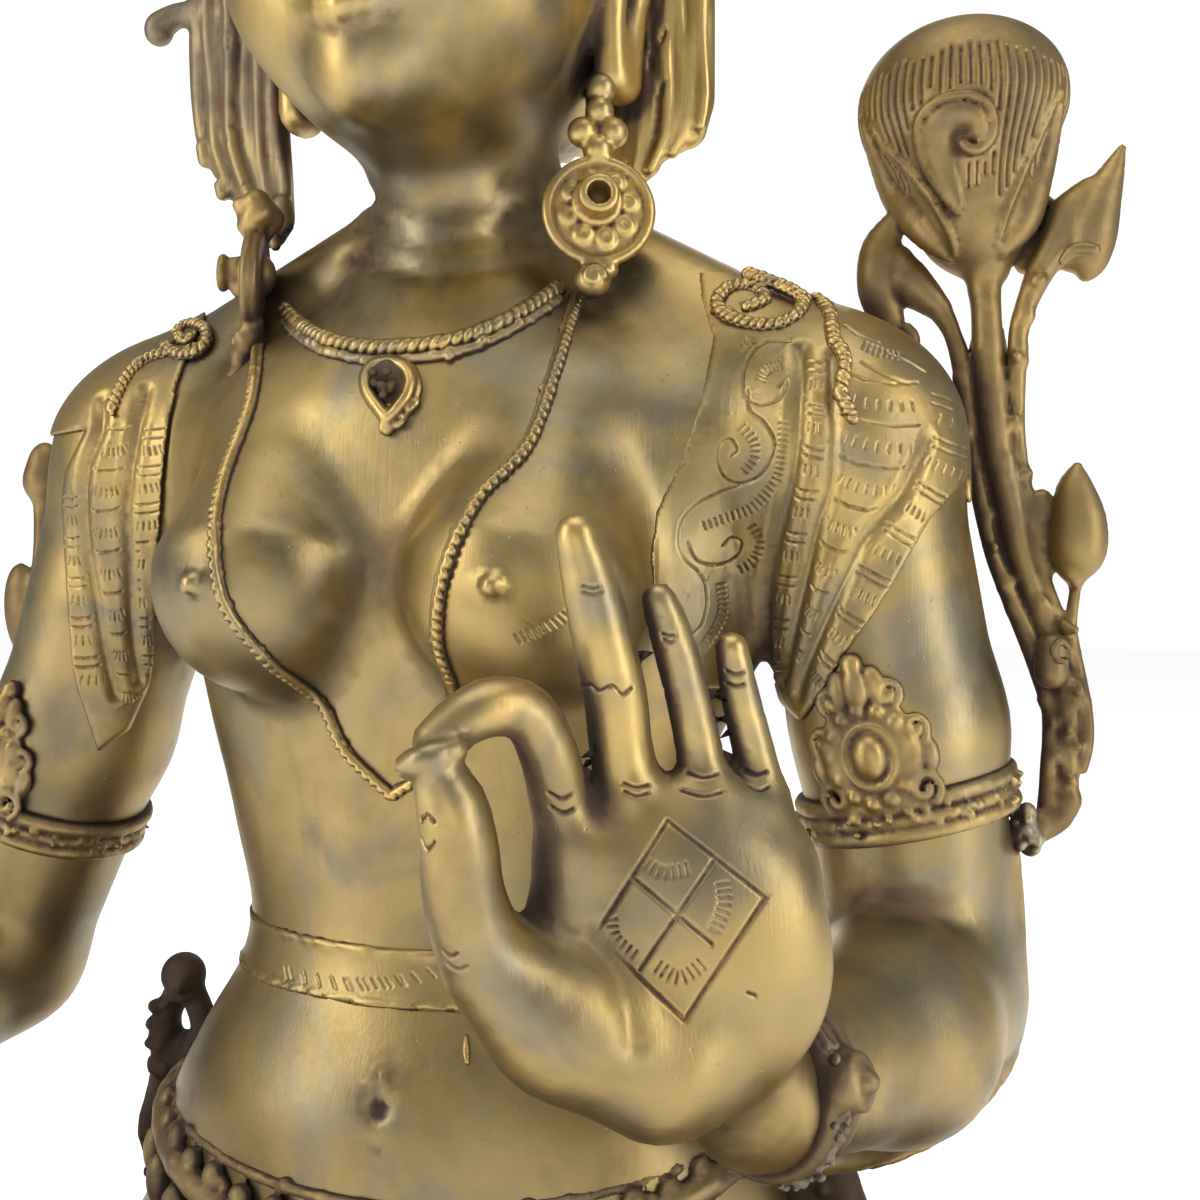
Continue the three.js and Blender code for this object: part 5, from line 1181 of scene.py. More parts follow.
breast_cuts = thrown(skin_of_body, under_breast, 0.045, 0.03)
skin_cuts = np.concatenate([palm_cuts, crease_cuts, breast_cuts])
print("strokes on the skin:", len(skin_cuts))

# %% [markdown]
# Now the figure's skin is thinned, split at face, hands and strokes, and finished.

# %% Figure, finished
FACE = np.array([0, -5.0, 42.8])


def figure_edges(p):
    size = np.full(len(p), 9.0)
    face = np.linalg.norm((p - FACE) / (1.1, 1.0, 1.25), axis=1)
    size[face < 4.6] = 0.26
    raised = (p[:, 0] > 4.4) & (p[:, 1] < -8.8) & (p[:, 2] > 15) & (p[:, 2] < 27.5)
    giving = (p[:, 0] < -13) & (p[:, 1] < -14.6) & (p[:, 2] > -5) & (p[:, 2] < 7)
    size[raised] = 0.3
    size[giving] = 0.34
    return size


def stroke_edges(p, cuts, fine=0.05):
    gap = near_strokes(p, cuts, 0.24)
    return np.where(gap < 0.14, fine, np.where(gap < 0.24, 2.4 * fine, 9.0))


tris = triangles(points, quads)
points, tris = thin(points, tris, 88000)
points = settle(points, tris, lambda p: distance_at(figure_wax, p), 2)
points, tris = refine(points, tris, figure_edges, 3)
points, tris = refine(points, tris, lambda p: stroke_edges(p, skin_cuts, 0.055), 6)
points = settle(points, tris, lambda p: distance_at(figure_wax, p), 3)
points = chase(points, tris, skin_cuts)
cast("figure", points, tris, BODY_METAL, ["tara_figure"])

# %% [markdown]
# The lotus sprays. Each is a small casting of its own: three stalks, leaves, a bud and on
# the left a seed-pod bloom, soldered to the armlet. The bloom is a pear with a smooth dome,
# flutes below its ridge, and relief petals laid on as wax threads.

# %% Left spray
rng = random.Random(11)


def crust(points, count, spread, sizes, k=0.08):
    """Crumbs of old solder and casting skin strewn along points."""
    crumbs = []
    for _ in range(count):
        p = points[rng.randrange(len(points))] + np.array([rng.uniform(-spread, spread) for _ in range(3)])
        crumbs.append(ball([float(v) for v in p], rng.uniform(*sizes), k))
    return crumbs


BLOOM = np.array([14.1, 3.5, 38.4])


STALKS = (
    [(983, 262, 19, 3.1), (984, 285, 17, 3.0), (986, 310, 15, 2.9), (989, 367, 16, 2.8), (996, 440, 16, 2.7), (1008, 490, 15, 2.6),
     (1020, 550, 13, 2.5), (1036, 600, 12, 2.4), (1052, 645, 12, 2.3), (1066, 690, 11, 2.1), (1069, 750, 10, 2.0), (1067, 805, 11, 1.9)],
    [(908, 282, 22, 3.0), (926, 297, 17, 3.0), (940, 311, 12, 3.0), (952, 333, 9, 2.9), (962, 367, 10, 2.8), (969, 430, 10, 2.7), (979, 490, 9, 2.6),
     (990, 545, 8, 2.5), (1005, 585, 9, 2.4), (1023, 627, 10, 2.3), (1041, 675, 10, 2.2), (1051, 715, 9, 2.1), (1049, 770, 9, 1.9),
     (1046, 818, 10, 1.8)],
    [(1066, 215, 18, 3.4), (1057, 242, 18, 3.2), (1040, 272, 14, 3.1), (1028, 300, 11, 3.0), (1019, 330, 10, 2.9), (1017, 370, 9, 2.8),
     (1018, 430, 7, 2.8), (1024, 480, 7, 2.7), (1033, 530, 8, 2.6), (1045, 580, 7, 2.5), (1061, 625, 7, 2.4), (1071, 660, 7, 2.2)],
    [(1076, 570, 10, 2.6), (1075, 590, 6, 2.5), (1071, 625, 6, 2.4), (1076, 662, 7, 2.2), (1085, 705, 7, 2.1), (1087, 740, 7, 2.1),
     (1082, 768, 6, 2.0)],
)
WEB = [(988, 335, 16, 3.3), (989, 400, 26, 3.3), (999, 470, 23, 3.2), (1015, 540, 22, 3.0), (1033, 600, 19, 2.8), (1052, 650, 20, 2.6),
       (1062, 700, 19, 2.4), (1062, 770, 15, 2.2), (1058, 815, 13, 2.0)]
LEAVES = (
    [(895, 222, 12, 3.0), (880, 250, 19, 3.0), (879, 283, 22, 3.0), (884, 308, 19, 3.0), (893, 330, 13, 2.9), (904, 350, 9, 2.8)],
    [(897, 262, 17, 3.1), (908, 282, 20, 3.1), (922, 294, 13, 3.0)],
    [(898, 352, 9, 2.7), (909, 350, 9, 2.6), (912, 338, 8, 2.6), (906, 328, 6, 2.6)],
    [(1122, 148, 4, 3.6), (1112, 172, 12, 3.5), (1098, 205, 22, 3.4), (1090, 235, 26, 3.3), (1089, 258, 19, 3.2), (1086, 273, 9, 3.1)],
    [(1040, 210, 16, 3.7), (1034, 240, 16, 3.6), (1026, 264, 11, 3.5)],
    [(1088, 190, 12, 3.4), (1070, 212, 18, 3.4), (1066, 240, 18, 3.3), (1070, 262, 10, 3.2)],
    [(1062, 262, 4, 2.2), (1074, 250, 7, 2.2), (1094, 250, 7, 2.2)],
    [(1077, 468, 6, 2.5), (1075, 492, 19, 2.5), (1079, 520, 26, 2.5), (1078, 547, 28, 2.5), (1075, 563, 20, 2.5), (1075, 574, 11, 2.5)],
    [(1042, 499, 10, 2.8), (1042, 522, 13, 2.8), (1041, 550, 12, 2.7), (1045, 570, 8, 2.6)],
    [(1052, 648, 16, 1.6), (1051, 672, 17, 1.6)],
    [(1068, 646, 4, 1.0), (1061, 641, 4, 0.9), (1054, 648, 4, 0.8), (1056, 659, 4, 0.8), (1066, 661, 4, 0.9)],
    [(1067, 800, 13, 1.9), (1058, 818, 13, 1.8), (1038, 829, 14, 1.5), (1024, 836, 12, 1.3)],
)


def left_spray_wax():
    forms = [egg(BLOOM + (0, 0, 0.7), (2.95, 2.55, 2.35), 0.5, (-0.12, 0, 1)),
             bone(BLOOM, (14.45, 3.2, 35.7), 2.65, 1.6, 0.5),
             bone((14.45, 3.2, 35.7), (14.8, 3.1, 34.2), 1.6, 0.6, 0.5)]
    bloom = sample(forms, 0.15, reach=20)
    pads = [laid(bloom, uv, radii, 0.05, high=high) for uv, radii, high in (
        ([(959, 206), (949, 180), (939, 152), (938, 128), (954, 114), (974, 117), (981, 132)],
         (0.15, 0.42, 0.6, 0.62, 0.5, 0.4, 0.3), 0.22),
        ([(863, 120), (880, 160), (905, 201), (930, 235), (949, 259)], (0.12, 0.34, 0.6, 0.46, 0.14), 0.14),
        ([(1062, 96), (1049, 140), (1035, 182), (1021, 222), (1003, 250)], (0.1, 0.3, 0.46, 0.5, 0.2), 0.12))]
    pads += [laid(bloom, uv, radii, 0.05, lift) for uv, radii, lift in (
        ([(957, 214), (943, 194), (926, 168), (917, 140), (918, 120), (931, 104), (951, 96), (971, 95), (987, 103), (994, 118),
          (993, 134), (983, 147), (971, 150), (963, 143)], (0.08,) + (0.12,) * 9 + (0.13, 0.15, 0.17, 0.14), 0.12),
        ([(868, 124), (882, 145), (910, 173), (931, 198), (949, 230), (955, 256)], (0.06, 0.1, 0.12, 0.13, 0.13, 0.08), 0.06),
        ([(1064, 90), (1050, 114), (1034, 149), (1020, 181), (1007, 213), (998, 246)], (0.06, 0.09, 0.1, 0.11, 0.1, 0.06), 0.06))]
    stalks = [planted(rows, 0.1) for rows in (*STALKS, WEB)] + [planted(rows, 0.16) for rows in LEAVES]
    line = np.array([spot(u, v, y - 0.2) for rows in STALKS for u, v, _, y in curve_rows(rows, 6)])
    return forms + stalks + crust(line, 80, 0.2, (0.06, 0.13), 0.25) + pads, bloom, pads


left_forms, bloom_field, bloom_pads = left_spray_wax()
left_points, left_tris = from_wax(left_forms, 0.13)
flutes = []
for i in range(62):
    a = i / 62 * 2 * math.pi + 0.05
    out = np.array([math.sin(a), -math.cos(a), 0])
    levels = np.linspace(40.0 - 0.5 * abs(math.sin(a - 0.3)) + rng.uniform(-0.12, 0.12), 35.9 + rng.uniform(0, 0.7), 14)
    start = np.array([BLOOM + out * 6 + (0, 0, z - BLOOM[2]) for z in levels])
    at = landed(bloom_field, start, np.tile(-out, (14, 1)))
    free = distance_at(bloom_pads, at) > 0.12
    flutes += [at[j:j + 2] for j in range(13) if free[j] and free[j + 1]]
flute_cuts = strokes(flutes, 0.085, 0.075)
left_points, left_tris = refine(left_points, left_tris, lambda p: stroke_edges(p, flute_cuts, 0.08), 3)
left_points = settle(left_points, left_tris, lambda p: distance_at(left_forms, p), 2)
left_points = chase(left_points, left_tris, flute_cuts)
cast("left_spray", left_points, left_tris, SPRAY_METAL, ["left_lotus_spray"])
solder = [ball(spot(u, v, y), r, 0.15) for u, v, y, r in (
    (1027, 813, 0.9, 0.26), (1014, 837, 0.9, 0.24), (1038, 838, 0.9, 0.2), (1024, 828, 1.0, 0.34), (1030, 845, 1.1, 0.3))]
solder_at = np.array([spot(u, v, 0.95) for u, v in ((1020, 815), (1022, 828), (1030, 840))])
cast("left_solder", *from_wax(solder + crust(solder_at, 40, 0.3, (0.07, 0.16), 0.1), 0.08, 2, True), SOLDER_METAL)

# %% [markdown]
# The right spray has only a bud and a leaf left on one stalk, and it stays so.

# %% Right spray
right_forms = [ball((-16.9, 2.7, 28.7), 0.72, 0.3), egg((-16.9, 2.7, 29.1), (0.62, 0.62, 1.0), 0.3),
               cord([(-16.9, 2.7, 28.4, 0.4), (-16.9, 2.6, 26.0, 0.36), (-17.3, 2.4, 23.0, 0.4), (-17.6, 2.2, 19.6, 0.5)],
                    0.25, 4),
               egg((-17.6, 2.5, 24.2), (0.75, 0.5, 1.7), 0.25, (-0.12, 0, 1)),
               cord([(-17.6, 2.2, 20.4, 0.46), (-17.9, 1.9, 18.9, 0.55), (-17.4, 1.3, 18.3, 0.5)], 0.3, 3)]
cast("right_spray", *from_wax(right_forms, 0.14), SPRAY_METAL, ["right_lotus_spray"])

# %% [markdown]
# Repeated parts are set by one Geometry Nodes tree. It takes a path with an outward and a
# lengthwise direction stored on its points, spreads copies of a small piece along it,
# turns each to face outwards, makes them real and gives them their metal. The same tree
# sets petals round the base and beads on a rim.

# %% The setting tree
def setting_tree():
    tree = bpy.data.node_groups.new("set_along_path", "GeometryNodeTree")
    face = tree.interface
    face.new_socket("Geometry", in_out="INPUT", socket_type="NodeSocketGeometry")
    for label, kind in (("Piece", "NodeSocketObject"), ("Count", "NodeSocketInt"), ("Tilt", "NodeSocketRotation"),
                        ("Size", "NodeSocketFloat"), ("Jitter", "NodeSocketFloat"), ("Metal", "NodeSocketMaterial")):
        face.new_socket(label, in_out="INPUT", socket_type=kind)
    face.new_socket("Geometry", in_out="OUTPUT", socket_type="NodeSocketGeometry")
    n, link = tree.nodes, tree.links
    given = n.new("NodeGroupInput")
    curve = n.new("GeometryNodeMeshToCurve")
    even = n.new("GeometryNodeResampleCurve")
    piece = n.new("GeometryNodeObjectInfo")
    piece.inputs["As Instance"].default_value = True
    out = n.new("GeometryNodeInputNamedAttribute")
    way = n.new("GeometryNodeInputNamedAttribute")
    for reader, label in ((out, "out"), (way, "way")):
        reader.data_type = "FLOAT_VECTOR"
        reader.inputs["Name"].default_value = label
    axes = n.new("FunctionNodeAxesToRotation")
    axes.primary_axis, axes.secondary_axis = "Z", "X"
    tilt = n.new("FunctionNodeRotateRotation")
    tilt.rotation_space = "LOCAL"
    vary = n.new("FunctionNodeRandomValue")
    vary.data_type = "FLOAT"
    low = n.new("ShaderNodeMath")
    low.operation = "SUBTRACT"
    high = n.new("ShaderNodeMath")
    high.operation = "ADD"
    vary.inputs["Seed"].default_value = 7
    put = n.new("GeometryNodeInstanceOnPoints")
    real = n.new("GeometryNodeRealizeInstances")
    metal = n.new("GeometryNodeSetMaterial")
    result = n.new("NodeGroupOutput")
    link.new(given.outputs["Geometry"], curve.inputs[0])
    link.new(curve.outputs[0], even.inputs["Curve"])
    link.new(given.outputs["Count"], even.inputs["Count"])
    link.new(given.outputs["Piece"], piece.inputs["Object"])
    link.new(way.outputs["Attribute"], axes.inputs["Primary Axis"])
    link.new(out.outputs["Attribute"], axes.inputs["Secondary Axis"])
    link.new(axes.outputs[0], tilt.inputs["Rotation"])
    link.new(given.outputs["Tilt"], tilt.inputs["Rotate By"])
    link.new(given.outputs["Size"], low.inputs[0])
    link.new(given.outputs["Jitter"], low.inputs[1])
    link.new(given.outputs["Size"], high.inputs[0])
    link.new(given.outputs["Jitter"], high.inputs[1])
    floats = [s for s in vary.inputs if s.type == "VALUE"]
    link.new(low.outputs[0], floats[0])
    link.new(high.outputs[0], floats[1])
    link.new(even.outputs[0], put.inputs["Points"])
    link.new(piece.outputs["Geometry"], put.inputs["Instance"])
    link.new(tilt.outputs[0], put.inputs["Rotation"])
    link.new([s for s in vary.outputs if s.type == "VALUE" and s.enabled][0], put.inputs["Scale"])
    link.new(put.outputs[0], real.inputs[0])
    link.new(real.outputs[0], metal.inputs[0])
    link.new(given.outputs["Metal"], metal.inputs["Material"])
    link.new(metal.outputs[0], result.inputs[0])
    return tree


SETTING = setting_tree()


def path_mesh(points, out, way, closed=False):
    """A line of points that carries which way is outward and which way it runs."""
    count = len(points)
    mesh = bpy.data.meshes.new("path")
    edges = [(i, i + 1) for i in range(count - 1)] + ([(count - 1, 0)] if closed else [])
    mesh.from_pydata(place(points).tolist(), edges, [])
    for label, values in (("out", out), ("way", way)):
        values = np.broadcast_to(np.asarray(values, float), (count, 3)).astype(np.float32)
        mesh.attributes.new(label, "FLOAT_VECTOR", "POINT").data.foreach_set("vector", values.ravel())
    return mesh


def set_along(path, piece_mesh, count, metal, tilt=(0, 0, 0), size=1.0, jitter=0.0):
    """Copies of a small mesh along a path, as one plain mesh."""
    holder = bpy.data.objects.new("path", path)
    piece = bpy.data.objects.new("piece", piece_mesh)
    for ob in (holder, piece):
        scene.collection.objects.link(ob)
    modifier = holder.modifiers.new("set", "NODES")
    modifier.node_group = SETTING
    values = {"Piece": piece, "Count": count, "Tilt": tilt, "Size": size, "Jitter": jitter, "Metal": metal}
    for item in SETTING.interface.items_tree:
        if item.in_out == "INPUT" and item.name in values:
            modifier[item.identifier] = values[item.name]
    made = plain_mesh(holder)
    for label in ("out", "way"):
        if label in made.attributes:
            made.attributes.remove(made.attributes[label])
    for ob in (holder, piece):
        bpy.data.objects.remove(ob)
    return made


def joined(*meshes):
    """Several plain meshes as arrays in modules, for one casting."""
    points, tris, start = [], [], 0
    for mesh in meshes:
        p, t = mesh_arrays(mesh)
        points.append(p / UNIT - SEAT)
        tris.append(t + start)
        start += len(p)
    return np.concatenate(points), np.concatenate(tris)


print("setting tree with", len(SETTING.nodes), "nodes")

# %% [markdown]
# The base. A low oval drum stands on a plinth with a tongue for the hanging foot. Two rows
# of lotus petals back onto each other at its waist, with a string of pearls between them.
# One petal is built as a curved leaf: a bulging middle, a raised border and a curled tip.

# %% Lotus base
PLINTH_FOOT = -12.4
PLINTH_TOP = -11.1


def oval(rx, ry, count, centre=(0, DRUM_Y), turn=0.0, z=0.0):
    """Evenly spaced points on an oval and their outward directions."""
    a = np.linspace(0, 2 * math.pi, 1441)
    x, y = np.cos(a) * rx, np.sin(a) * ry
    gone = np.concatenate([[0], np.cumsum(np.hypot(np.diff(x), np.diff(y)))])
    s = np.interp((np.arange(count) + 0.5) / count * gone[-1], gone, a)
    p = np.stack([np.cos(s) * rx, np.sin(s) * ry], 1)
    o = np.stack([np.cos(s) / rx, np.sin(s) / ry], 1)
    o /= np.linalg.norm(o, axis=1)[:, None]
    c, d = math.cos(turn), math.sin(turn)
    spin = np.array([[c, d], [-d, c]])
    p, o = p @ spin + centre, o @ spin
    return np.column_stack([p, np.full(count, z)]), np.column_stack([o, np.zeros(count)])


def turned(rows, centre, count, turn=0.0):
    """A closed body of oval rings: rows of height and two radii."""
    rings = [oval(rx, ry, count, centre, turn, z)[0] for z, rx, ry in rows]
    points = np.concatenate(rings + [[[*centre, rows[0][0]]], [[*centre, rows[-1][0]]]])
    faces = []
    for r in range(len(rows) - 1):
        for i in range(count):
            a, b = r * count + i, r * count + (i + 1) % count
            faces += [(a, b, b + count), (a, b + count, a + count)]
    low, lid = len(points) - 2, (len(rows) - 1) * count
    for i in range(count):
        j = (i + 1) % count
        faces += [(low, j, i), (low + 1, lid + i, lid + j)]
    return points, np.array(faces)


def petal_mesh(half, high, bulge, across=14, up=16):
    """One petal, root at the origin, rising in Z, facing X, closed at the back."""
    t = np.linspace(0, 1, up + 1)[:, None]
    s = np.linspace(-1, 1, across + 1)[None, :]
    edge = half * np.sqrt(np.maximum(1 - np.minimum(t, 0.985) ** 3.4, 0)) * (0.92 + 0.24 * t * (1 - t))
    crest = bulge * (0.35 + 0.65 * np.sin(math.pi * np.minimum(t * 0.75 + 0.1, 1)))
    x = crest * (1 - 0.8 * s ** 2) + 0.5 * bulge * np.clip((t - 0.86) / 0.14, 0, 1) ** 2
    x = x + 0.13 * np.exp(-((np.abs(s) - 0.82) / 0.1) ** 2) + 0.12 * np.exp(-(s / 0.08) ** 2) * np.clip(t * 3, 0, 1)
    x = x - 0.1 * np.exp(-((np.abs(s) - 0.62) / 0.07) ** 2)
    front = np.stack([x * UNIT, s * edge * UNIT + 0 * t, (t * high + 0 * s) * UNIT], 2).reshape(-1, 3)
    back = np.stack([np.full_like(x, -1.2) * UNIT, s * edge * 0.9 * UNIT, (t * high + 0 * s) * UNIT], 2).reshape(-1, 3)
    w = across + 1
    faces = []
    size = len(front)
    for r in range(up):
        for c in range(across):
            a = r * w + c
            faces.append((a, a + 1, a + 1 + w, a + w))
            faces.append((size + a, size + a + w, size + a + 1 + w, size + a + 1))
        faces.append((r * w, (r + 1) * w, size + (r + 1) * w, size + r * w))
        a = r * w + across
        faces.append((a + w, a, size + a, size + a + w))
    for c in range(across):
        faces.append((c + 1, c, size + c, size + c + 1))
        a = up * w + c
        faces.append((a, a + 1, size + a + 1, size + a))
    mesh = bpy.data.meshes.new("petal")
    mesh.from_pydata(np.concatenate([front, back]).tolist(), [], faces)
    mesh.update()
    return mesh


def bead_mesh(rx, ry, rz, rings=6, around=10):
    """A small rounded bead, closed at both poles."""
    bm = bmesh.new()
    bmesh.ops.create_uvsphere(bm, u_segments=around, v_segments=rings, radius=1.0)
    bmesh.ops.scale(bm, vec=(rx * UNIT, ry * UNIT, rz * UNIT), verts=bm.verts)
    mesh = bpy.data.meshes.new("bead")
    bm.to_mesh(mesh)
    bm.free()
    return mesh


drum_rows = [(PLINTH_FOOT, 24.8, 15.9), (PLINTH_FOOT + 0.1, 24.8, 15.9), (-11.6, 24.8, 15.9), (-11.35, 24.8, 15.9),
             (-11.1, 24.5, 15.6), (-11.08, 22.8, 13.8), (-10.9, 22.6, 13.6), (-6.6, 21.6, 12.6), (-6.2, 21.5, 12.5),
             (-5.4, 21.6, 12.6), (-1.1, 22.5, 13.6), (-0.95, 23.2, 14.3), (-0.85, 23.3, 14.4), (-0.3, 23.3, 14.4),
             (-0.08, 23.2, 14.3), (0, 23.0, 14.1), (0, 10, 6)]
drum = turned(drum_rows, (0, DRUM_Y), 144)
toe_rows = [(PLINTH_FOOT, 7.6, 5.6), (-11.35, 7.6, 5.6), (-11.1, 7.3, 5.3), (-11.08, 4.7, 3.3), (-9.7, 4.9, 3.4),
            (-8.75, 5.55, 3.95), (-8.6, 5.6, 4.0), (TOE_SEAT, 5.5, 3.9), (TOE_SEAT, 2, 1.5)]
toe = turned(toe_rows, TOE_CENTRE, 72, 0.5)
tongue = [(-21.5, -8), (-4, -8), (-7.4, -22), (-20.4, -23)]
web = np.array([(x, y, z) for z in (PLINTH_FOOT, PLINTH_TOP - 0.05) for x, y in tongue], float)
web_faces = np.array([(0, 1, 2), (0, 2, 3), (4, 6, 5), (4, 7, 6)] + [f for i in range(4) for f in (
    (i, i + 4, (i + 1) % 4 + 4), (i, (i + 1) % 4 + 4, (i + 1) % 4))])
drum_points = np.concatenate([drum[0], toe[0], web])
drum_tris = np.concatenate([drum[1], toe[1] + len(drum[0]), web_faces + len(drum[0]) + len(toe[0])])
cast("lotus_drum", drum_points, drum_tris, BASE_METAL, ["lotus_base"])

UP = (0, 0, 1)
ring, out = oval(21.9, 12.9, 240, z=-5.75)
upper = set_along(path_mesh(ring, out, UP, True), petal_mesh(2.95, 4.4, 1.75), 20, BASE_METAL)
ring, out = oval(22.0, 13.0, 240, z=-6.3)
lower = set_along(path_mesh(ring, out, UP, True), petal_mesh(2.95, 4.45, 1.9), 20, BASE_METAL, (math.pi, 0, 0))
ring, out = oval(4.3, 2.9, 120, TOE_CENTRE, 0.5, PLINTH_TOP + 0.05)
toe_petals = set_along(path_mesh(ring, out, UP, True), petal_mesh(1.22, 2.2, 1.15, 10, 10), 9, BASE_METAL)
ring, out = oval(21.75, 12.75, 240, z=-6.02)
pearls = set_along(path_mesh(ring, out, UP, True), bead_mesh(0.34, 0.34, 0.34), 150, BASE_METAL)
cast("lotus_petals", *joined(upper, lower), BASE_METAL)
cast("toe_petals", *joined(toe_petals), BASE_METAL)
cast("pearls", *joined(pearls), BASE_METAL)

# %% [markdown]
# Ropes. The necklace, the long jewel strings and the shoulder curls are wax threads pressed
# onto the body and nicked all along with a knife. Each is a round cord of wax, and every
# nick is a stroke bent over one side of it, slanted a little along the cord.

# %% Nicked ropes
def outward(field, points, step=0.12):
    """Outward direction of a sampled surface."""
    g = np.stack([probe(field, points + step * e) - probe(field, points - step * e) for e in np.eye(3)], 1)
    return g / np.maximum(np.linalg.norm(g, axis=1), 1e-9)[:, None]


def thread(points, radius, k=0.05, piece=5):
    """A long thin cord in short lengths, so that each is measured only near itself."""
    rows = [(*p, radius() if callable(radius) else radius) for p in points]
    return [cord(rows[i:i + piece + 1], k, 1) for i in range(0, len(rows) - 1, piece)]


def rope(name, points, pitch, r, metal, slant=0.3, reach=(-1.1, 1.3), field=skin_of_body, crumbs=0, cut=0.07):
    """A nicked cord along points; reach says how far the nicks go round it, in radians."""
    points = np.asarray(points, float)
    gone = np.concatenate([[0], np.cumsum(np.linalg.norm(np.diff(points, axis=0), axis=1))])
    wax = thread(points, lambda: r * rng.uniform(0.92, 1.08)) + crust(points, crumbs, r, (0.3 * r, 0.6 * r))
    skin_points, tris = from_wax(wax, r * 0.45)
    nicks = []
    for s in np.arange(pitch / 2, gone[-1], pitch):
        s += rng.uniform(-0.12, 0.12) * pitch
        p = np.array([np.interp(s, gone, points[:, a]) for a in range(3)])
        ahead = np.array([np.interp(s + 0.1, gone, points[:, a]) for a in range(3)])
        behind = np.array([np.interp(s - 0.1, gone, points[:, a]) for a in range(3)])
        way = unit(ahead - behind)
        out = outward(field, p[None])[0]
        out = unit(out - way * float(out @ way))
        across = np.cross(out, way)
        turns = np.linspace(*reach, 4)
        nicks.append([p + (out * math.cos(a) + across * math.sin(a)) * r + way * slant * r * a for a in turns])
    cuts = strokes(nicks, pitch * 0.27, cut)
    skin_points, tris = refine(skin_points, tris, lambda q: stroke_edges(q, cuts, pitch * 0.3), 3)
    skin_points = settle(skin_points, tris, lambda q: distance_at(wax, q), 1, 0.05)
    return cast(name, chase(skin_points, tris, cuts), tris, metal)


COLLAR = [(285, 309), (305, 328), (330, 340), (365, 347), (400, 347), (440, 343), (480, 332), (520, 313), (558, 288)]
rope("collar_rope", drawn(skin_of_body, along(COLLAR, 5), 0.1), 0.29, 0.23, JEWEL_METAL, 0.35, (-1.5, 0.5))
hem = drawn(skin_of_body, along([(u, v + 13) for u, v in COLLAR], 5), 0.02)
cast("collar_hem", *from_wax(thread(hem, 0.15) + crust(hem, 110, 0.12, (0.06, 0.14)), 0.075, 1),
     brass("hem_solder", tarnish=0.24, grain=2.6, film=LEAD, share=0.3))

nape_angles = np.linspace(0.3, math.pi - 0.3, 40)
nape_start = np.stack([np.cos(nape_angles) * 14, np.sin(nape_angles) * 14, 33.5 + 1.1 * np.sin(nape_angles)], 1)
nape_way = np.stack([-np.cos(nape_angles), -np.sin(nape_angles), 0 * nape_angles], 1)
rope("nape_rope", landed(skin_of_body, nape_start, nape_way, 0.12), 0.3, 0.23, JEWEL_METAL, 0.35, (-1.2, 1.2))

OUTER_STRING = [(258, 330), (250, 400), (222, 480), (213, 540), (224, 605), (268, 662), (318, 700), (344, 750), (390, 795)]
INNER_STRING = [(578, 296), (556, 370), (528, 445), (478, 500), (446, 570), (438, 640), (455, 700), (440, 760), (394, 795)]
for name, uv, side in (("outer_string", OUTER_STRING, 1), ("inner_string", INNER_STRING, -1)):
    line = drawn(skin_of_body, along(uv, 8), 0.07)
    rope(name, line, 0.27, 0.16, JEWEL_METAL, 0.2, (-0.2 * side, -1.5 * side), cut=0.08)
    edge = drawn(skin_of_body, along([(u + 5 * side, v) for u, v in uv], 8), 0.02)
    cast(name + "_edge", *from_wax(thread(edge, 0.1) + crust(edge, 90, 0.05, (0.06, 0.12), 0.05), 0.07, 1),
         CRUST_METAL)

drip = laid(skin_of_body, [(466, 1036), (466, 1050), (467, 1062)], (0.05, 0.1, 0.07), 0.05, 0.04)
cast("casting_drip", *from_wax([drip], 0.07), BODY_METAL)

# %% [markdown]
# The pendant is a drop-shaped bezel that has lost its stone. Old setting paste darkens the
# bottom, and a knob of solder holds the tip.

# %% Pendant
DROP = [(388, 361), (402, 365), (410, 377), (408, 392), (399, 406), (388, 417), (377, 406), (368, 392), (366, 377), (374, 365),
        (388, 361)]
bezel = [laid(skin_of_body, DROP, [0.15] * len(DROP), 0.05, 0.3), laid(skin_of_body, DROP, [0.2] * len(DROP), 0.08, 0.1),
         laid(skin_of_body, [(388, 418), (387, 430)], [0.24, 0.16], 0.1, 0.12),
         laid(skin_of_body, [(413, 368), (418, 388), (410, 408), (396, 426)], [0.1, 0.13, 0.13, 0.1], 0.08, 0.02)]
tip = drawn(skin_of_body, [(388, 428), (400, 420), (412, 404)], 0.05)
cast("pendant_bezel", *from_wax(bezel + crust(tip, 22, 0.14, (0.06, 0.13)), 0.06), JEWEL_METAL)
PASTE = brass("old_paste", tarnish=0.75, grain=2.0)
seat = drawn(skin_of_body, [(388, 386)], 0.05)[0]
cast("pendant_paste", *from_wax([egg(seat, (0.62, 0.16, 0.72), 0.1)] + crust(seat[None], 16, 0.4, (0.06, 0.14), 0.1), 0.07), PASTE)

# %% [markdown]
# Earrings. Each is a wheel: a raised rim, a ring of petals pressed in with a rounded tool,
# and a tube in the middle that held a coral bead. A trefoil link joins it to the ear and a
# curled bead closes it below.

# %% Earrings
def side_frame(face, up=(0, 0, 1)):
    face = unit(face)
    side = unit(np.cross(up, face))
    return face, side, np.cross(face, side)


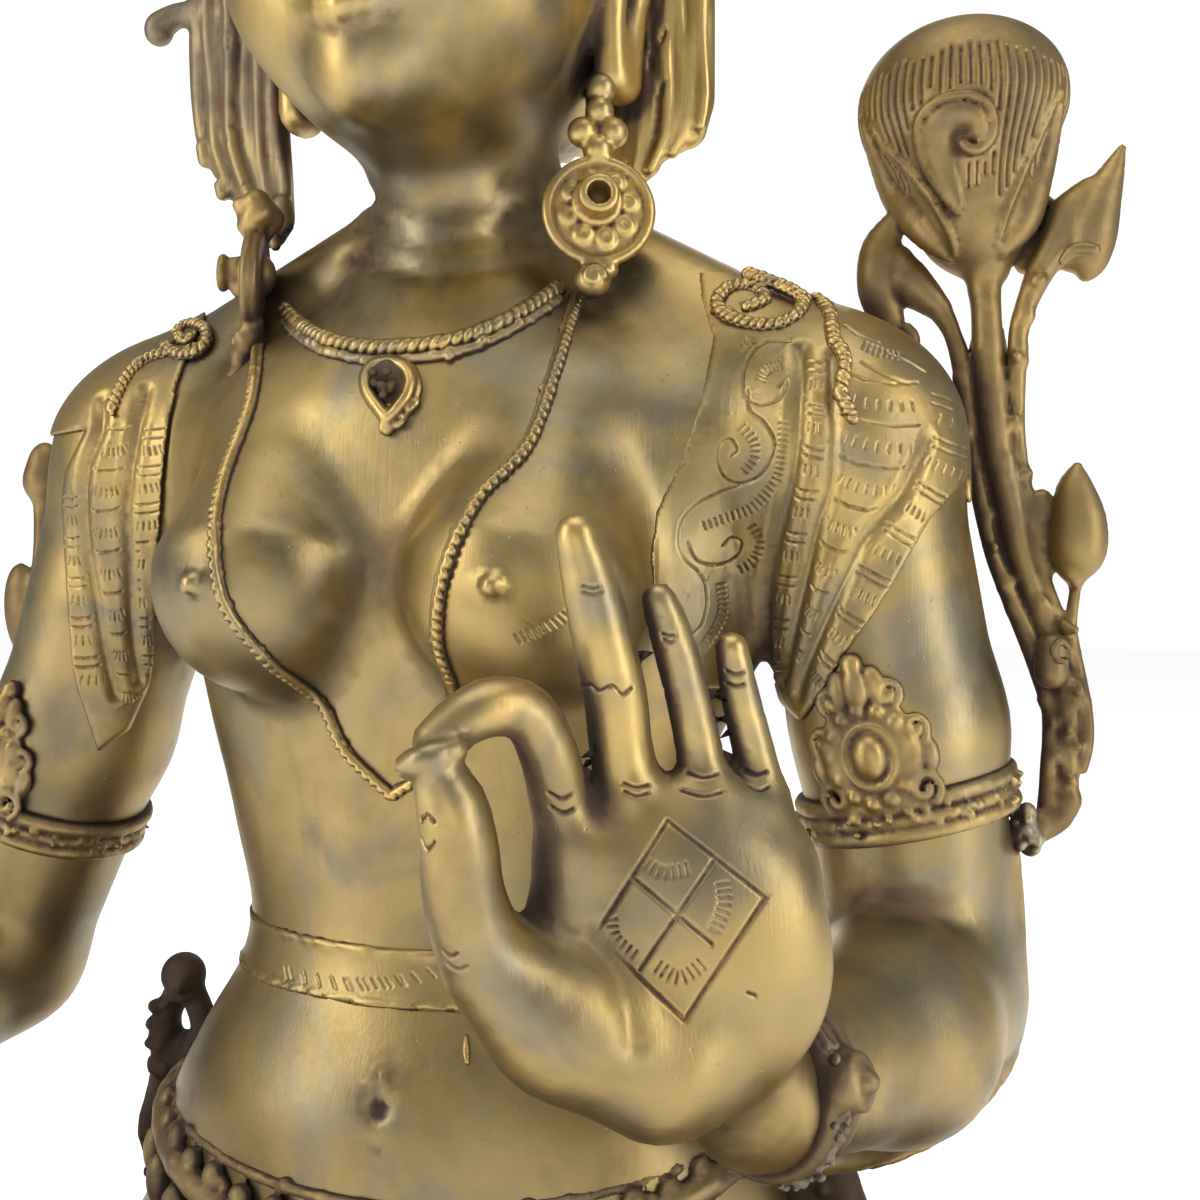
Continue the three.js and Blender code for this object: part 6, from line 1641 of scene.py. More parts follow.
def earring_wax(centre, way, s):
    face, side, rise = side_frame(way)
    centre = np.array(centre)

    def at(a, b, c=0.0):
        return tuple(centre + side * a + rise * b + face * c)

    forms = [disc(centre, face, 1.5, 0.2, 0.1), hoop(centre + face * 0.16, face, (1.4, 1.4), 0.16, 0.05, side, 40),
             hoop(centre + face * 0.12, face, (1.14, 1.14), 0.07, 0.04, side, 40)]
    for i in range(8):
        a = (i + 0.3) / 8 * 2 * math.pi
        along_petal = side * math.cos(a) + rise * math.sin(a)
        forms.append(egg(at(math.cos(a) * 0.8, math.sin(a) * 0.8 + 0.04, 0.16), (0.3, 0.2, 0.36), 0.1, along_petal, face))
        forms.append(carve(ball(at(math.cos(a) * 0.82, math.sin(a) * 0.82 + 0.04, 0.42), 0.12, 0.12)))
    hub = np.array(at(-0.06 * s, 0.2))
    forms.append(bone(hub + face * 0.1, hub + face * 0.85, 0.6, 0.46, 0.12))
    forms.append(hoop(hub + face * 1.0, face, (0.43, 0.43), 0.13, 0.06, side, 24))
    forms.append(hoop(hub + face * 0.36, face, (0.6, 0.6), 0.1, 0.08, side, 24))
    forms.append(carve(bone(hub + face * 0.6, hub + face * 2.0, 0.31, 0.34, 0.04)))
    for a, b, r in ((0, 1.75, 0.42), (0.42, 2.25, 0.42), (-0.42, 2.25, 0.42), (0.05, 2.85, 0.4), (0.1, 3.5, 0.42))[:5 if s > 0 else 3]:
        forms.append(ball(at(a * s, b, 0.05), r, 0.14))
    forms.append(ball(at(-0.18 * s, -1.92, 0.1), 0.5, 0.15))
    turns = [(*at(-0.18 * s + 0.3 * math.cos(t) * (1 - t / 9), -1.92 + 0.3 * math.sin(t) * (1 - t / 9), 0.52), 0.09)
             for t in np.linspace(0, 7, 16)]
    forms.append(cord(turns, 0.04, 1))
    forms.append(ball(at(0.25 * s, -1.6, 0.1), 0.28, 0.1))
    return forms


left_ear = earring_wax((4.75, -1.5, 35.5), (0.42, -1, 0.1), 1)
cast("left_earring", *from_wax(left_ear, 0.075), JEWEL_METAL)
right_ear = earring_wax((-6.05, -1.25, 34.3), (-0.93, -0.4, 0.05), -1)
tail = along([(-5.95, -1.6, 32.8), (-6.1, -2.0, 31.9), (-5.9, -2.4, 30.8)], 6)
right_ear.append(cord([(*p, 0.3) for p in tail], 0.15, 1))
right_ear += crust(tail, 26, 0.22, (0.12, 0.24), 0.15) + crust(np.array([(-6.1, -1.45, 34.4), (-5.95, -1.4, 36.1)]), 34, 0.42, (0.14, 0.28), 0.3)
cast("right_earring", *from_wax(right_ear, 0.085, 2, True), brass("earring_brass", tarnish=0.3, grain=2.0, film=UMBER, share=0.6))

# %% [markdown]
# Hair. Behind each ear a broad plate of strands falls to the shoulder and ends ragged, where
# the casting came out short. The cap is combed back in rows, and the chignon is a column of
# twisted coils tied with two cords, topped by a small jewel.

# %% Locks beside the ears
def across(v, rows):
    """Where the inner and outer edges of a lock stand on the drawing at height v."""
    return [float(np.interp(v, [row[0] for row in rows], [row[i] for row in rows])) for i in (1, 2)]


def lock_wax(edges, ends, count, half, smooth, depth):
    """A plate of strands between two drawn edges; ends gives the drawing height where each stops."""
    forms = []
    top = edges[0][0]
    for i in range(count):
        share = i / (count - 1)
        low = float(np.interp(share, [e[0] for e in ends], [e[1] for e in ends]))
        thick = half * (1.35 if share < smooth else 1.0)
        y = depth - 0.25 * math.sin(share * math.pi) + (0.0 if share < smooth else rng.uniform(-0.12, 0.12))
        stop = low - (rng.uniform(0, 26) if i % 3 else 0)
        strand, back = [], []
        for j in range(11):
            t = j / 10
            v = top + (stop - top) * t
            a, b = across(v, edges)
            sway = 0 if share < smooth else 2.2 * math.sin(j * 1.3 + i * 2.1)
            w = thick * rng.uniform(0.88, 1.1) * (1 - 0.25 * t ** 3)
            u = min(max(a + (b - a) * share + sway, min(a, b) + w), max(a, b) - w)
            strand.append((u, v, w, y))
            v = top + (low - 9 - top) * t
            a, b = across(v, edges)
            u = min(max(a + (b - a) * share, min(a, b) + 10), max(a, b) - 10)
            back.append((u, v, 10, y + 0.3))
        forms += [planted(strand, 0.1, 2), planted(back, 0.25, 1)]
    for _ in range(26):
        v = rng.uniform(top + 190, max(e[1] for e in ends) - 8)
        a, b = across(v, edges)
        u = a + (b - a) * rng.uniform(0.15, 0.95)
        long = rng.uniform(3, 16)
        forms.append(carve(planted([(u, v, rng.uniform(1.2, 3.6), depth - 0.5), (u + rng.uniform(-3, 3), v + long, 1.5, depth - 0.45)], 0.1, 1)))
    return forms


LOCK_METAL = brass("lock_brass", tarnish=0.02, grain=2.0)
DULL_METAL = brass("dull_brass", tarnish=0.2, grain=2.2, film=TAUPE, share=0.85)
left_lock = lock_wax([(-190, 590, 706), (0, 588, 714), (100, 587, 714), (128, 590, 710), (150, 592, 690), (190, 600, 668)],
                     [(0, 176), (0.45, 186), (0.62, 178), (0.7, 160), (1, 142)], 12, 7.5, 0.5, 0.85)
left_lock += [planted([(578, -120, 13, 1.6), (576, 20, 14, 1.6), (574, 120, 15, 1.5), (574, 185, 15, 1.4)], 0.1)]
left_lock += [planted([(u, -100, 12, y + 0.3), (u, 0, 12, y), (u, low, 10, y), (u + 1, low + 12, 5, y + 0.4)], 0.2)
              for u, low, y in ((601, 112, -0.8), (614, 106, -1.0), (627, 98, -1.05), (640, 116, -0.8), (653, 128, -0.4))]
cast("left_lock", *from_wax(left_lock, 0.115, 2, True), LOCK_METAL)
right_lock = lock_wax([(-190, 288, 196), (0, 286, 192), (50, 285, 191), (100, 286, 193), (146, 289, 199), (158, 290, 202), (170, 291, 213),
                       (200, 292, 222), (220, 293, 238), (240, 286, 248)],
                      [(0, 226), (0.12, 228), (0.3, 246), (0.5, 244), (0.7, 214), (0.85, 190), (1, 160)], 11, 7, 0, 0.8)
right_lock += [planted([(200, 14, 13, 0.9), (178, 16, 12, 0.8), (161, 26, 14, 0.7), (159, 32, 14, 0.7)], 0.25),
               planted([(204, 148, 8, 0.7), (206, 160, 8, 0.7)], 0.15, 1), planted([(220, 186, 6, 0.6), (223, 194, 7, 0.6)], 0.15, 1),
               planted([(283, 205, 10, 0.4), (283, 224, 11, 0.3)], 0.15, 1)]
cast("right_lock", *from_wax(right_lock, 0.11, 2, True), DULL_METAL)

# %% Combed cap and chignon
CHIGNON_Y = 1.4
comb = [egg((0, 0.9, 47.6), (6.6, 6.9, 6.6), 0.3), egg((0, 3.0, 43.2), (5.6, 4.3, 5.0), 0.8)]
cap_field = sample(comb, 0.25, reach=24)
for i in range(46):
    a = -0.35 + (math.pi + 0.7) * i / 45
    rows = []
    for j in range(7):
        t = j / 6
        z = 52.6 - 13.6 * t * (0.72 + 0.28 * math.sin(min(max(a, 0), math.pi)))
        rows.append((math.cos(a) * 14, 0.6 + math.sin(a) * 14, z))
    rows = np.array(rows)
    way = np.array([0, 0.6, 0]) - rows
    way[:, 2] = 0
    at = landed(cap_field, rows, way, 0.0)
    comb.append(cord([(*p, 0.3 - 0.012 * j) for j, p in enumerate(at)], 0.08, 2))
comb.append(carve(egg((0, -4.6, 43), (5.6, 5.4, 7.4), 0.1)))
cast("combed_cap", *from_wax(comb, 0.23, 1), JEWEL_METAL)

chignon = [bone((0, CHIGNON_Y, 52.3), (0, CHIGNON_Y, 56.0), 3.5, 3.1, 0.5), egg((0, CHIGNON_Y, 59.0), (2.4, 2.4, 2.8), 0.4)]
for i in range(16):
    a = i / 16 * 2 * math.pi
    rows = [(math.cos(a + 0.5 * t) * r, CHIGNON_Y + math.sin(a + 0.5 * t) * r, z, w)
            for t, r, z, w in ((0, 3.9, 51.2, 0.5), (0.4, 3.65, 53, 0.56), (0.8, 3.5, 55, 0.56), (1.2, 3.1, 57, 0.45), (1.6, 2.0, 58, 0.3))]
    chignon.append(cord(rows, 0.12, 3))
for i in range(12):
    a = i / 12 * 2 * math.pi
    rows = [(math.cos(a + 0.6 * t) * r, CHIGNON_Y + math.sin(a + 0.6 * t) * r, z, w)
            for t, r, z, w in ((0, 2.3, 57.3, 0.4), (0.5, 2.5, 58.6, 0.44), (1.0, 2.25, 60.2, 0.4), (1.5, 1.2, 61.6, 0.25))]
    chignon.append(cord(rows, 0.1, 3))
chignon.append(hoop((0, CHIGNON_Y, 54.3), UP, (3.95, 3.95), 0.32, 0.1, (1, 0, 0), 40))
chignon.append(hoop((0, CHIGNON_Y, 57.6), UP, (2.75, 2.75), 0.3, 0.1, (1, 0, 0), 40))
chignon.append(ball((0, CHIGNON_Y, 62.1), 0.9, 0.2))
chignon.append(hoop((0, CHIGNON_Y, 61.6), UP, (0.85, 0.85), 0.2, 0.08))
chignon.append(bone((0, CHIGNON_Y, 62.4), (0, CHIGNON_Y, 63.65), 0.65, 0.14, 0.2))
cast("chignon", *from_wax(chignon, 0.2), JEWEL_METAL)

# %% [markdown]
# The crown: a band of two beaded hoops with five leaves. Each leaf is a flat egg of wax with
# a jewel, a rolled border and a pair of curling tendrils, and rosettes stand over the ears.

# %% Crown
CROWN_Z = 49.6
crown_radii = (6.35, 6.75)
crown_axis = (0, -0.12, 1)
crown_centre = np.array([0, 0.35, CROWN_Z])
crown = [hoop(crown_centre, crown_axis, crown_radii, 0.46, 0.2, (1, 0, 0), 48),
         hoop(crown_centre + (0, 0, 0.95), crown_axis, crown_radii, 0.26, 0.1, (1, 0, 0), 48)]
for i in range(5):
    a = (i - 2) * 0.66
    high = 4.4 - 0.4 * abs(i - 2)
    p = np.array([math.sin(a) * crown_radii[0], crown_centre[1] - math.cos(a) * crown_radii[1], CROWN_Z + 0.9])
    out = unit((math.sin(a), -math.cos(a), 0))
    up = unit(np.array([0, 0, 1]) + out * 0.12)
    side = np.cross(up, out)

    def leaf(b, c, d=0.0):
        return p + side * b + up * c + out * d

    crown.append(egg(leaf(0, high * 0.62), (1.95, 0.36, high * 0.72), 0.2, up, out))
    crown.append(bone(leaf(0, high * 0.9), leaf(0, high * 1.55), 0.5, 0.14, 0.25))
    crown.append(ball(leaf(0, high * 0.42, 0.4), 0.5, 0.08))
    ring = [leaf(0.78 * math.cos(t), high * 0.42 + 0.78 * math.sin(t), 0.38) for t in np.linspace(0, 2 * math.pi, 17)]
    crown.append(cord([(*q, 0.12) for q in ring], 0.05, 1))
    for s in (1, -1):
        rim = [leaf(s * 1.75 * math.sin(math.pi * t) ** 0.8, high * (0.12 + 1.3 * t), 0.3) for t in np.linspace(0.04, 0.96, 12)]
        crown.append(cord([(*q, 0.15) for q in rim], 0.06, 1))
        curl = [leaf(s * (0.62 + 0.34 * math.cos(t) * (1 - t / 11)), high * 0.93 + 0.34 * math.sin(t) * (1 - t / 11), 0.42)
                for t in np.linspace(-2.4, 6, 16)]
        crown.append(cord([(*q, 0.11) for q in curl], 0.05, 1))
    crown.append(egg(leaf(0, high * 1.15, 0.3), (0.32, 0.22, 0.62), 0.1, up, out))
for s in (1, -1):
    face, side, rise = side_frame((s, -0.35, 0))
    hub = np.array([s * 7.25, -0.6, 48.2])
    crown.append(disc(hub, face, 1.5, 0.4, 0.2))
    crown.append(ball(hub + face * 0.5, 0.55, 0.1))
    for i in range(8):
        t = i / 8 * 2 * math.pi
        crown.append(egg(hub + face * 0.35 + side * math.cos(t) + rise * math.sin(t), (0.34, 0.25, 0.42), 0.06,
                         side * math.cos(t) + rise * math.sin(t), face))
cast("crown", *from_wax(crown, 0.15), JEWEL_METAL)
band = ring_points(crown_centre + (0, 0, 0.48), crown_axis, (6.72, 7.12), 96)
band_out = (band - crown_centre) * (1, 1, 0)
band_out /= np.linalg.norm(band_out, axis=1)[:, None]
beads = set_along(path_mesh(band[:-1], band_out[:-1], [UP] * (len(band) - 1), True), bead_mesh(0.24, 0.24, 0.24), 76, JEWEL_METAL)
cast("crown_beads", *joined(beads), JEWEL_METAL)

# %% [markdown]
# Armlets and bracelets. An armlet is a doubled wire with a jewelled plaque: an oval boss in
# a ring of pearls, scrolls at its sides and a flame of leaves above. The bracelet is a
# heavier doubled wire with a knob on the outer side, crusted with old solder.

# %% Armlets
def armlet_wax(arm, level, out):
    a, b, c = (np.array(row) for row in arm)
    way = unit(b[:3] - a[:3])
    t = (level - b[2]) / (c[2] - b[2])
    at = lerp(b[:3], c[:3], t)
    r = b[3] + (c[3] - b[3]) * t
    out = unit(np.array(out) - way * float(np.dot(out, way)))
    side = np.cross(-way, out)
    forms = [hoop(at, way, (r + 0.1, r + 0.1), 0.24, 0.08, (1, 0, 0), 40),
             hoop(at + way * 0.42, way, (r + 0.08, r + 0.08), 0.2, 0.08, (1, 0, 0), 40),
             hoop(at + way * 0.8, way, (r + 0.1, r + 0.1), 0.2, 0.08, (1, 0, 0), 40)]
    middle = at + out * (r + 0.1) - way * 1.35

    def spot(b1, c1, d1=0.0):
        """Across and up on the plaque, bent round the arm."""
        bend = b1 / (r + 0.3)
        dirn = out * math.cos(bend) + side * math.sin(bend)
        return at + dirn * (r + 0.12 + d1) - way * (1.35 + c1)

    forms.append(egg(middle, (1.3, 0.4, 1.65), 0.15, -way, out))
    forms.append(egg(spot(0, 0, 0.35), (0.42, 0.3, 0.56), 0.05, -way, out))
    ring = [(*spot(0.62 * math.cos(q), 0.8 * math.sin(q), 0.32), 0.11) for q in np.linspace(0, 2 * math.pi, 21)]
    forms.append(cord(ring, 0.04, 1))
    for i in range(13):
        q = i / 13 * 2 * math.pi + 0.2
        forms.append(ball(spot(1.0 * math.cos(q), 1.2 * math.sin(q), 0.22), 0.21, 0.06))
    for s in (1, -1):
        for x0, z0, size in ((1.15, -1.0, 0.42), (1.2, 0.5, 0.34), (0.72, 1.5, 0.34)):
            curl = [(*spot(s * (x0 + size * math.cos(q) * (1 - q / 9)), z0 + size * math.sin(q) * (1 - q / 9), 0.2), 0.12)
                    for q in np.linspace(-1.0, 6.2, 14)]
            forms.append(cord(curl, 0.05, 1))
        forms.append(egg(spot(s * 1.45, -0.2, 0.1), (0.3, 0.25, 0.5), 0.1, -way, out))
        forms.append(egg(spot(s * 0.45, 1.75, 0.15), (0.3, 0.25, 0.5), 0.1, -way, out))
    forms.append(egg(spot(0, 1.75, 0.25), (0.34, 0.28, 0.55), 0.08, -way, out))
    forms.append(ball(spot(0, 2.35, 0.1), 0.3, 0.12))
    return forms + crust(ring_points(at + way * 0.4, way, (r + 0.16, r + 0.16), 60), 150, 0.24, (0.05, 0.11), 0.1)


ARMLET_METAL = brass("armlet_brass", tarnish=0.26, grain=1.8, film=UMBER, share=0.3)
cast("left_armlet", *from_wax(armlet_wax(LEFT_ARM, 19.9, (-0.12, -1, 0.1)), 0.095), ARMLET_METAL)
cast("right_armlet", *from_wax(armlet_wax(RIGHT_ARM, 18.3, (-0.3, -1, 0.1)), 0.095), ARMLET_METAL)


def bracelet_wax(wrist, start, r, knob=(1, 0, 0.2)):
    way = unit(np.subtract(wrist, start))
    wrist = np.array(wrist)
    knob = unit(np.array(knob) - way * float(np.dot(knob, way)))
    forms = [hoop(wrist - way * 0.1, way, (r, r), 0.34, 0.15, (1, 0, 0), 32),
             hoop(wrist - way * 0.55, way, (r + 0.05, r + 0.05), 0.22, 0.1, (1, 0, 0), 32),
             hoop(wrist - way * 0.95, way, (r, r), 0.28, 0.12, (1, 0, 0), 32),
             egg(wrist - way * 0.5 + knob * (r + 0.3), (0.66, 0.5, 0.74), 0.2, way, knob)]
    forms.append(hoop(wrist - way * 0.5 + knob * (r + 0.55), knob, (0.42, 0.52), 0.12, 0.06, way, 20))
    forms.append(ball(wrist - way * 0.5 + knob * (r + 0.75), 0.26, 0.08))
    for i in range(22):
        a = rng.uniform(0, 2 * math.pi)
        side = np.cross(way, knob)
        p = wrist - way * rng.uniform(0.0, 1.0) + (knob * math.cos(a) + side * math.sin(a)) * (r + 0.22)
        shape = ball(tuple(p), rng.uniform(0.08, 0.18), 0.12)
        forms.append(carve(shape) if i % 2 else shape)
    return forms


cast("left_bracelet", *from_wax(bracelet_wax(LEFT_WRIST, (12.7, -2.6, 14.4), 1.76), 0.085), CRUST_METAL)
cast("right_bracelet", *from_wax(bracelet_wax(RIGHT_WRIST, RIGHT_SWELL, 1.78), 0.09), CRUST_METAL)
way = unit(np.subtract(LEFT_WRIST, (12.7, -2.6, 14.4)))
crusted = ring_points(np.array(LEFT_WRIST) - way * 0.12, way, (1.95, 1.95), 60)
cast("bracelet_crust", *from_wax(thread(crusted, lambda: rng.uniform(0.1, 0.22), 0.1) + crust(crusted, 260, 0.22, (0.05, 0.13), 0.05), 0.07, 2, True),
     brass("old_crust", tarnish=0.5, grain=3.0, film=LEAD, share=0.45))
ankle_way = np.subtract(RIGHT_ANKLE, RIGHT_KNEE)
anklet = [hoop(lerp(RIGHT_KNEE, RIGHT_ANKLE, share), ankle_way, (1.75, 1.75), 0.26, 0.1, (1, 0, 0), 32) for share in (0.94, 0.985)]
cast("anklet", *from_wax(anklet, 0.1), JEWEL_METAL)

# %% [markdown]
# The girdle rides on the hips, higher at the sides than in front: a rolled edge above, a
# heavy cord below, and between them a crowded row of pearls, buds and crumbs of casting
# skin. Drops hang in front, and a knotted sash stands out black at each hip.

# %% Girdle and sash
def belt_line(level, radii, rise, count=48):
    a = np.arange(count + 1) / count * 2 * math.pi
    return np.stack([np.cos(a) * radii[0], np.sin(a) * radii[1] - 0.2, level + rise * np.cos(a) ** 2], 1)


def sash_wax(s):
    fall = [(9.8, 0.6, 12.6, 0.5), (10.5, 0.8, 11.6, 0.42), (10.75, 0.9, 10.8, 0.52), (10.7, 1.0, 9.8, 0.55), (10.9, 1.1, 8.7, 0.6),
            (11.3, 1.2, 7.4, 0.6), (11.1, 1.4, 6.2, 0.4)]
    loop = [(9.5, 0.6, 12.2, 0.4), (9.1, 0.6, 11.2, 0.42), (9.6, 0.8, 10.2, 0.5)]
    forms = [cord([(s * x, *rest) for x, *rest in rows], k, 3) for rows, k in ((fall, 0.2), (loop, 0.15))]
    forms += [egg((s * 9.9, 1.0, 8.6), (0.95, 0.6, 2.3), 0.3), ball((s * 9.8, 0.5, 12.8), 0.7, 0.15),
              hoop((s * 9.75, 0.5, 12.2), UP, (0.42, 0.42), 0.16, 0.08)]
    line = np.array([(s * x, y - 0.3, z) for x, y, z, _ in fall])
    return forms + crust(line, 50, 0.36, (0.1, 0.24), 0.2)


SASH_METAL = brass("black_brass", tarnish=0.95, grain=2.0)
for s, name in ((1, "left_sash"), (-1, "right_sash")):
    cast(name, *from_wax(sash_wax(s), 0.13), SASH_METAL)
upper_edge, lower_cord = belt_line(9.75, (8.5, 6.1), 0.85), belt_line(8.5, (8.9, 6.55), 1.7)
girdle = thread(upper_edge, 0.17, 0.1) + thread(lower_cord, 0.38, 0.1)
for i in range(44):
    a = i / 44 * 2 * math.pi
    p = belt_line(9.15, (8.75, 6.4), 1.25, 44)[i]
    tall = 0.42 if i % 2 else 0.3
    girdle.append(egg(p, (0.34, 0.3, tall), 0.08, (0, 0, 1), (math.cos(a), math.sin(a), 0)))
for i in range(13):
    a = (i - 6) * 0.19
    x, y, z = math.sin(a) * 9.2, -0.2 - math.cos(a) * 6.65, 1.7 * math.sin(a) ** 2
    girdle.append(egg((x, y, 7.35 + z), (0.4, 0.34, 0.74), 0.1))
    girdle.append(ball((x, y - 0.05, 6.6 + z), 0.22, 0.08))
for line in (upper_edge, lower_cord, belt_line(9.1, (8.8, 6.45), 1.3)):
    girdle += crust(line, 90, 0.13, (0.07, 0.17), 0.15)
cast("girdle", *from_wax(girdle, 0.14), CRUST_METAL)
band = trunk([(z, a + 0.06, y0 - 0.06, y1 + 0.06) for z, a, y0, y1 in TRUNK_ROWS], 0)


def band_dist(x, y, z):
    wall = np.maximum(band["dist"](x, y, z), -band["dist"](x, y, z) - 0.3)
    return np.maximum(wall, np.abs(z - 15.05) - 0.68)


rings = []
for level in (14.4, 15.7):
    start = ring_points((0, 0, level), UP, (8.2, 8.2), 90)
    ring = landed(skin_of_body, start, -(start - (0, -0.5, level)), 0.0)
    rings += thread(ring, lambda: rng.uniform(0.07, 0.13))
band_wax = [form((-7, -6, 14.3), (7, 6, 15.8), 0.05, band_dist)] + rings
dashes = hatch([(278, 972), (340, 984), (404, 980), (470, 960)], 12, 12, 0.5) + hatch([(284, 972), (346, 984), (410, 980)], 9, 12, 0.5)
band_points, band_tris = from_wax(band_wax, 0.16)
band_cuts = thrown(skin_of_body, dashes, 0.05, 0.03, 0.06)
band_points, band_tris = refine(band_points, band_tris, lambda p: stroke_edges(p, band_cuts, 0.06), 2)
cast("waist_band", chase(band_points, band_tris, band_cuts), band_tris, BODY_METAL)

# %% [markdown]
# On each shoulder the hair ends in a spiral of nicked rope, and a second strand falls over
# the arm. Both are drawn on the view from the eye and pressed on.

# %% Shoulder curls
CURLS = {
    "left_curl": ([(747, 307), (764, 300), (759, 290), (744, 285), (727, 288), (717, 301), (723, 313), (741, 321), (762, 325), (781, 323),
                   (797, 314), (803, 304)], [(801, 296), (791, 290), (777, 284), (762, 278), (748, 274)]),
    "left_curl_tail": ([(808, 300), (816, 300), (824, 305), (830, 314), (832, 326), (834, 340), (841, 350), (845, 362), (843, 378),
                        (841, 392), (848, 408), (853, 418)], []),
    "right_curl": ([(190, 338), (182, 340), (178, 333), (184, 326), (196, 324), (206, 330), (206, 342), (195, 352), (178, 354),
                    (165, 346)], []),
    "right_curl_tail": ([(168, 352), (152, 356), (138, 364), (127, 376), (118, 392), (112, 408)], []),
}
for name, (uv, free) in CURLS.items():
    line, bed = drawn(skin_of_body, along(uv, 5), 0.14), drawn(skin_of_body, along(uv, 3), 0.0)
    line, bed = (rows[np.abs(probe(skin_of_body, rows)) < 0.3] for rows in (line, bed))
    loose = [spot(u, v, line[-1][1] + 0.12 * j) for j, (u, v) in enumerate(free)]
    if free:
        line = np.concatenate([line, along(loose, 5)])
    rope(name, line, 0.22, 0.19, JEWEL_METAL, 0.3, (-1.3, 1.3), crumbs=6 if "right" in name else 0)
    cast(name + "_bed", *from_wax(thread(bed, 0.16, 0.1) + crust(bed, 30, 0.16, (0.07, 0.14), 0.1), 0.08, 1, True), CRUST_METAL)

# %% [markdown]
# The scarf. A thin shawl covers both shoulders and falls in folds between breast and arm. It
# is a skin of its own, a little proud of the body. The front edge is a fence drawn on the
# view from the eye; behind the arms the cloth ends at a level hem. Deep wide strokes make
# the folds, and the woven border is rows of scallops with fans of short hatches between.

# %% Scarf
CLOTH = 0.13
BACK_HEM = 27.6
NECK_TOP = 33.3


def fence(u, v, posts):
    """Distance in steps of the drawing to a closed line, negative inside it."""
    best = np.full(u.shape, 1e9)
    inside = np.zeros(u.shape, bool)
    for (ax, ay), (bx, by) in zip(posts, posts[1:] + posts[:1]):
        ex, ey = bx - ax, by - ay
        h = np.clip(((u - ax) * ex + (v - ay) * ey) / (ex * ex + ey * ey), 0, 1)
        best = np.minimum(best, (u - ax - h * ex) ** 2 + (v - ay - h * ey) ** 2)
        if ey:
            inside ^= ((ay > v) != (by > v)) & (u < ax + (v - ay) * ex / ey)
    return np.where(inside, -1, 1) * np.sqrt(best)


def scarf_wax(s, posts, lo, hi):
    def dist(x, y, z):
        x, y, z = np.broadcast_arrays(x, y, z)
        p = np.stack([x.ravel(), y.ravel(), z.ravel()], 1).astype(float)
        body = probe(skin_of_body, p)
        u, v, deep = on_drawing(p[:, 0], p[:, 1], p[:, 2])
        front = np.maximum(fence(u, v, posts) * deep / FOCUS, p[:, 1] - 0.6)
        hem = BACK_HEM + 0.4 * np.sin(p[:, 0] * 1.1)
        back = np.maximum(np.maximum(0.2 - p[:, 1], hem - p[:, 2]), np.maximum(p[:, 2] - NECK_TOP, 0.02 - s * p[:, 0]))
        edge = np.minimum(front, back)
        feather = np.where((s > 0) & (u < 775), np.clip(0.2 - front / 1.5, 0, 1), 1)
        shell = np.maximum(body - CLOTH * feather, -body - 0.3)
        return -melt(-shell, -edge, 0.12).reshape(x.shape)

    return form(lo, hi, 0, dist)


def woven_border(left, right, levels, drop, sag, double, marks):
    """Scallops across a panel between two lines of the drawing, and fans between them."""
    (ul, vl), (ur, vr) = np.transpose(left), np.transpose(right)
    bows, fans = [], []
    across = np.array([0.08, 0.35, 0.65, 0.92])[:, None]
    for v in levels:
        for shift, fan in ((0, False), (22, True)):
            p = np.array([np.interp(v + shift, vl, ul), v + shift])
            q = np.array([np.interp(v + shift + drop, vr, ur), v + shift + drop])
            line = p + across * (q - p) + sag * np.sin(math.pi * across) * (0, 1)
            if fan:
                fans += hatch(line[1:3] if marks < 4 else line, marks, 8, rng.uniform(-0.15, 0.15))
            else:
                bows += [line + (0, 9 * j) for j in range(2 if double else 1)]
    return bows, fans


def scarf(name, s, posts, lo, hi, folds, panels, extra=()):
    wax = scarf_wax(s, posts, lo, hi)
    measure = lambda p: wax["dist"](p[:, 0], p[:, 1], p[:, 2])
    points, quads = biggest_shell(*skin(sample([wax], 0.13)))
    tris = triangles(points, quads)
    points, tris = thin(points, tris, 30000)
    grooves = thrown(skin_of_body, [along(line, 4) for line in folds], 0.3, 0.13, CLOTH)
    bows, fans = [list(extra[0]), list(extra[1])] if extra else [[], []]
    for panel in panels:
        more = woven_border(*panel)
        bows += more[0]
        fans += more[1]
    fine = np.concatenate([thrown(skin_of_body, bows, 0.055, 0.045, CLOTH), thrown(skin_of_body, fans, 0.05, 0.04, CLOTH)])
    points, tris = refine(points, tris, lambda p: np.where(near_strokes(p, grooves, 0.5) < 0.5, 0.2, 9.0), 3)
    points, tris = refine(points, tris, lambda p: stroke_edges(p, fine, 0.06), 5)
    points = settle(points, tris, measure, 2, 0.06)
    points = chase(points, tris, grooves)
    cast(name, chase(points, tris, fine), tris, BODY_METAL)


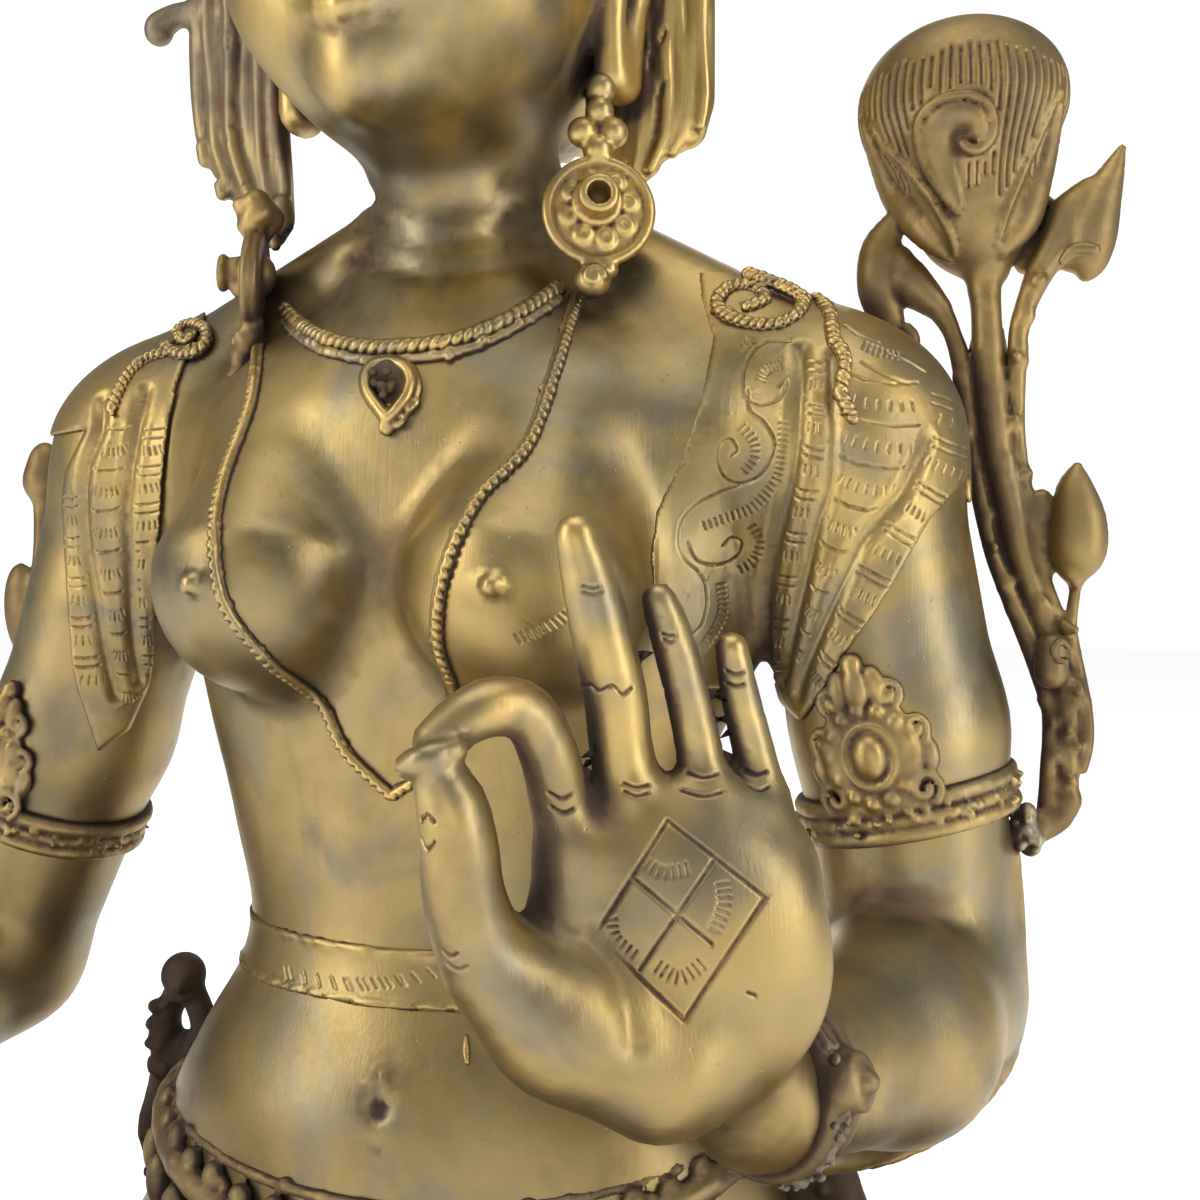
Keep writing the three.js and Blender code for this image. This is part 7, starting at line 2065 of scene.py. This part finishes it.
RIB_IN = [(800, 349), (800, 376), (795, 450), (787, 495), (777, 535), (768, 582), (766, 654)]
RIB_OUT = [(832, 354), (832, 415), (829, 482), (816, 524), (805, 574), (790, 641), (782, 683)]
PANEL_OUT = [(925, 370), (928, 440), (905, 490), (885, 513), (864, 537), (848, 569), (832, 603), (805, 667), (797, 694)]
HEM = [(1000, 440), (965, 482), (930, 519), (900, 572), (874, 614), (853, 641), (830, 680), (806, 717)]
VINE = [
    [(790, 342), (768, 341), (752, 352), (743, 373), (746, 397), (760, 405), (779, 399), (787, 386), (786, 378), (779, 387)],
    [(747, 389), (750, 410), (763, 421), (774, 439), (772, 455), (760, 476), (739, 484), (723, 476), (717, 458), (721, 442),
     (731, 439), (737, 450), (731, 456)],
    [(739, 486), (718, 493), (697, 503), (681, 521), (678, 545), (686, 561), (699, 572), (706, 585), (707, 606), (702, 625),
     (694, 635)],
    [(688, 542), (697, 560), (718, 565), (737, 556), (741, 542), (731, 538), (723, 546)],
]
VINE_HATCH = [([(752, 338), (729, 362), (725, 392), (726, 416)], 15), ([(718, 419), (692, 436), (690, 452)], 8),
              ([(684, 480), (666, 500), (658, 530), (657, 558), (666, 584), (690, 600)], 24),
              ([(784, 420), (782, 455), (776, 480), (752, 508), (727, 518), (702, 527)], 26),
              ([(740, 425), (753, 440), (754, 458), (742, 474)], 10), ([(750, 525), (759, 542), (754, 560), (738, 571)], 10),
              ([(721, 582), (723, 612), (714, 632), (702, 650)], 14), ([(760, 382), (766, 370), (782, 364)], 8)]
SHOULDER_BOWS = [[(845, 325), (860, 336), (878, 342)], [(861, 362), (882, 374), (909, 384)], [(886, 352), (905, 360), (925, 372)]]
vine_fans = hatch([(862, 344), (880, 352), (900, 356)], 7, 8)
for line, count in VINE_HATCH:
    vine_fans += hatch(line, count, 8)
scarf("left_scarf", 1, [(690, 180), (700, 300), (712, 338), (700, 400), (680, 460), (655, 510), (648, 560), (660, 640), (700, 690),
                        (764, 688), (800, 722)] + HEM[::-1] + [(1100, 430), (1100, 180)],
      (0, -7.6, 19), (15, 6, 33.6), [RIB_IN, RIB_OUT, PANEL_OUT[1:]],
      [(RIB_IN, RIB_OUT, range(358, 660, 43), 5, 2, True, 5), (RIB_OUT, PANEL_OUT, range(368, 660, 42), 14, 8, False, 7),
       (PANEL_OUT, HEM, range(392, 680, 42), 22, 2, True, 5)],
      ([along(line, 4) for line in VINE + SHOULDER_BOWS], vine_fans))

FOLD_IN = [(178, 385), (170, 420), (166, 450), (163, 480), (162, 505), (160, 540), (158, 600), (154, 660)]
FOLD_A = [(145, 390), (135, 440), (130, 470), (126, 510), (127, 540), (130, 585), (134, 640), (140, 680)]
FOLD_B = [(102, 400), (100, 430), (88, 460), (84, 490), (86, 540), (92, 577), (99, 615), (105, 652), (116, 695)]
FOLD_C = [(85, 430), (65, 470), (61, 502), (64, 552), (67, 602), (72, 665), (77, 690)]
scarf("right_scarf", -1, [(225, 200), (205, 320), (190, 350)] + FOLD_IN + [(148, 690), (130, 730), (98, 752), (86, 715)]
      + FOLD_C[::-1] + [(30, 440), (30, 200)],
      (-16, -7, 17), (0, 6, 33.6), [FOLD_A, FOLD_B],
      [(FOLD_A, FOLD_IN, range(428, 670, 38), -2, 2, True, 5), (FOLD_B, FOLD_A, range(425, 690, 41), -2, 6, False, 7),
       (FOLD_C, FOLD_B, range(497, 680, 40), -3, 3, True, 4)])

# %% [markdown]
# At the end the triangles of all the pieces are added up and printed.

# %% Close
print("triangles in all:", sum(count_of.values()))
